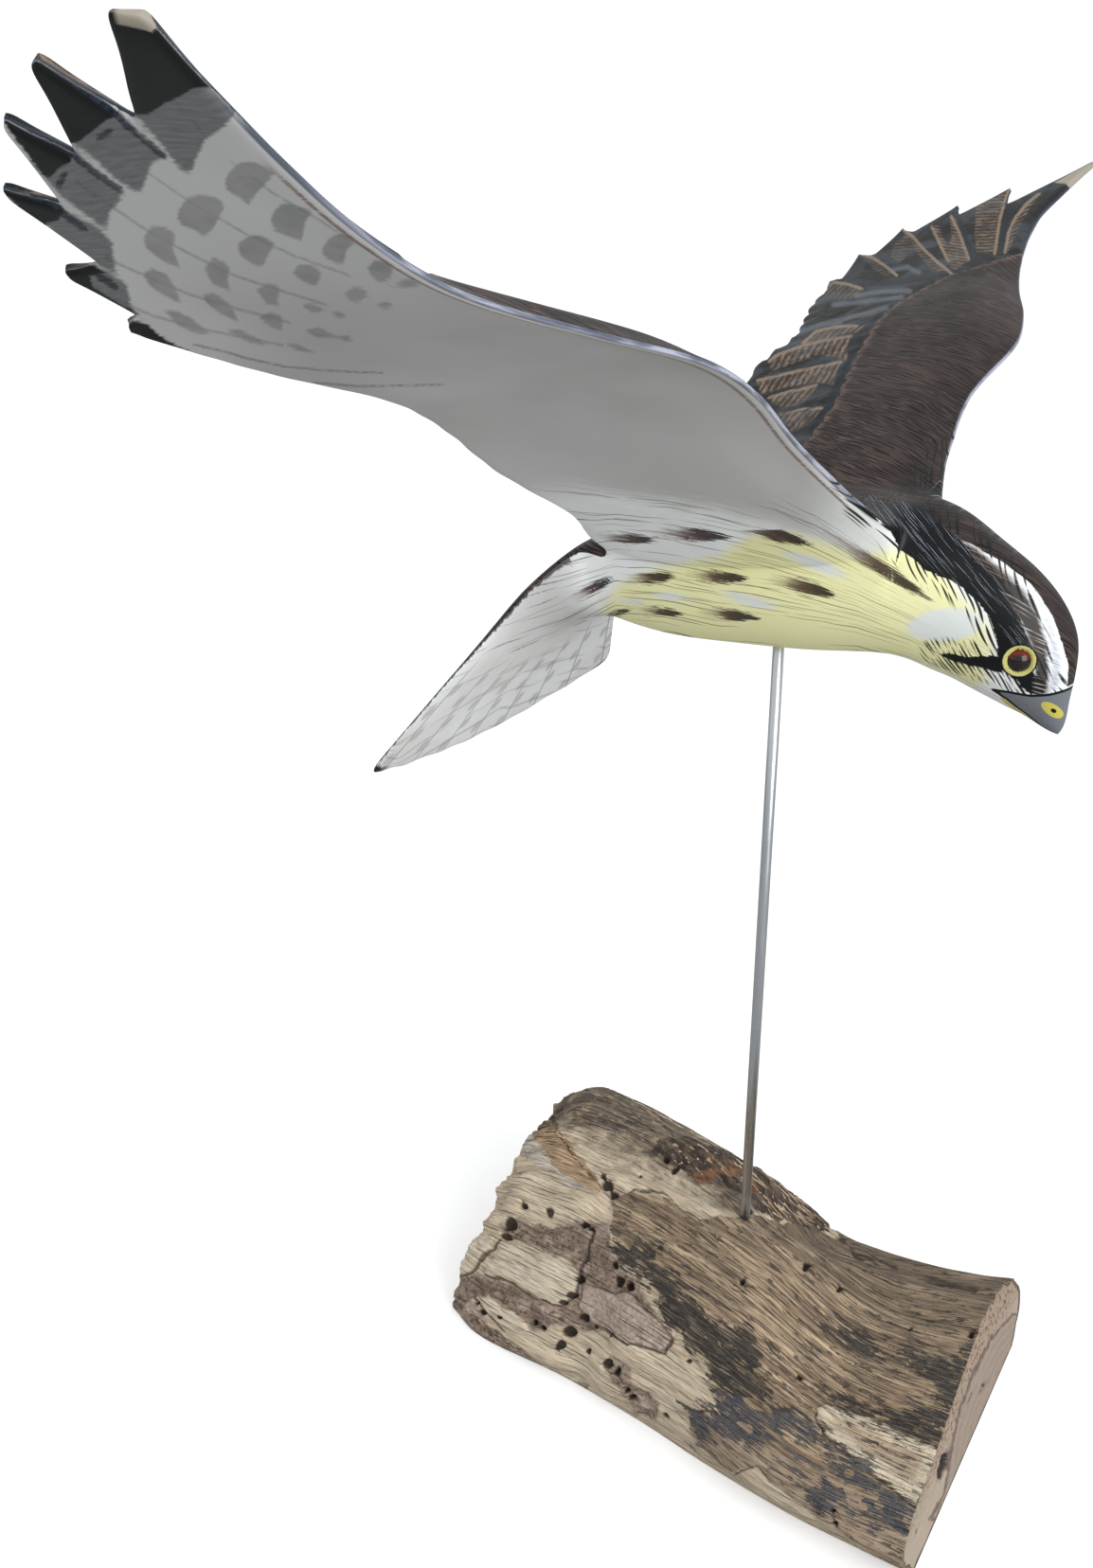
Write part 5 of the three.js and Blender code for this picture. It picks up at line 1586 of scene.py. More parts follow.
height += (1 - worn_edge) * WORN_LUMPS * rough(along / 5, around / 4, 12)

standing = smoothstep(np.minimum(around, girths.mean() - around), 0.0, 5.0)
standing *= np.tile(np.arange(LOG_OVER + LOG_UNDER) < LOG_OVER, LOG_RINGS)
log_places = rings.reshape(-1, 3) + normals * (height * standing)[:, None]
log_places[:, 2] = np.maximum(log_places[:, 2], 0.0)
print("relief from", round(float(height.min()), 1), "to", round(float(height.max()), 1), "mm")

# %% [markdown]
# Both ends are closed with rings that shrink to a middle. The sawn end stays flat but for saw
# scratches, a slot where the heart has rotted out, and small borings. The broken end is hollowed.

# %% Ends of the log
END_RINGS = 34
CUT_SLOT = [[1002, 1531], [1004, 1545], [997, 1563], [992, 1565], [993, 1549], [997, 1537]]
CUT_HOLES = [[1040, 1464, 3.0], [1037, 1471, 2.2], [971, 1617, 2.6], [1011, 1500, 1.6]]
CUT_CORE = [
    [1070, 1388], [1050, 1412], [1039, 1429], [1027, 1457], [1017, 1482], [1009, 1508],
    [1004, 1535], [1002, 1560], [996, 1580], [982, 1606], [1040, 1600], [1120, 1400],
]
CUT_MIDDLE = np.array([-8.0, 20.0])
BREAK_DEPTH, BREAK_MIDDLE = 7.0, np.array([12.0, 20.0])
BREAK_PROFILE = [[0, 0], [0.22, 0.35], [0.5, 1.1], [0.76, 0.7], [1, 1]]
SLOT_DEPTH, HOLE_DEPTH, PORE_DEPTH = 5.0, 2.4, 0.35

count = LOG_OVER + LOG_UNDER
skin_rings = log_places.reshape(LOG_RINGS, count, 3)
points, kinds, log_faces = [log_places], [np.zeros(len(log_places))], []
core, cut_pit = [np.full(len(log_places), -50.0)], [pit]
this = np.arange(count)
following = (this + 1) % count


def join_rings(a, b):
    """Faces between two rings of points, given by the number of their first point."""
    log_faces.extend(np.stack([a + this, a + following, b + following, b + this], axis=1).tolist())


def sawn_face(y, z):
    """How far along the log the sawn end lies at a place on it, its core, and its holes."""
    x = ring_x[-1] + LOG_CUT_LEAN * (1 - z / LOG_CUT_HEIGHT) + LOG_CUT_TURN * y / LOG_CUT_HALF_WIDTH
    face = seen(np.stack([x, y, z], axis=1)) + np.stack([drift(y, z, 2), drift(y, z, 6)], axis=1)
    hole = smoothstep(inside(face, CUT_SLOT), -1.0, 2.0) * SLOT_DEPTH
    for hole_x, hole_y, radius in CUT_HOLES:
        far = np.hypot(face[:, 0] - hole_x, face[:, 1] - hole_y)
        hole = np.maximum(hole, HOLE_DEPTH * (1 - smoothstep(far, radius * 0.5, radius * 1.1)))
    rim = inside(face, CUT_CORE) * LOG_SCALE
    pores = smoothstep(-rim, 0, 2) * PORE_DEPTH * np.abs(rough(y / 1.6, z / 1.6, 7))
    x = x + 0.10 * drift(y / 9, z / 0.9, 3) + 0.16 * rough(y / 6, z / 6, 4) - hole - pores - 0.3
    return x, rim, np.minimum(hole / 2, 1)


def broken_face(y, z, share):
    sink = np.interp(share, *np.transpose(BREAK_PROFILE))
    ripple = (1.5 * np.sin(y * 0.21) + 1.3 * rough(y / 7, z / 9, 5)) * smoothstep(share, 0, 0.1)
    return ring_x[0] + BREAK_DEPTH * sink + ripple


for i in range(LOG_RINGS - 1):
    join_rings(i * count, (i + 1) * count)
total = LOG_RINGS * count
for before, edge, middle, sawn in (
    ((LOG_RINGS - 1) * count, skin_rings[-1], CUT_MIDDLE, True),
    (0, skin_rings[0], BREAK_MIDDLE, False),
):
    for share in (np.arange(END_RINGS + 1) + 1) / (END_RINGS + 1):
        y, z = lerp(edge[:, 1:], middle, share).T if share < 1 else middle[:, None]
        x, rim, hole = (
            sawn_face(y, z) if sawn
            else (broken_face(y, z, share), np.full(len(y), -50.0), np.zeros(len(y)))
        )
        if share < 1:
            x = lerp(edge[:, 0], x, min(1.0, share * (24 if sawn else 12)))
            join_rings(*((before, total) if sawn else (total, before)))
        else:
            pairs = (this, following) if sawn else (following, this)
            log_faces.extend([[before + a, total, before + b] for a, b in zip(*pairs)])
        points.append(np.stack([x, y, np.maximum(z, 0)], axis=1))
        core.append(rim)
        cut_pit.append(hole)
        kinds.append(np.full(len(y), 1.0 if sawn else 2.0))
        before = total
        total += len(y)
log_mesh = bpy.data.meshes.new("driftwood_log")
log_mesh.from_pydata((np.concatenate(points) * MM).tolist(), [], log_faces)
log_mesh.polygons.foreach_set("use_smooth", np.ones(len(log_mesh.polygons), bool))
log_thing = put("driftwood_log", log_mesh)
ends = total - LOG_RINGS * count
for name, field in {**patch, "along": along, "around": around}.items():
    write_field(
        log_mesh, "log_" + name,
        np.concatenate([field, np.full(ends, 50.0 if name == "crack" else -50.0)])
    )
for name, field in {"end": kinds, "core": core, "pit": cut_pit}.items():
    write_field(log_mesh, "log_" + name, np.concatenate(field))
print(
    "log mesh:", len(log_mesh.vertices), "points,",
    sum(len(p.vertices) - 2 for p in log_mesh.polygons), "triangles"
)

# %% [markdown]
# Fibres will stand off the log where it is torn: on the splinters, on the strip of bark, and here
# and there behind, by chance. Those faces are picked out now, while the patches are at hand.

# %% Torn faces of the log
BACK_WEAR = [9.0, 6.0, 21]
FIBRE_ENDS = [-104.0, 84.0]
back_wear = np.where(
    hidden > 0.5, rough(along / BACK_WEAR[0], around / BACK_WEAR[1], BACK_WEAR[2]) - 0.75, -1.0
)
torn = np.maximum.reduce([patch["splinters"], patch["white"], patch["bark"] - 1.0, back_wear])
torn = np.where((along > FIBRE_ENDS[0]) & (along < FIBRE_ENDS[1]) & (standing > 0.99), torn, -1.0)
quads = np.array(log_faces[:(LOG_RINGS - 1) * count])
torn_quads = quads[(torn[quads] > 0).all(axis=1)]
torn_points, torn_numbers = np.unique(torn_quads, return_inverse=True)
torn_mesh = bpy.data.meshes.new("driftwood_fibres")
torn_mesh.from_pydata(
    (log_places[torn_points] * MM).tolist(), [], torn_numbers.reshape(-1, 4).tolist()
)
fibres = put("driftwood_fibres", torn_mesh)
print("torn faces:", len(torn_quads))

# %% [markdown]
# The rod is a plain polished bar. Its length and place come from the sizes of the frame: it stands
# on the axis of the object, part of it in the log and part in the bird. The eyes are glass beads.

# %% Rod and eyes
ROD_RADIUS, ROD_FROM, ROD_TO = 2.0, 36.0, 314.0
ROD_SIDES, ROD_CHAMFER = 64, 0.4
EYE_ROWS, EYE_SIDES, EYE_POLE = 33, 48, 0.02


def turned(name, profile, sides):
    """A shape of revolution about the up axis from a list of [radius, height]."""
    turn = np.arange(sides) * 2 * math.pi / sides
    rows = [
        np.stack([r * np.cos(turn), r * np.sin(turn), np.full(sides, h)], axis=1) for r,
        h in profile
    ]
    faces = []
    for i in range(len(rows) - 1):
        for j in range(sides):
            k = (j + 1) % sides
            faces.append([i * sides + j, i * sides + k, (i + 1) * sides + k, (i + 1) * sides + j])
    faces.append(list(range(sides))[::-1])
    faces.append([(len(rows) - 1) * sides + j for j in range(sides)])
    mesh = bpy.data.meshes.new(name)
    mesh.from_pydata((np.concatenate(rows) * MM).tolist(), [], faces)
    return put(name, mesh)


rod = turned("polished_rod", [
    [ROD_RADIUS - ROD_CHAMFER, ROD_FROM], [ROD_RADIUS, ROD_FROM + ROD_CHAMFER],
    [ROD_RADIUS, ROD_TO - ROD_CHAMFER], [ROD_RADIUS - ROD_CHAMFER, ROD_TO],
], ROD_SIDES)
for poly in rod.data.polygons:
    poly.use_smooth = len(poly.vertices) == 4 and poly.area > 1e-5
eyes = {}
for name, side in (("right_eye", -1), ("left_eye", 1)):
    angles = np.linspace(-math.pi / 2, math.pi / 2, EYE_ROWS)
    profile = [[max(EYE_RADIUS * math.cos(a), EYE_POLE), EYE_RADIUS * math.sin(a)] for a in angles]
    bead = turned(name + "_bead", profile, EYE_SIDES)
    bead.data.transform(Matrix.Translation(Vector(EYE_PLACE * [1, side, 1]) * MM))
    for poly in bead.data.polygons:
        poly.use_smooth = True
    eyes[name] = bead
print("rod and", len(eyes), "eyes")

# %% [markdown]
# A shader is a tree of small sums. Adding each node by hand takes five lines, so a helper keeps the
# tree and adds a node in one. A second helper remembers a colour that is painted over again and
# again, as a painter lays one coat on the last. They only shorten the writing: every node below is
# an ordinary one that could be placed with the mouse.

# %% A short way to write node trees
class Coat:
    """A colour that gets painted over, with one mask and one tone at a time."""

    def __init__(self, shader, colour):
        self.shader, self.colour = shader, colour

    def lay(self, mask, tone, share=None):
        if share is not None:
            mask = self.shader.times(mask, share)
        self.colour = self.shader.mix(mask, self.colour, tone)


class Shader:
    def __init__(self, tree):
        self.tree = tree

    def add(self, kind, *values, **settings):
        node = self.tree.nodes.new(kind)
        for name, value in settings.items():
            setattr(node, name, value)
        for socket, value in zip(node.inputs, values):
            self.join(value, socket)
        return node

    def join(self, value, socket):
        if isinstance(value, Coat):
            value = value.colour
        if isinstance(value, bpy.types.NodeSocket):
            self.tree.links.new(value, socket)
        elif value is not None:
            socket.default_value = value

    def fill(self, sockets, values):
        for name, value in values.items():
            self.join(value, sockets[name])

    def sum(self, operation, *values):
        return self.add("ShaderNodeMath", *values, operation=operation).outputs[0]

    def plus(self, a, b):
        return self.sum("ADD", a, b)

    def minus(self, a, b):
        return self.sum("SUBTRACT", a, b)

    def times(self, a, b):
        return self.sum("MULTIPLY", a, b)

    def times_plus(self, a, b, c):
        return self.sum("MULTIPLY_ADD", a, b, c)

    def place(self):
        return self.add("ShaderNodeTexCoord").outputs["Object"]

    def field(self, name):
        return self.add("ShaderNodeAttribute", attribute_name=name).outputs["Fac"]

    def step(self, value, low, high, to_low=0.0, to_high=1.0):
        """Goes smoothly from one value to another while the input passes from low to high."""
        node = self.add(
            "ShaderNodeMapRange", value, low, high, to_low, to_high, interpolation_type="SMOOTHSTEP"
        )
        return node.outputs[0]

    def vector(self, x, y, z=0.0):
        return self.add("ShaderNodeCombineXYZ", x, y, z).outputs[0]

    def noise(self, place, scale, detail=2.0, rough=0.5):
        node = self.add("ShaderNodeTexNoise")
        values = {"Vector": place, "Scale": scale, "Detail": detail, "Roughness": rough}
        self.fill(node.inputs, values)
        return node.outputs["Fac"]

    def mix(self, share, a, b):
        node = self.add("ShaderNodeMix", data_type="RGBA")
        for index, value in ((0, share), (6, a), (7, b)):
            if isinstance(value, tuple) and len(value) == 3:
                value = (*value, 1.0)
            self.join(value, node.inputs[index])
        return node.outputs[2]

    def coat(self, share, a, b):
        return Coat(self, self.mix(share, a, b))

    def bump(self, height, strength, depth):
        """The normal of a surface with this height on it. The depth is in millimetres."""
        node = self.add("ShaderNodeBump")
        self.fill(node.inputs, {"Strength": strength, "Distance": depth * MM, "Height": height})
        return node.outputs["Normal"]

    def use(self, group, **values):
        node = self.add("ShaderNodeGroup", node_tree=group)
        for name, value in values.items():
            self.join(value, node.inputs[name.replace("_", " ")])
        return node.outputs


def new_group(name, inputs, outputs):
    """An empty node group with named number inputs (and their usual values) and named outputs."""
    tree = bpy.data.node_groups.new(name, "ShaderNodeTree")
    for label, value in inputs.items():
        kind = "NodeSocketVector" if isinstance(value, tuple) else "NodeSocketFloat"
        tree.interface.new_socket(label, in_out="INPUT", socket_type=kind).default_value = value
    for label, kind in outputs.items():
        tree.interface.new_socket(label, in_out="OUTPUT", socket_type=kind)
    shader = Shader(tree)
    return tree, shader, tree.nodes.new("NodeGroupInput").outputs, tree.nodes.new(
        "NodeGroupOutput"
    ).inputs


def new_material(name):
    material = bpy.data.materials.new(name)
    material.use_nodes = True
    shader = Shader(material.node_tree)
    return material, shader, material.node_tree.nodes["Principled BSDF"].inputs


print("a shader can:", ", ".join(name for name in vars(Shader) if not name.startswith("_")))


# %% [markdown]
# The carver's finest work is done with a brush of a few hairs and with the point of a knife: thin
# strokes that start and end in nothing, never quite in line. One group makes them, for the paint
# of the bird and for the fibres of the log alike. It lays narrow lanes side by side, cuts each
# lane into pieces of one length, shifts every lane by chance, and tapers each piece at both ends.

# %% Group: thin strokes
STROKES, g, given, result = new_group(
    "thin_strokes",
    {
        "Along": 0.0, "Across": 0.0, "Length": 9.0, "Spacing": 2.0, "Width": 0.35, "Share": 0.6,
        "Seed": 0.0, "Wander": 0.8
    },
    {"Mask": "NodeSocketFloat"},
)
slow = g.vector(g.times(given["Along"], 0.05), g.times(given["Across"], 0.12), given["Seed"])
wobble = g.times(g.minus(g.noise(slow, 1.0, 1.0), 0.5), given["Wander"])
lane = g.plus(g.sum("DIVIDE", given["Across"], given["Spacing"]), g.times(wobble, 3.0))
lane_number = g.sum("FLOOR", lane)
chance = g.add("ShaderNodeTexWhiteNoise", noise_dimensions="2D")
g.join(g.vector(lane_number, given["Seed"]), chance.inputs["Vector"])
run = g.plus(
    g.sum("DIVIDE", given["Along"], given["Length"]), g.times(chance.outputs["Value"], 17.0)
)
piece_number = g.sum("FLOOR", run)
piece_chance = g.add("ShaderNodeTexWhiteNoise", noise_dimensions="3D")
g.join(g.vector(lane_number, piece_number, given["Seed"]), piece_chance.inputs["Vector"])
chances = g.add("ShaderNodeSeparateColor", piece_chance.outputs["Color"]).outputs
from_end = g.sum("ABSOLUTE", g.times_plus(g.sum("FRACT", run), 2.0, -1.0))
taper = g.minus(1.0, g.sum("POWER", from_end, 2.5))
shift = g.times_plus(chances[1], 0.5, -0.75)
off = g.sum("ABSOLUTE", g.plus(g.sum("FRACT", lane), shift))
off_mm = g.times(off, given["Spacing"])
half = g.times(g.times(given["Width"], taper), g.times_plus(chances[2], 0.7, 0.5))
drawn = g.minus(1.0, g.step(off_mm, g.times(half, 0.35), half))
kept = g.sum("LESS_THAN", chances[0], given["Share"])
g.join(g.times(drawn, kept), result["Mask"])


def strokes(along, across, **sizes):
    """A mask of thin strokes; its Length, Spacing and Width are in millimetres."""
    return s.use(STROKES, Along=along, Across=across, **sizes)["Mask"]


print("group:", STROKES.name, len(STROKES.nodes), "nodes")

# %% [markdown]
# Nothing that was handled for years is one even colour or one even gloss. A second group gives slow
# blotches, fine grain and a height for the bump, all from the place on the object, so that they
# stay put when the camera moves.

# %% Group: handled surface
HANDLED, g, given, result = new_group(
    "handled_surface",
    {"Place": (0.0, 0.0, 0.0), "Blotch": 40.0, "Grain": 900.0},
    {"Blotches": "NodeSocketFloat", "Fine": "NodeSocketFloat", "Height": "NodeSocketFloat"},
)
blotches = g.noise(given["Place"], given["Blotch"], 4.0, 0.6)
fine = g.noise(given["Place"], given["Grain"], 2.0, 0.6)
g.join(g.step(blotches, 0.3, 0.7), result["Blotches"])
g.join(fine, result["Fine"])
g.join(g.times_plus(blotches, 0.7, g.times(fine, 0.3)), result["Height"])
print("group:", HANDLED.name)

# %% [markdown]
# The bird's paint is built in the order a painter works: white ground, lemon breast, dark flames,
# grey spots under the wing, then brown above, and last the sharp black and white of the head. Each
# layer is laid over the one before by its own mask. The masks come from the fields of the skin,
# with a little stretched noise added so that the edges look brushed.

# %% Bird material: coordinates and ragged edges
WHITE_PAINT, SHADED_WHITE = (0.93, 0.95, 0.93), (0.84, 0.86, 0.84)
LEMON, FLAME_BROWN, FLAME_BLACK = (0.90, 0.87, 0.40), (0.115, 0.050, 0.038), (0.022, 0.013, 0.013)
WING_GREY, SPOT_GREY = (0.55, 0.55, 0.535), (0.235, 0.235, 0.23)
TIP_GREY, TIP_BLACK = (0.075, 0.086, 0.088), (0.006, 0.008, 0.009)
BACK_TAN, FLIGHT_BLACK, FLIGHT_SLATE = (0.16, 0.105, 0.08), (
    0.010, 0.010, 0.010
), (0.045, 0.055, 0.064)
BAND_BLACK, BILL_SLATE = (0.003, 0.004, 0.005), (0.15, 0.16, 0.18)
YELLOW_SKIN, EDGE_ORANGE = (0.60, 0.52, 0.10), (0.22, 0.13, 0.08)

write_field(skin, "eye_distance", note["eye_distance"])

bird_paint, s, bird_socket = new_material("painted_bird")
place = s.place()
along, around = s.field("body_along"), s.field("girth")
wing_out, wing_lane, upper = s.field("wing_out"), s.field("wing_lane"), s.field("upper")
tail_out, tail_lane = s.field("tail_out"), s.field("tail_lane")
brush = s.noise(s.vector(s.times(along, 0.16), around, 0.0), 0.95, 2.0, 0.6)
rough_edge = s.minus(brush, 0.5)
hair_along, hair_across = s.field("hair_along"), s.field("hair_across")
combed = s.noise(s.vector(s.times(hair_along, 0.12), s.times(hair_across, 1.5)), 1.0, 3.0, 0.65)
rough_hair = s.minus(combed, 0.5)
fine_comb = s.noise(
    s.vector(s.times(hair_along, 0.10), s.times(hair_across, 2.6), 5.0), 1.0, 3.0, 0.65
)
fine_hair = s.minus(fine_comb, 0.5)
fine_edge = s.minus(s.noise(place, 900.0, 2.0), 0.5)
handled = s.use(HANDLED, Place=place, Blotch=38.0, Grain=1500.0)


def mark(name, ragged=0.0, soft=0.25, bias=0.0):
    """A painted patch: its field, with brushed edges, cut at nought."""
    value = s.times_plus(rough_edge, ragged, s.plus(s.field(name), bias))
    return s.step(value, -soft, soft)


def either(a, b):
    return s.sum("MAXIMUM", a, b)


def both(*masks):
    value = masks[0]
    for other in masks[1:]:
        value = s.times(value, other)
    return value


def without(mask):
    return s.minus(1.0, mask)


print("paint starts with", len(bird_paint.node_tree.nodes), "nodes")

# %% [markdown]
# Ground, lemon, pale ovals and the thin dark hairs that run from tail to head. The underside of the
# wings is grey, and brightens to white where it comes down to the flank. The grey is partly paint
# and partly painted shade: darker in the middle of the hollow underside, lighter towards the hand
# and the root. A flame is thin and feathered behind and solid in front, so chance is added to its
# field in hairs.

# %% Bird material: ground, flank and flames
WING_SHADE, WING_OUTER, WING_INNER = (0.47, 0.46, 0.45), (0.64, 0.64, 0.63), (0.60, 0.60, 0.585)
LEMON_LIGHT, PALE_OVAL, HAIR_DARK = (0.93, 0.92, 0.53), (0.77, 0.81, 0.81), (0.075, 0.06, 0.06)
HAIR_BROWN, FLAME_THIN = (0.14, 0.085, 0.05), (0.24, 0.15, 0.125)

low_side = without(s.step(upper, 0.35, 0.65))
before_chest = s.step(hair_along, 312.0, 290.0)
grey_wing = both(
    s.step(s.times_plus(rough_hair, 5.0, hair_across), 2.0, -6.0), before_chest,
    s.step(wing_out, 8.0, 30.0)
)
grey_wing = either(grey_wing, s.step(wing_out, 50.0, 80.0))
ground = s.coat(handled["Blotches"], SHADED_WHITE, WHITE_PAINT)
# Painted shade: the grey under the wings is left darker in the middle and lightened towards the
# hand and the root.
underwing_grey_and_shade = s.coat(s.step(s.noise(place, 14.0, 3.0, 0.5), 0.35, 0.65), WING_SHADE, WING_GREY)
underwing_grey_and_shade.lay(s.step(wing_out, 180.0, 250.0, 0.0, 0.8), WING_OUTER)
underwing_grey_and_shade.lay(s.step(wing_out, 150.0, 80.0, 0.0, 0.7), WING_INNER)
ground.lay(grey_wing, underwing_grey_and_shade)
lemon_edge = s.times_plus(rough_hair, 7.0, s.field("yellow"))
lemon = s.step(lemon_edge, -2.0, 4.0)
lemon_tone = s.mix(handled["Fine"], LEMON, LEMON_LIGHT)
colour = s.coat(s.times(lemon, 0.93), ground, lemon_tone)
chin = both(s.step(along, 20.0, 8.0), s.step(around, 16.0, 4.0))
colour.lay(chin, WHITE_PAINT, 0.8)
pale = s.step(s.times_plus(fine_hair, 5.0, s.field("pale")), -0.4, 0.9)
pale = both(pale, lemon)
colour.lay(pale, PALE_OVAL, 0.9)
hairs = either(
    strokes(
        hair_along, hair_across, Length=36.0, Spacing=2.5, Width=0.23, Share=0.6, Seed=3.0,
        Wander=0.35
    ),
    strokes(
        hair_along, hair_across, Length=20.0, Spacing=1.7, Width=0.15, Share=0.4, Seed=8.0,
        Wander=0.3
    ),
)
fan_out = s.sum("MINIMUM", s.sum("MAXIMUM", s.times_plus(hair_along, 0.35, -92.0), 0.0), 12.0)
hair_zone = both(
    s.step(s.plus(hair_across, fan_out), -8.0, 2.0), without(s.step(wing_out, 50.0, 80.0)),
    without(s.step(pale, 0.0, 1.0, 0.0, 0.7))
)
hairs = both(hairs, hair_zone, low_side)
colour.lay(hairs, s.mix(lemon, HAIR_DARK, HAIR_BROWN), 0.86)
flame_share = s.field("flame_share")
tattered = s.times(fine_hair, s.step(flame_share, 0.15, 0.95, 9.5, 4.0))
flame = s.step(s.plus(s.field("flame_mark"), tattered), -0.15, 0.25)
darker = s.step(s.times_plus(rough_hair, 0.9, flame_share), 0.15, 0.8)
flame_tone = s.coat(darker, FLAME_BROWN, FLAME_BLACK)
flame_tone.lay(s.step(flame_share, 0.42, 0.05, 0.0, 0.6), FLAME_THIN)
colour.lay(
    both(flame, s.step(s.times_plus(rough_hair, 0.5, flame_share), 0.0, 0.5, 0.15, 0.95)),
    flame_tone
)
print("nodes with the breast and flank:", len(bird_paint.node_tree.nodes))

# %% [markdown]
# Now the marks under the wings: soft grey shafts and spots, the grey and black ends, blue-black
# strokes along the gaps between the fingers, and a few long strokes beside the rear edge. Black
# goes round the tips onto the rim of every finger.

# %% Bird material: underside of wing and tail
SHAFT_GREY, SPOT_LIGHT, TAIL_SPOT = (0.16, 0.16, 0.16), (0.31, 0.31, 0.30), (0.44, 0.43, 0.43)
TIP_GREY_LIGHT, TIP_BLACK_WORN = (0.145, 0.155, 0.156), (0.012, 0.014, 0.013)
BLUE_BLACK, DEEP_BLUE, REAR_STROKE = (0.012, 0.016, 0.022), (0.035, 0.05, 0.08), (0.10, 0.105, 0.11)
TAIL_WHITE, TAIL_CREAM, TAIL_ROOT_PAINTED_SHADE = (0.86, 0.86, 0.87), (0.72, 0.70, 0.68), (0.38, 0.365, 0.355)
TAIL_HAIR, TAIL_QUILL, TAIL_RIM = (0.11, 0.10, 0.10), (0.12, 0.11, 0.11), (0.05, 0.048, 0.042)

shaft = s.step(s.field("shaft"), 0.75, 0.35)
colour.lay(
    both(
        shaft, low_side, s.step(s.field("shaft"), 60.0, 50.0),
        s.times(s.step(fine_edge, -0.6, 0.2), 0.42)
    ),
    SHAFT_GREY
)
spots = both(mark("spot", 1.6, 0.7), without(s.step(upper, 0.3, 0.6)))
spot_tone = s.coat(s.step(s.noise(place, 110.0, 3.0), 0.35, 0.65), SPOT_GREY, SPOT_LIGHT)
spot_tone.lay(s.step(tail_out, 0.0, 0.1), TAIL_SPOT)
colour.lay(spots, spot_tone, 0.8)
grey_end = both(mark("grey_end", 3.0, 0.9), low_side)
black_end = both(
    either(mark("black_end", 2.2, 0.6), both(s.step(wing_out, 286.0, 290.0), low_side)),
    s.step(wing_out, 150.0, 160.0)
)
end_tone = s.mix(s.step(brush, 0.3, 0.7), TIP_GREY, TIP_GREY_LIGHT)
colour.lay(grey_end, end_tone, 0.85)
blue = both(s.step(s.times_plus(rough_edge, 2.0, s.field("blue_stroke")), 1.7, 0.6), low_side)
colour.lay(both(black_end, low_side), s.mix(handled["Fine"], TIP_BLACK, TIP_BLACK_WORN))
colour.lay(blue, s.mix(s.step(brush, 0.4, 0.65), BLUE_BLACK, DEEP_BLUE), 0.85)
long_strokes = s.step(s.times_plus(rough_edge, 1.2, s.field("edge_stroke")), 0.7, 0.15)
colour.lay(both(long_strokes, low_side, s.times(s.step(brush, 0.3, 0.5), 0.6)), REAR_STROKE)
on_tail = s.step(tail_out, 0.02, 0.2)
tail_tone = s.coat(s.step(s.noise(place, 30.0, 3.0), 0.35, 0.65), TAIL_WHITE, TAIL_CREAM)
# Painted shade: the tail darkens towards its root, where it lies under the body.
tail_tone.lay(s.step(tail_out, 0.5, 0.15, 0.0, 0.9), TAIL_ROOT_PAINTED_SHADE)
colour.lay(both(on_tail, s.minus(0.7, s.times(spots, 0.5))), tail_tone)
tail_hairs = strokes(
    hair_along, hair_across, Length=13.0, Spacing=2.0, Width=0.2, Share=0.4, Seed=13.0, Wander=0.4
)
colour.lay(
    both(
        tail_hairs, on_tail, without(s.step(tail_out, 0.45, 0.7)), s.step(handled["Fine"], 0.3, 0.6)
    ),
    TAIL_HAIR
)
tail_shaft_off = s.sum("ABSOLUTE", s.minus(s.sum("FRACT", tail_lane), 0.42))
tail_shaft = both(
    without(s.step(tail_shaft_off, 0.010, 0.035)), s.step(tail_out, 0.45, 0.6), low_side
)
colour.lay(tail_shaft, TAIL_QUILL, 0.6)
off_middle = s.sum("ABSOLUTE", s.minus(tail_lane, 4.0))
tail_tips = both(
    s.step(s.times_plus(rough_edge, 0.06, tail_out), 0.965, 0.985), s.step(off_middle, 3.2, 3.6)
)
tail_edge = both(
    s.step(s.times_plus(rough_edge, 0.4, off_middle), 3.86, 3.93), s.step(tail_out, 0.02, 0.1)
)
colour.lay(tail_tips, TIP_BLACK)
colour.lay(tail_edge, TAIL_RIM, 0.9)
print("nodes with the underside:", len(bird_paint.node_tree.nodes))

# %% [markdown]
# Above, the bird is dark: warm brown coverts cut with fine hairs that catch tan where they were
# rubbed, and black flight feathers hatched with tan barbs. The barbs run aslant from each shaft.

# %% Bird material: upper side
WORN_BROWN, COVERT_DARK = (0.10, 0.063, 0.05), (0.028, 0.021, 0.020)
COVERT_BROWN, TUFT_TAN, CUT_BLACK = (0.056, 0.039, 0.035), (0.20, 0.13, 0.10), (0.006, 0.005, 0.005)
FLIGHT_WORN, BARB_BROWN, BARB_TAN = (0.11, 0.095, 0.08), (0.15, 0.095, 0.06), (0.30, 0.215, 0.145)
RIDGE_TAN, GAP_BLACK, STREAK_GREY = (0.33, 0.24, 0.165), (0.016, 0.020, 0.024), (0.17, 0.19, 0.21)
FINGER_BLUE = (0.03, 0.04, 0.062)

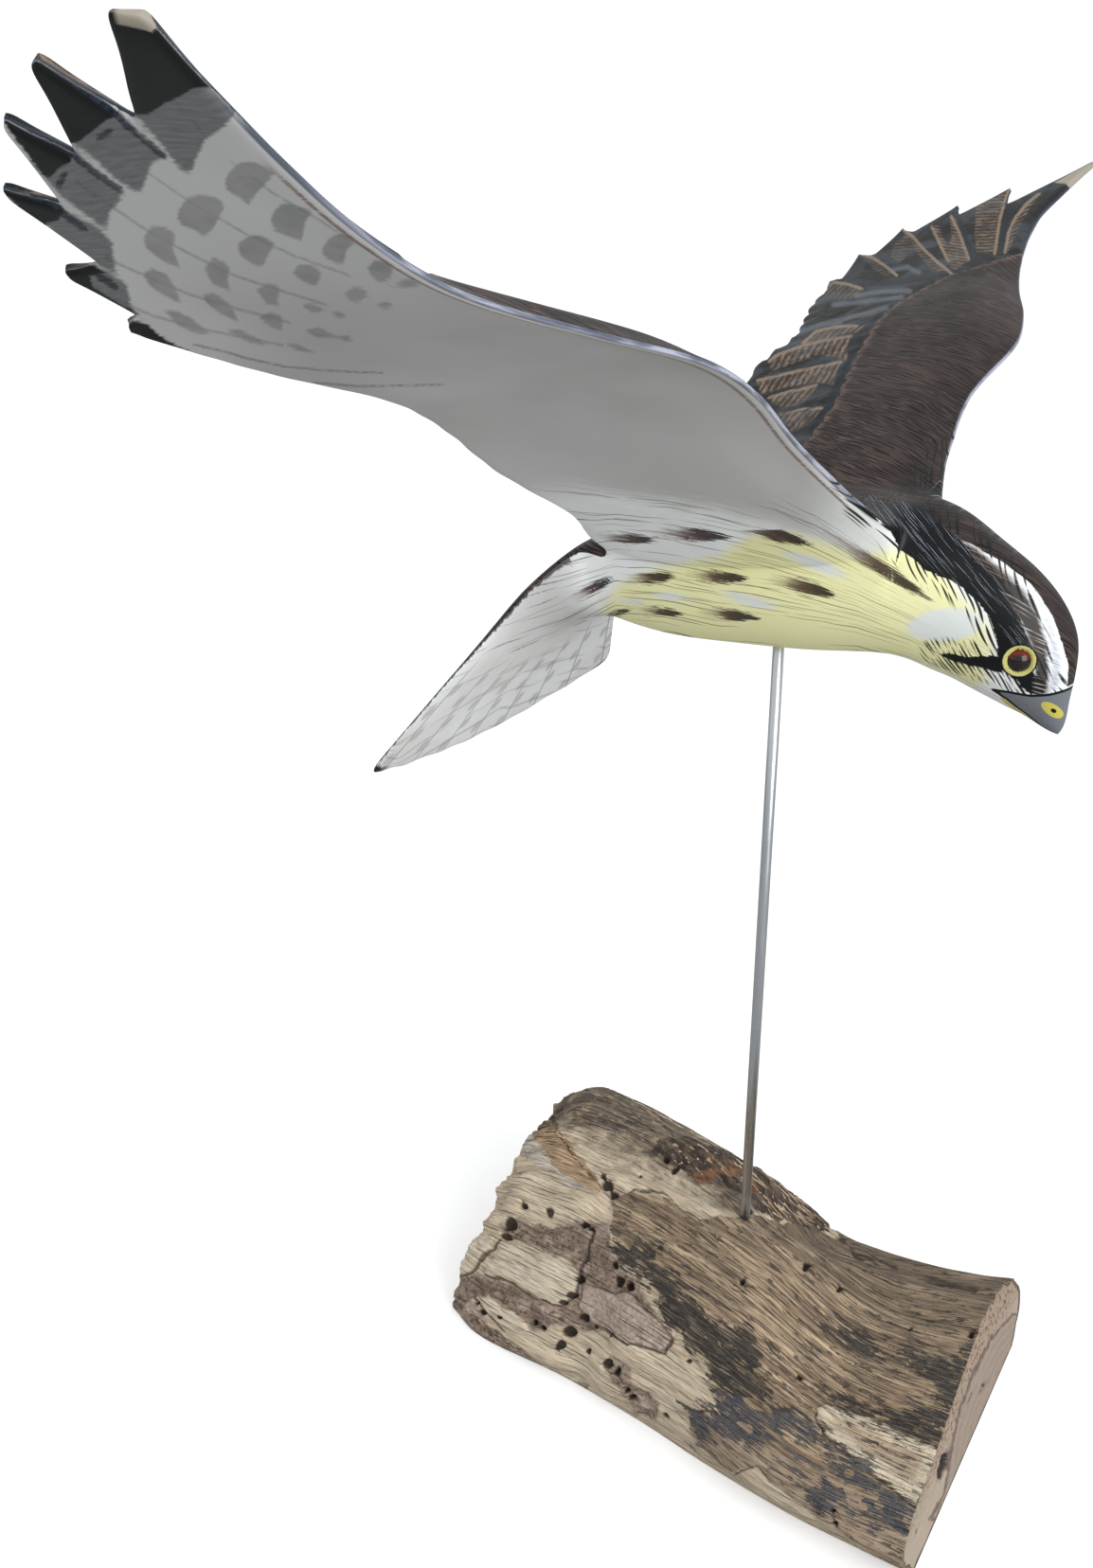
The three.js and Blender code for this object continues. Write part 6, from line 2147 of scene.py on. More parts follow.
covert = s.field("covert")
back = s.step(s.times_plus(rough_edge, 1.2, s.field("back")), -0.2, 0.3)
winged = s.step(wing_out, 6.0, 20.0)
aslant = s.times_plus(covert, 0.45, wing_out)
run_along = s.mix(
    winged, s.vector(along, around), s.vector(s.times_plus(wing_out, -0.35, covert), aslant)
)
run = s.add("ShaderNodeSeparateXYZ", run_along).outputs
cuts = strokes(
    run[0], run[1], Length=13.0, Spacing=1.6, Width=0.5, Share=0.85, Seed=21.0, Wander=1.0
)
rubbed = strokes(
    run[0], run[1], Length=9.0, Spacing=1.3, Width=0.4, Share=0.6, Seed=34.0, Wander=1.0
)
bare = s.step(s.noise(place, 45.0, 3.0, 0.6), 0.42, 0.66)
near_root = both(s.step(wing_out, 100.0, 60.0), s.step(wing_out, 20.0, 50.0))
bare = either(bare, s.times(near_root, s.step(s.noise(place, 60.0, 2.0), 0.4, 0.6)))
tuft_edge = both(
    s.step(s.times_plus(s.minus(s.noise(place, 260.0, 2.0), 0.5), 5.0, covert), 4.2, 0.6),
    s.step(covert, -0.4, 0.2)
)
worn_tone = s.mix(s.noise(place, 150.0, 2.0), WORN_BROWN, BACK_TAN)
cover_tone = s.coat(handled["Blotches"], COVERT_DARK, COVERT_BROWN)
cover_tone.lay(both(rubbed, s.step(bare, 0.0, 1.0, 0.22, 0.75)), worn_tone)
cover_tone.lay(
    both(tuft_edge, s.step(wing_out, 30.0, 60.0), s.times_plus(handled["Fine"], 0.5, 0.4)), TUFT_TAN
)
cover_tone.lay(cuts, CUT_BLACK, 0.92)
slaty = s.step(s.noise(place, 55.0, 3.0, 0.6), 0.42, 0.62)
flight_tone = s.coat(slaty, FLIGHT_BLACK, FLIGHT_SLATE)
flight_grain = s.noise(s.vector(s.times(covert, 0.1), s.times(aslant, 1.3), 3.0), 1.0, 3.0, 0.6)
flight_tone.lay(s.step(flight_grain, 0.5, 0.75, 0.0, 0.45), FLIGHT_WORN)
uneven = s.minus(s.noise(place, 320.0, 2.0), 0.5)
stroke = s.sum("SINE", s.times(s.times_plus(uneven, 1.1, s.field("hatching")), 6.2832))
stroke = s.step(s.times_plus(uneven, 2.0, stroke), -0.5, 0.6)
vane_mask = both(mark("vane", 1.2, 0.4), s.field("vane_share"))
flight_tone.lay(
    both(vane_mask, s.times_plus(stroke, 0.72, 0.12)),
    s.mix(s.step(s.noise(place, 180.0, 2.0), 0.35, 0.65), BARB_BROWN, BARB_TAN)
)
ridge = s.step(s.times_plus(rough_edge, 0.9, s.field("ridge")), 0.75, 0.25)
flight_tone.lay(ridge, RIDGE_TAN, 0.75)
flight_tone.lay(both(mark("gap", 1.4, 0.6), s.minus(0.9, s.times(ridge, 0.9))), GAP_BLACK)
pale_streak = s.step(s.times_plus(rough_edge, 1.6, s.field("pale_streak")), 1.3, 0.2)
flight_tone.lay(pale_streak, STREAK_GREY, 0.55)
is_flight = both(without(s.step(covert, -0.3, 0.3)), s.step(wing_out, 20.0, 34.0))
upper_tone = s.coat(is_flight, cover_tone, flight_tone)
finger_rim = both(
    s.step(wing_out, 240.0, 262.0), s.step(upper, 0.25, 0.4), without(s.step(upper, 0.9, 0.99))
)
upper_tone.lay(finger_rim, FINGER_BLUE, 0.85)
colour.lay(back, upper_tone)
print("nodes with the upper side:", len(bird_paint.node_tree.nodes))

# %% [markdown]
# The front edge of a wing is where two coats meet. The painter drew a thin orange-brown line under
# it. The blue and blue-white on the rim itself are a painted highlight, the sheen of the glossy
# edge.

# %% Bird material: front rim of the wings
RIM_BLUE, RIM_HIGHLIGHT, RIM_BROWN = (0.10, 0.12, 0.17), (0.46, 0.48, 0.58), (0.075, 0.06, 0.055)
RIM_TIP, BLUNT_WOOD = (0.055, 0.07, 0.105), (0.42, 0.37, 0.30)

front_lane = without(s.step(wing_lane, 0.05, 0.09))
inner_front = both(
    front_lane, s.step(wing_out, 24.0, 44.0), without(s.step(wing_out, 268.0, 282.0))
)
rim = both(inner_front, s.step(upper, 0.10, 0.25), without(s.step(upper, 0.62, 0.9)))
rim_highlight_breakup = s.noise(s.vector(s.times(wing_out, 0.05), s.times(upper, 1.2)), 1.0, 3.0, 0.6)
# Painted highlight: blue and blue-white sheen along the rounded front edge.
rim_tone = s.coat(s.step(rim_highlight_breakup, 0.4, 0.6), RIM_BLUE, RIM_HIGHLIGHT)
rim_tone.lay(s.step(upper, 0.42, 0.18, 0.0, 0.75), RIM_BROWN)
rim_tone.lay(s.step(wing_out, 215.0, 262.0), RIM_TIP)
colour.lay(rim, rim_tone, 0.92)
line = both(
    s.step(s.times_plus(rough_edge, 0.05, wing_lane), 0.03, 0.055),
    without(s.step(wing_lane, 0.09, 0.13)), low_side
)
line = both(
    line, s.step(wing_out, 34.0, 50.0), without(s.step(wing_out, 250.0, 262.0)),
    s.step(brush, 0.28, 0.45)
)
colour.lay(line, EDGE_ORANGE, 0.8)
blunt_tip = both(
    without(s.step(wing_lane, 0.7, 0.9)),
    s.step(s.times_plus(rough_edge, 1.6, wing_out), 291.4, 292.3)
)
colour.lay(blunt_tip, BLUNT_WOOD, 0.9)
print("nodes with the rims:", len(bird_paint.node_tree.nodes))

# %% [markdown]
# The head comes last. The band's lower edge is drawn out into spikes, streaks of tan and white
# cover the cheek behind the brow, and the eye has a lemon lid outlined in black. Blue-white hairs
# on the upper end of the band are a painted highlight, the sheen of its glossy black.

# %% Bird material: head
CHEEK_WHITE, CHEEK_TAN, CHEEK_BLACK = (0.46, 0.45, 0.44), (0.22, 0.155, 0.10), (0.008, 0.007, 0.007)
CHEEK_BROWN, BLUE_HIGHLIGHT_HAIR, ICE_HIGHLIGHT_HAIR = (0.030, 0.022, 0.018), (0.25, 0.29, 0.38), (0.62, 0.66, 0.74)
BROW_GREY, BROW_WHITE, BILL_LIGHT = (0.42, 0.44, 0.50), (0.74, 0.76, 0.80), (0.20, 0.215, 0.235)
LID_LEMON = (0.60, 0.57, 0.20)

axes = s.add("ShaderNodeSeparateXYZ", place).outputs
down_cheek = s.plus(s.times(axes[0], 490.0), s.times(axes[2], -870.0))
over_cheek = s.plus(s.times(axes[0], 870.0), s.times(axes[2], 490.0))
spikes = strokes(down_cheek, over_cheek, Length=11.0, Spacing=1.5, Width=0.5, Share=0.92, Seed=5.0)
band = either(mark("band", 1.8, 0.2), both(spikes, mark("band", 0.0, 1.2, 5.2)))
colour.lay(band, BAND_BLACK)
streak_light = strokes(
    along, around, Length=13.0, Spacing=1.4, Width=0.3, Share=0.5, Seed=55.0, Wander=0.9
)
streaked = mark("streaked", 1.5, 0.8)
streak_tone = s.mix(s.step(s.noise(place, 110.0, 2.0), 0.42, 0.58), CHEEK_WHITE, CHEEK_TAN)
colour.lay(streaked, s.mix(handled["Fine"], CHEEK_BLACK, CHEEK_BROWN), 0.95)
colour.lay(both(streaked, streak_light), streak_tone)
# Painted highlight: blue-white hairs on the upper end of the band.
highlight_hairs = strokes(
    s.times_plus(hair_across, 0.9, hair_along), s.minus(hair_across, s.times(hair_along, 0.75)),
    Length=12.0, Spacing=2.2, Width=0.22, Share=0.42, Seed=71.0, Wander=0.4
)
band_highlight_zone = both(mark("band", 2.0, 1.0, 1.2), s.step(s.field("band_highlight_zone"), -1.0, 1.0))
colour.lay(both(highlight_hairs, band_highlight_zone), s.mix(handled["Fine"], BLUE_HIGHLIGHT_HAIR, ICE_HIGHLIGHT_HAIR))
brow = mark("brow", 3.0, 0.9, -0.7)
brow_tone = s.mix(
    s.step(s.noise(s.vector(s.times(along, 0.08), around), 1.3, 3.0), 0.35, 0.65), BROW_GREY,
    BROW_WHITE
)
colour.lay(brow, brow_tone, 0.95)
bill_edge = s.sum("ABSOLUTE", s.field("bill"))
bill = s.step(s.field("bill"), -0.1, 0.1)
colour.lay(s.step(s.field("bill_under"), -0.1, 0.3), YELLOW_SKIN)
colour.lay(bill, s.mix(handled["Fine"], BILL_SLATE, BILL_LIGHT))
cere = s.step(s.field("cere"), -0.08, 0.1)
colour.lay(both(cere, bill), YELLOW_SKIN)
colour.lay(s.step(s.field("nostril"), -0.05, 0.12), BAND_BLACK)
bill_line = both(without(s.step(bill_edge, 0.35, 0.6)), s.step(along, 1.0, 3.0))
colour.lay(bill_line, BAND_BLACK)
eye_distance = s.times_plus(fine_edge, 0.25, s.field("eye_distance"))
socket_black = without(s.step(eye_distance, 5.3, 5.6))
lid = without(s.step(eye_distance, 4.82, 5.0))
colour.lay(socket_black, BAND_BLACK)
colour.lay(lid, LID_LEMON)
print("paint:", len(bird_paint.node_tree.nodes), "nodes")

# %% [markdown]
# Paint on carved wood is satin, the black and brown glossier than the chalky white. The cuts and
# hairs sink a little, so the same masks drive the bump.

# %% Bird material: gloss and bump
shiny = either(either(band, rim), s.times(bill, 0.6))
gloss = s.minus(s.step(shiny, 0.0, 1.0, 0.55, 0.36), s.times(handled["Blotches"], 0.08))
relief = s.times(handled["Height"], 0.25)
relief = s.minus(relief, s.times(both(cuts, back, without(is_flight)), 0.5))
relief = s.plus(relief, s.times(both(stroke, vane_mask, is_flight, back), 0.4))
s.fill(bird_socket, {
    "Base Color": colour, "Roughness": gloss, "Normal": s.bump(relief, 0.6, 0.4),
    "Coat Weight": s.times(shiny, 0.15), "Coat Roughness": 0.18, "Specular IOR Level": 0.16,
})
skin.materials.clear()
skin.materials.append(bird_paint)
print("bird finished:", len(bird_paint.node_tree.nodes), "nodes")

# %% [markdown]
# Driftwood has no one colour. Sapwood is pale, the crust that held the bark is brown, the old shell
# is tan with dark fibres, and patches of black coating still cling to it. The patches looked up
# before now choose the colour, and the fibres run along the log over all of them.

# %% Log material: fibres
PALE_WOOD, TAN_WOOD, DARK_TAN = (0.84, 0.69, 0.49), (0.52, 0.38, 0.24), (0.15, 0.10, 0.063)
CRUST_BROWN, CRUST_PINK = (0.33, 0.235, 0.175), (0.56, 0.43, 0.34)
RED_BARK, OLD_GREY, COATING_BLACK = (0.30, 0.14, 0.065), (0.15, 0.115, 0.085), (0.009, 0.010, 0.011)
COATING_SLATE, SPLINTER_ORANGE = (0.085, 0.10, 0.13), (0.74, 0.52, 0.32)
CUT_TAN, HOLE_SHADE = (0.35, 0.275, 0.215), (0.022, 0.013, 0.009)
WOOD_SHADE, WOOD_LIGHT, PANEL_SHADE = (0.70, 0.56, 0.40), (0.90, 0.76, 0.56), (0.74, 0.62, 0.46)
PANEL_LIGHT, CRUST_SPECK = (0.93, 0.83, 0.67), (0.10, 0.066, 0.045)
TONGUE_BROWN, TONGUE_PINK = (0.49, 0.365, 0.285), (0.70, 0.55, 0.45)
TONGUE_RIM, SPLINTER_BROWN, BLEACHED = (0.09, 0.06, 0.045), (0.30, 0.19, 0.11), (0.90, 0.84, 0.75)
BLEACHED_GREY = (0.42, 0.36, 0.29)

driftwood, s, wood_socket = new_material("weathered_driftwood")
place = s.place()
along, around = s.field("log_along"), s.field("log_around")


def fibre(along_by, around_by, shift, detail=3.0, rough_by=0.6):
    return s.noise(
        s.vector(s.times(along, along_by), s.times(around, around_by), shift), 1.0, detail, rough_by
    )


broad, streaks, threads = fibre(0.02, 0.22, 0.0), fibre(
    0.03, 0.85, 9.0, 4.0, 0.7
), fibre(0.09, 2.6, 4.0)
fray, islands = fibre(0.10, 1.1, 12.0, 4.0, 0.7), fibre(0.14, 0.30, 7.0, 5.0, 0.7)
mottle = s.noise(place, 120.0, 5.0, 0.65)
speck = s.noise(place, 560.0, 3.0, 0.6)
handled = s.use(HANDLED, Place=place, Blotch=55.0, Grain=1800.0)
ragged = s.minus(mottle, 0.5)
cracks = strokes(
    along, around, Length=15.0, Spacing=1.7, Width=0.24, Share=0.45, Seed=2.0, Wander=0.25
)
fine_cracks = strokes(
    along, around, Length=6.0, Spacing=0.8, Width=0.15, Share=0.5, Seed=9.0, Wander=0.2
)


def log_patch(name, ragged_by=3.0, low=-0.25, high=0.35):
    return s.step(s.times_plus(ragged, ragged_by, s.field("log_" + name)), low, high)


def part_of(mask, share):
    return s.times(mask, share)


shell, tongue, panel = log_patch("shell", 0.0), log_patch("tongue", 0.8), log_patch("panel", 1.0)
crust = s.times(log_patch("crust", 7.0, -0.5, 1.2), s.minus(1.0, panel))
tone = s.coat(s.step(broad, 0.35, 0.65), WOOD_SHADE, WOOD_LIGHT)
tone.lay(s.step(streaks, 0.5, 0.72), TAN_WOOD, 0.55)
colour = s.coat(part_of(s.step(threads, 0.55, 0.75), 0.24), tone, DARK_TAN)
colour.lay(panel, s.mix(s.step(streaks, 0.4, 0.6), PANEL_SHADE, PANEL_LIGHT), 0.7)
crust_tone = s.coat(s.step(mottle, 0.38, 0.62), CRUST_BROWN, CRUST_PINK)
crust_tone.lay(s.step(speck, 0.5, 0.66, 0.0, 0.75), CRUST_SPECK)
colour.lay(crust, crust_tone)
tongue_tone = s.mix(s.step(speck, 0.35, 0.65), TONGUE_BROWN, TONGUE_PINK)
colour.lay(tongue, tongue_tone)
tongue_edge = s.step(s.sum("ABSOLUTE", s.times_plus(ragged, 0.8, s.field("log_tongue"))), 0.7, 0.1)
colour.lay(tongue_edge, TONGUE_RIM, 0.6)
colour.lay(
    log_patch("splinters", 1.5), s.mix(s.step(threads, 0.42, 0.6), SPLINTER_ORANGE, SPLINTER_BROWN)
)
colour.lay(log_patch("white", 2.5), s.mix(s.step(threads, 0.4, 0.6), BLEACHED, BLEACHED_GREY), 0.85)
print("driftwood:", len(driftwood.node_tree.nodes), "nodes")

# %% [markdown]
# The shell is darker and greyer towards the top of the log, where rain stood. Its black coating is
# broken by islands of bare wood and frayed along the grain, so its mask is the outline cut twice
# more by chance. Low down the coating is slate blue, with round cells of bare wood in it.

# %% Log material: shell, coating and borings
SHELL_BROWN, SHELL_TAN, SHELL_THREAD = (0.34, 0.24, 0.15), (0.72, 0.535, 0.35), (0.55, 0.44, 0.31)
SHELL_DARK, LOW_TAN, TOP_BROWN = (0.065, 0.045, 0.032), (0.50, 0.375, 0.265), (0.21, 0.155, 0.11)
TOP_BLACK, ISLAND_TAN, BARE_EDGE = (0.028, 0.021, 0.016), (0.42, 0.30, 0.19), (0.80, 0.66, 0.49)
BOARD_LIGHT, BOARD_TAN, BOARD_STREAK = (0.86, 0.73, 0.54), (0.62, 0.48, 0.33), (0.36, 0.265, 0.175)
BARK_DARK, BARK_BROWN = (0.055, 0.038, 0.030), (0.20, 0.14, 0.095)
COATING_DUST, SLATE_DARK = (0.032, 0.032, 0.030), (0.035, 0.04, 0.05)
COATING_WORN, CRACK_DARK, DEEP_CRACK_SHADE = (0.30, 0.23, 0.16), (0.04, 0.028, 0.02), (0.045, 0.03, 0.022)

shell_tone = s.coat(s.step(broad, 0.35, 0.65), SHELL_BROWN, SHELL_TAN)
shell_tone.lay(s.step(streaks, 0.48, 0.62), DARK_TAN, 0.85)
shell_tone.lay(s.step(threads, 0.42, 0.3), SHELL_THREAD, 0.35)
shell_tone.lay(s.step(threads, 0.53, 0.64), SHELL_DARK, 0.8)
high_up = s.step(s.times_plus(ragged, 40.0, around), 78.0, 130.0)
colour.lay(shell, s.mix(part_of(high_up, 0.5), shell_tone, OLD_GREY))
smooth_low = s.times(shell, s.step(s.times_plus(ragged, 12.0, around), 38.0, 26.0))
colour.lay(smooth_low, LOW_TAN, 0.65)
above = s.step(s.field("log_shell"), -0.5, -4.0)
top_side = s.times(s.step(s.times_plus(ragged, 36.0, around), 88.0, 108.0), above)
top_tone = s.mix(s.step(streaks, 0.40, 0.58), TOP_BROWN, TOP_BLACK)
colour.lay(top_side, s.mix(s.step(islands, 0.5, 0.62), top_tone, ISLAND_TAN), 0.85)
shell_edge = s.times(
    s.step(s.sum("ABSOLUTE", s.field("log_shell")), 0.9, 0.2), s.step(around, 96.0, 84.0)
)
colour.lay(shell_edge, BARE_EDGE, 0.75)
board = log_patch("board", 0.3)
board_tone = s.coat(s.step(s.field("log_board"), 3.5, 6.5), BOARD_LIGHT, BOARD_TAN)
board_tone.lay(s.step(streaks, 0.45, 0.65), BOARD_STREAK, 0.5)
colour.lay(board, board_tone, 0.95)
bark = log_patch("bark", 5.0)
bark_tone = s.mix(s.step(islands, 0.42, 0.6), BARK_DARK, BARK_BROWN)
colour.lay(
    bark,
    s.mix(
        s.times(s.step(mottle, 0.44, 0.58), log_patch("orange", 12.0, -1.0, 1.5)), bark_tone,
        RED_BARK
    )
)
flat_black = s.sum("MINIMUM", s.field("log_black"), 3.2)
drawn = s.times_plus(s.minus(islands, 0.5), 26.0, flat_black)
drawn = s.times_plus(s.minus(fray, 0.5), 24.0, drawn)
drawn = s.times_plus(s.minus(threads, 0.5), 12.0, drawn)
drawn = s.minus(drawn, s.step(s.field("log_cell"), -0.4, 0.3, 0.0, 20.0))
coating = s.step(drawn, -0.3, 0.9)
flecks = fibre(0.10, 0.46, 1.0, 5.0, 0.72)
fleck = part_of(s.times(s.step(flecks, 0.55, 0.575), s.sum("MAXIMUM", shell, top_side)), 0.85)
slate = log_patch("slate", 4.0, -1.0, 1.0)
dusty = s.step(handled["Fine"], 0.35, 0.65)
coat_tone = s.coat(
    slate, s.mix(dusty, COATING_BLACK, COATING_DUST), s.mix(dusty, SLATE_DARK, COATING_SLATE)
)
coat_tone.lay(s.step(threads, 0.56, 0.60), COATING_WORN, 0.75)
colour.lay(s.sum("MAXIMUM", coating, fleck), coat_tone, 0.94)
colour.lay(cracks, CRACK_DARK, 0.6)
colour.lay(fine_cracks, CRACK_DARK, s.step(shell, 0.0, 1.0, 0.3, 0.8))
# Painted shade: dark lines in the carved cracks, many of them along the edges of the raised
# patches.
colour.lay(s.step(s.field("log_crack"), 0.75, 0.25), DEEP_CRACK_SHADE, 0.75)
print("driftwood:", len(driftwood.node_tree.nodes), "nodes")

# %% [markdown]
# The sawn end has a pale, porous rim and a smooth tan core with a dark ring line between them, and
# the scratches of the saw. The borings, in the face as on the log, are dark inside: painted shade
# in the holes.

# %% Log material: ends, gloss and bump
SAPWOOD_TAN, PORE_BROWN = (0.38, 0.285, 0.21), (0.13, 0.082, 0.06)
LOW_SAPWOOD, HEART_RING = (0.42, 0.345, 0.265), (0.24, 0.185, 0.145)
RING_DARK = (0.085, 0.055, 0.05)

core = s.field("log_core")
cut = s.step(s.field("log_end"), 0.5, 0.6)
sawn = s.times(cut, s.step(s.field("log_end"), 1.5, 1.4))
in_core = s.step(s.times_plus(ragged, 2.0, core), -0.2, 0.3)
ring_wave = s.sum("SINE", s.times(s.times_plus(ragged, 3.0, core), 3.4))
rim_tone = s.mix(s.step(speck, 0.5, 0.62), SAPWOOD_TAN, PORE_BROWN)
rim_tone = s.mix(
    s.step(s.add("ShaderNodeSeparateXYZ", place).outputs[2], 0.010, 0.030), LOW_SAPWOOD, rim_tone
)
core_tone = s.mix(s.step(ring_wave, -1.0, 1.0, 0.0, 0.35), CUT_TAN, HEART_RING)
cut_tone = s.coat(in_core, rim_tone, core_tone)
ring_line = s.step(s.sum("ABSOLUTE", s.times_plus(ragged, 2.4, core)), 0.75, 0.2)
cut_tone.lay(ring_line, RING_DARK, 0.7)
colour.lay(sawn, cut_tone)
colour.lay(s.minus(cut, sawn), s.mix(s.step(mottle, 0.35, 0.65), DARK_TAN, PALE_WOOD))
# Painted shade: the borings and the slot are near black inside.
colour.lay(s.step(s.field("log_pit"), 0.2, 0.75), HOLE_SHADE, 0.93)
height = s.times_plus(threads, 0.7, s.times(mottle, 0.35))
height = s.times_plus(streaks, 0.6, height)
height = s.times_plus(speck, s.step(crust, 0.0, 1.0, 0.15, 0.8), height)
height = s.times_plus(coating, 0.3, height)
height = s.minus(height, s.times(s.sum("MAXIMUM", cracks, fine_cracks), 0.8))
gloss = s.step(s.times(coating, handled["Fine"]), 0.1, 0.9, 0.88, 0.42)
s.fill(wood_socket, {"Base Color": colour, "Roughness": gloss, "Normal": s.bump(height, 1.0, 1.5)})
log_mesh.materials.clear()
log_mesh.materials.append(driftwood)
print("driftwood:", len(driftwood.node_tree.nodes), "nodes")

# %% [markdown]
# The rod is bright drawn steel: fine scratches run along it, and it is a little duller near the log
# where dust settles. The eyes are dark brown glass, black in the middle, under a clear hard coat.

# %% Rod and eye materials
STEEL_GREY, STEEL_BRIGHT, EYE_DARK = (0.50, 0.53, 0.56), (0.66, 0.68, 0.70), (0.010, 0.006, 0.006)
EYE_RED, EYE_BLACK = (0.20, 0.022, 0.012), (0.008, 0.005, 0.005)

steel, s, steel_socket = new_material("drawn_steel")
place = s.place()
long_place = s.add("ShaderNodeMapping")
long_place.inputs["Scale"].default_value = (1.0, 1.0, 0.03)
s.join(place, long_place.inputs["Vector"])
drawn_lines = s.noise(long_place.outputs["Vector"], 2600.0, 3.0, 0.6)
handled = s.use(HANDLED, Place=place, Blotch=90.0, Grain=1500.0)
height_up = s.add("ShaderNodeSeparateXYZ", place).outputs[2]
dusty = s.times(s.step(height_up, 0.10, 0.062), handled["Blotches"])
gloss = s.plus(s.step(drawn_lines, 0.3, 0.7, 0.24, 0.34), s.times(dusty, 0.3))
s.fill(steel_socket, {
    "Base Color": s.mix(drawn_lines, STEEL_GREY, STEEL_BRIGHT), "Roughness": gloss,
    "Metallic": 1.0, "Normal": s.bump(drawn_lines, 0.25, 0.1),
})
rod.data.materials.append(steel)

for name, side in (("right_eye", -1), ("left_eye", 1)):
    glass, s, glass_socket = new_material(name + "_glass")
    place = s.place()
    middle = Vector(EYE_PLACE * [1, side, 1]) * MM
    from_middle = s.add(
        "ShaderNodeVectorMath", place, tuple(middle), operation="SUBTRACT"
    ).outputs[0]
    axis = Vector(eye_axis * [1, side, 1])
    ahead = s.add(
        "ShaderNodeVectorMath", from_middle, tuple(axis), operation="DOT_PRODUCT"
    ).outputs["Value"]
    lift = s.add("ShaderNodeSeparateXYZ", from_middle).outputs[2]
    iris = s.step(ahead, 0.0030, 0.0041, 0.0, 1.0)
    cloud = s.noise(place, 1400.0, 3.0)
    red = s.times(s.step(lift, 0.0002, 0.0022), s.step(cloud, 0.2, 0.6, 0.6, 1.0))
    tone = s.coat(red, EYE_DARK, EYE_RED)
    tone.lay(iris, EYE_BLACK)
    s.fill(glass_socket, {
        "Base Color": tone, "Roughness": s.step(cloud, 0.3, 0.7, 0.03, 0.08),
        "Coat Weight": 0.45, "Coat Roughness": 0.02, "Specular IOR Level": 0.25,
    })
    eyes[name].data.materials.append(glass)
print("materials:", [m.name for m in bpy.data.materials])

# %% [markdown]
# Where the log is torn, fibres of wood stand off it, by the hundred and no two alike. That is work
# for Geometry Nodes: a tree strews points over the torn faces, puts a thin sliver on each, lays it
# along the grain, and lifts, turns and sizes it by chance with a fixed seed. The result becomes a
# plain mesh, because it doesn't have to be changed any more.

# %% Geometry Nodes: torn fibres
FIBRE_SIZES = {
    "Per square metre": 60000.0, "Length": 7.5 * MM, "Thickness": 0.42 * MM, "Lift": 0.16,
    "Tousle": 0.22,
}
FIBRE_GRAIN = (0.93, -0.10, -0.33)
FIBRE_SIDES, FIBRE_SEED = 5, 11
TORN_TAN, TORN_PALE, TORN_DARK = (0.30, 0.20, 0.125), (0.78, 0.62, 0.44), (0.16, 0.10, 0.065)

torn_wood, s, torn_socket = new_material("torn_wood")
place = s.place()
handled = s.use(HANDLED, Place=place, Blotch=160.0, Grain=1600.0)
torn_tone = s.coat(handled["Blotches"], TORN_TAN, TORN_PALE)
torn_tone.lay(s.step(handled["Fine"], 0.4, 0.7, 0.0, 0.5), TORN_DARK)
gloss = s.step(handled["Blotches"], 0.0, 1.0, 0.75, 0.9)
s.fill(torn_socket, {"Base Color": torn_tone, "Roughness": gloss})

fibre_tree = bpy.data.node_groups.new("torn_fibres", "GeometryNodeTree")
fibre_tree.interface.new_socket("Torn faces", in_out="INPUT", socket_type="NodeSocketGeometry")
size_sockets = {
    label: fibre_tree.interface.new_socket(label, in_out="INPUT", socket_type="NodeSocketFloat")
    for label in FIBRE_SIZES
}
fibre_tree.interface.new_socket("Fibres", in_out="OUTPUT", socket_type="NodeSocketGeometry")
g = Shader(fibre_tree)
given = g.add("NodeGroupInput").outputs
strewn = g.add("GeometryNodeDistributePointsOnFaces", distribute_method="RANDOM")
sliver = g.add("GeometryNodeMeshCone")
sliver.inputs["Vertices"].default_value = FIBRE_SIDES
chance_way = g.add(
    "FunctionNodeRandomValue", (-1.0, -1.0, -1.0), (1.0, 1.0, 1.0), data_type="FLOAT_VECTOR"
)
chance_size = g.add("FunctionNodeRandomValue", data_type="FLOAT")
g.fill(sliver.inputs, {
    "Radius Top": 0.0, "Radius Bottom": given["Thickness"], "Depth": given["Length"],
})
g.fill(strewn.inputs, {
    "Mesh": given["Torn faces"], "Density": given["Per square metre"], "Seed": FIBRE_SEED,
})
chance_size.inputs[2].default_value, chance_size.inputs[3].default_value = 0.45, 1.35
lifted = g.add("ShaderNodeVectorMath", strewn.outputs["Normal"], operation="SCALE")
g.join(given["Lift"], lifted.inputs["Scale"])
tousled = g.add("ShaderNodeVectorMath", chance_way.outputs[0], operation="SCALE")
g.join(given["Tousle"], tousled.inputs["Scale"])
way = g.add(
    "ShaderNodeVectorMath", lifted.outputs[0], tousled.outputs[0], operation="ADD"
).outputs[0]
way = g.add("ShaderNodeVectorMath", way, FIBRE_GRAIN, operation="ADD").outputs[0]
turned_way = g.add("FunctionNodeAlignRotationToVector", axis="Z")
g.join(way, turned_way.inputs["Vector"])
placed = g.add("GeometryNodeInstanceOnPoints")
g.fill(placed.inputs, {
    "Points": strewn.outputs["Points"], "Instance": sliver.outputs["Mesh"],
    "Rotation": turned_way.outputs["Rotation"], "Scale": chance_size.outputs[1],
})
real = g.add("GeometryNodeRealizeInstances", placed.outputs["Instances"])
painted = g.add("GeometryNodeSetMaterial", real.outputs["Geometry"])
painted.inputs["Material"].default_value = torn_wood
g.join(painted.outputs["Geometry"], g.add("NodeGroupOutput").inputs["Fibres"])

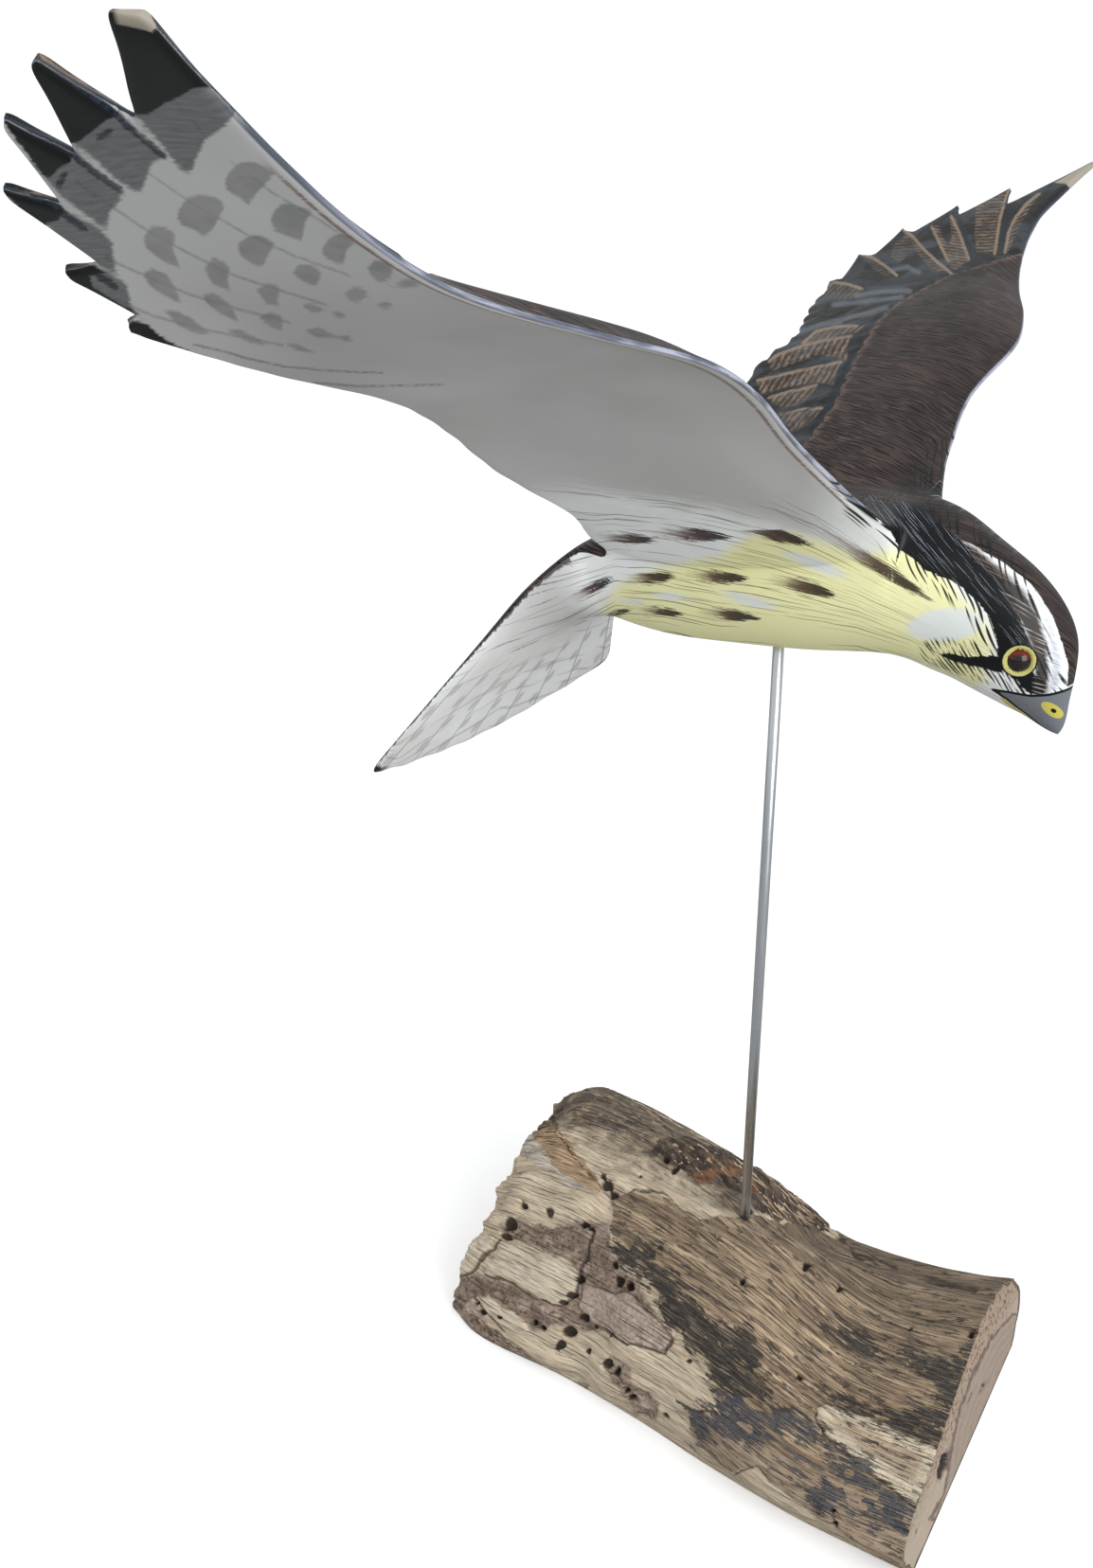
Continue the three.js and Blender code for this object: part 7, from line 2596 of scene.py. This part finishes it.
strewing = fibres.modifiers.new("strewing", "NODES")
strewing.node_group = fibre_tree
for label, value in FIBRE_SIZES.items():
    strewing[size_sockets[label].identifier] = value
fibre_mesh = apply_modifiers(fibres)
fibre_box = read_places(fibre_mesh)
print("fibres:", len(fibre_mesh.polygons) // (FIBRE_SIDES + 1))
print("from", fibre_box.min(axis=0).round(1), "to", fibre_box.max(axis=0).round(1))

# %% [markdown]
# The pieces take the places of the plain ones of the frame and ride on the same body. Nothing of
# this object moves, so there is only the root.

# %% Pieces into the frame
pieces = {"bird": bird, "log_base": log_thing, "rod": rod, **eyes}
for node, piece in pieces.items():
    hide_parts(node)
    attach(piece, "root")
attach(fibres, "root")
for poly in skin.polygons:
    poly.use_smooth = True
print("pieces:", ", ".join(piece.name for piece in pieces.values()))

# %% [markdown]
# A plain pale floor, and soft light from a large window on the right and from all round. The world
# is nearly white, as the photograph was taken against white.

# %% Floor and light
FLOOR_REACH = 40.0
PAPER_GREY, PAPER_WHITE, BOUNCE_GREY = (0.90, 0.90, 0.90), (0.93, 0.93, 0.93), (0.42, 0.42, 0.42)
PAPER_GLOW = 0.3
WINDOW_PLACE, WINDOW_AIM, WINDOW_SIZE = (1.55, -0.75, 0.85), (0, 0, 0.25), 1.3
WINDOW_POWER, WINDOW_TINT = 22.0, (0.97, 0.98, 1.0)
SKY_TINT, SKY_SEEN, SKY_LIGHT = (0.96, 0.98, 1.0, 1), 1.1, 0.85

floor_mesh = bpy.data.meshes.new("floor")
corners = [(x * FLOOR_REACH, y * FLOOR_REACH, 0) for x, y in ((-1, -1), (1, -1), (1, 1), (-1, 1))]
floor_mesh.from_pydata(corners, [], [(0, 1, 2, 3)])
floor = put("floor", floor_mesh)
paper, s, paper_socket = new_material("white_paper")
grain = s.noise(s.place(), 300.0, 2.0)
to_camera = s.add("ShaderNodeLightPath").outputs["Is Camera Ray"]
seen_paper = s.mix(grain, PAPER_GREY, PAPER_WHITE)
s.fill(paper_socket, {
    "Base Color": s.mix(to_camera, BOUNCE_GREY, seen_paper), "Roughness": 0.9,
    "Specular IOR Level": 0.0,
    "Emission Color": (1.0, 1.0, 1.0, 1.0), "Emission Strength": s.times(to_camera, PAPER_GLOW),
})
floor_mesh.materials.append(paper)


def lamp(name, place, aim, size, energy, tint=(1.0, 1.0, 1.0)):
    light = bpy.data.lights.new(name, "AREA")
    light.size, light.energy, light.color = size, energy, tint
    thing = put(name, light)
    thing.location = place
    thing.rotation_euler = (Vector(aim) - Vector(place)).to_track_quat("-Z", "Y").to_euler()
    return thing


lamp("window", WINDOW_PLACE, WINDOW_AIM, WINDOW_SIZE, WINDOW_POWER, WINDOW_TINT)
world = bpy.data.worlds.new("white_room")
world.use_nodes = True
s = Shader(world.node_tree)
background = world.node_tree.nodes["Background"].inputs
background["Color"].default_value = SKY_TINT
to_camera = s.add("ShaderNodeLightPath").outputs["Is Camera Ray"]
s.join(s.step(to_camera, 0.0, 1.0, SKY_LIGHT, SKY_SEEN), background["Strength"])
bpy.context.scene.view_settings.view_transform = "Standard"
bpy.context.scene.world = world
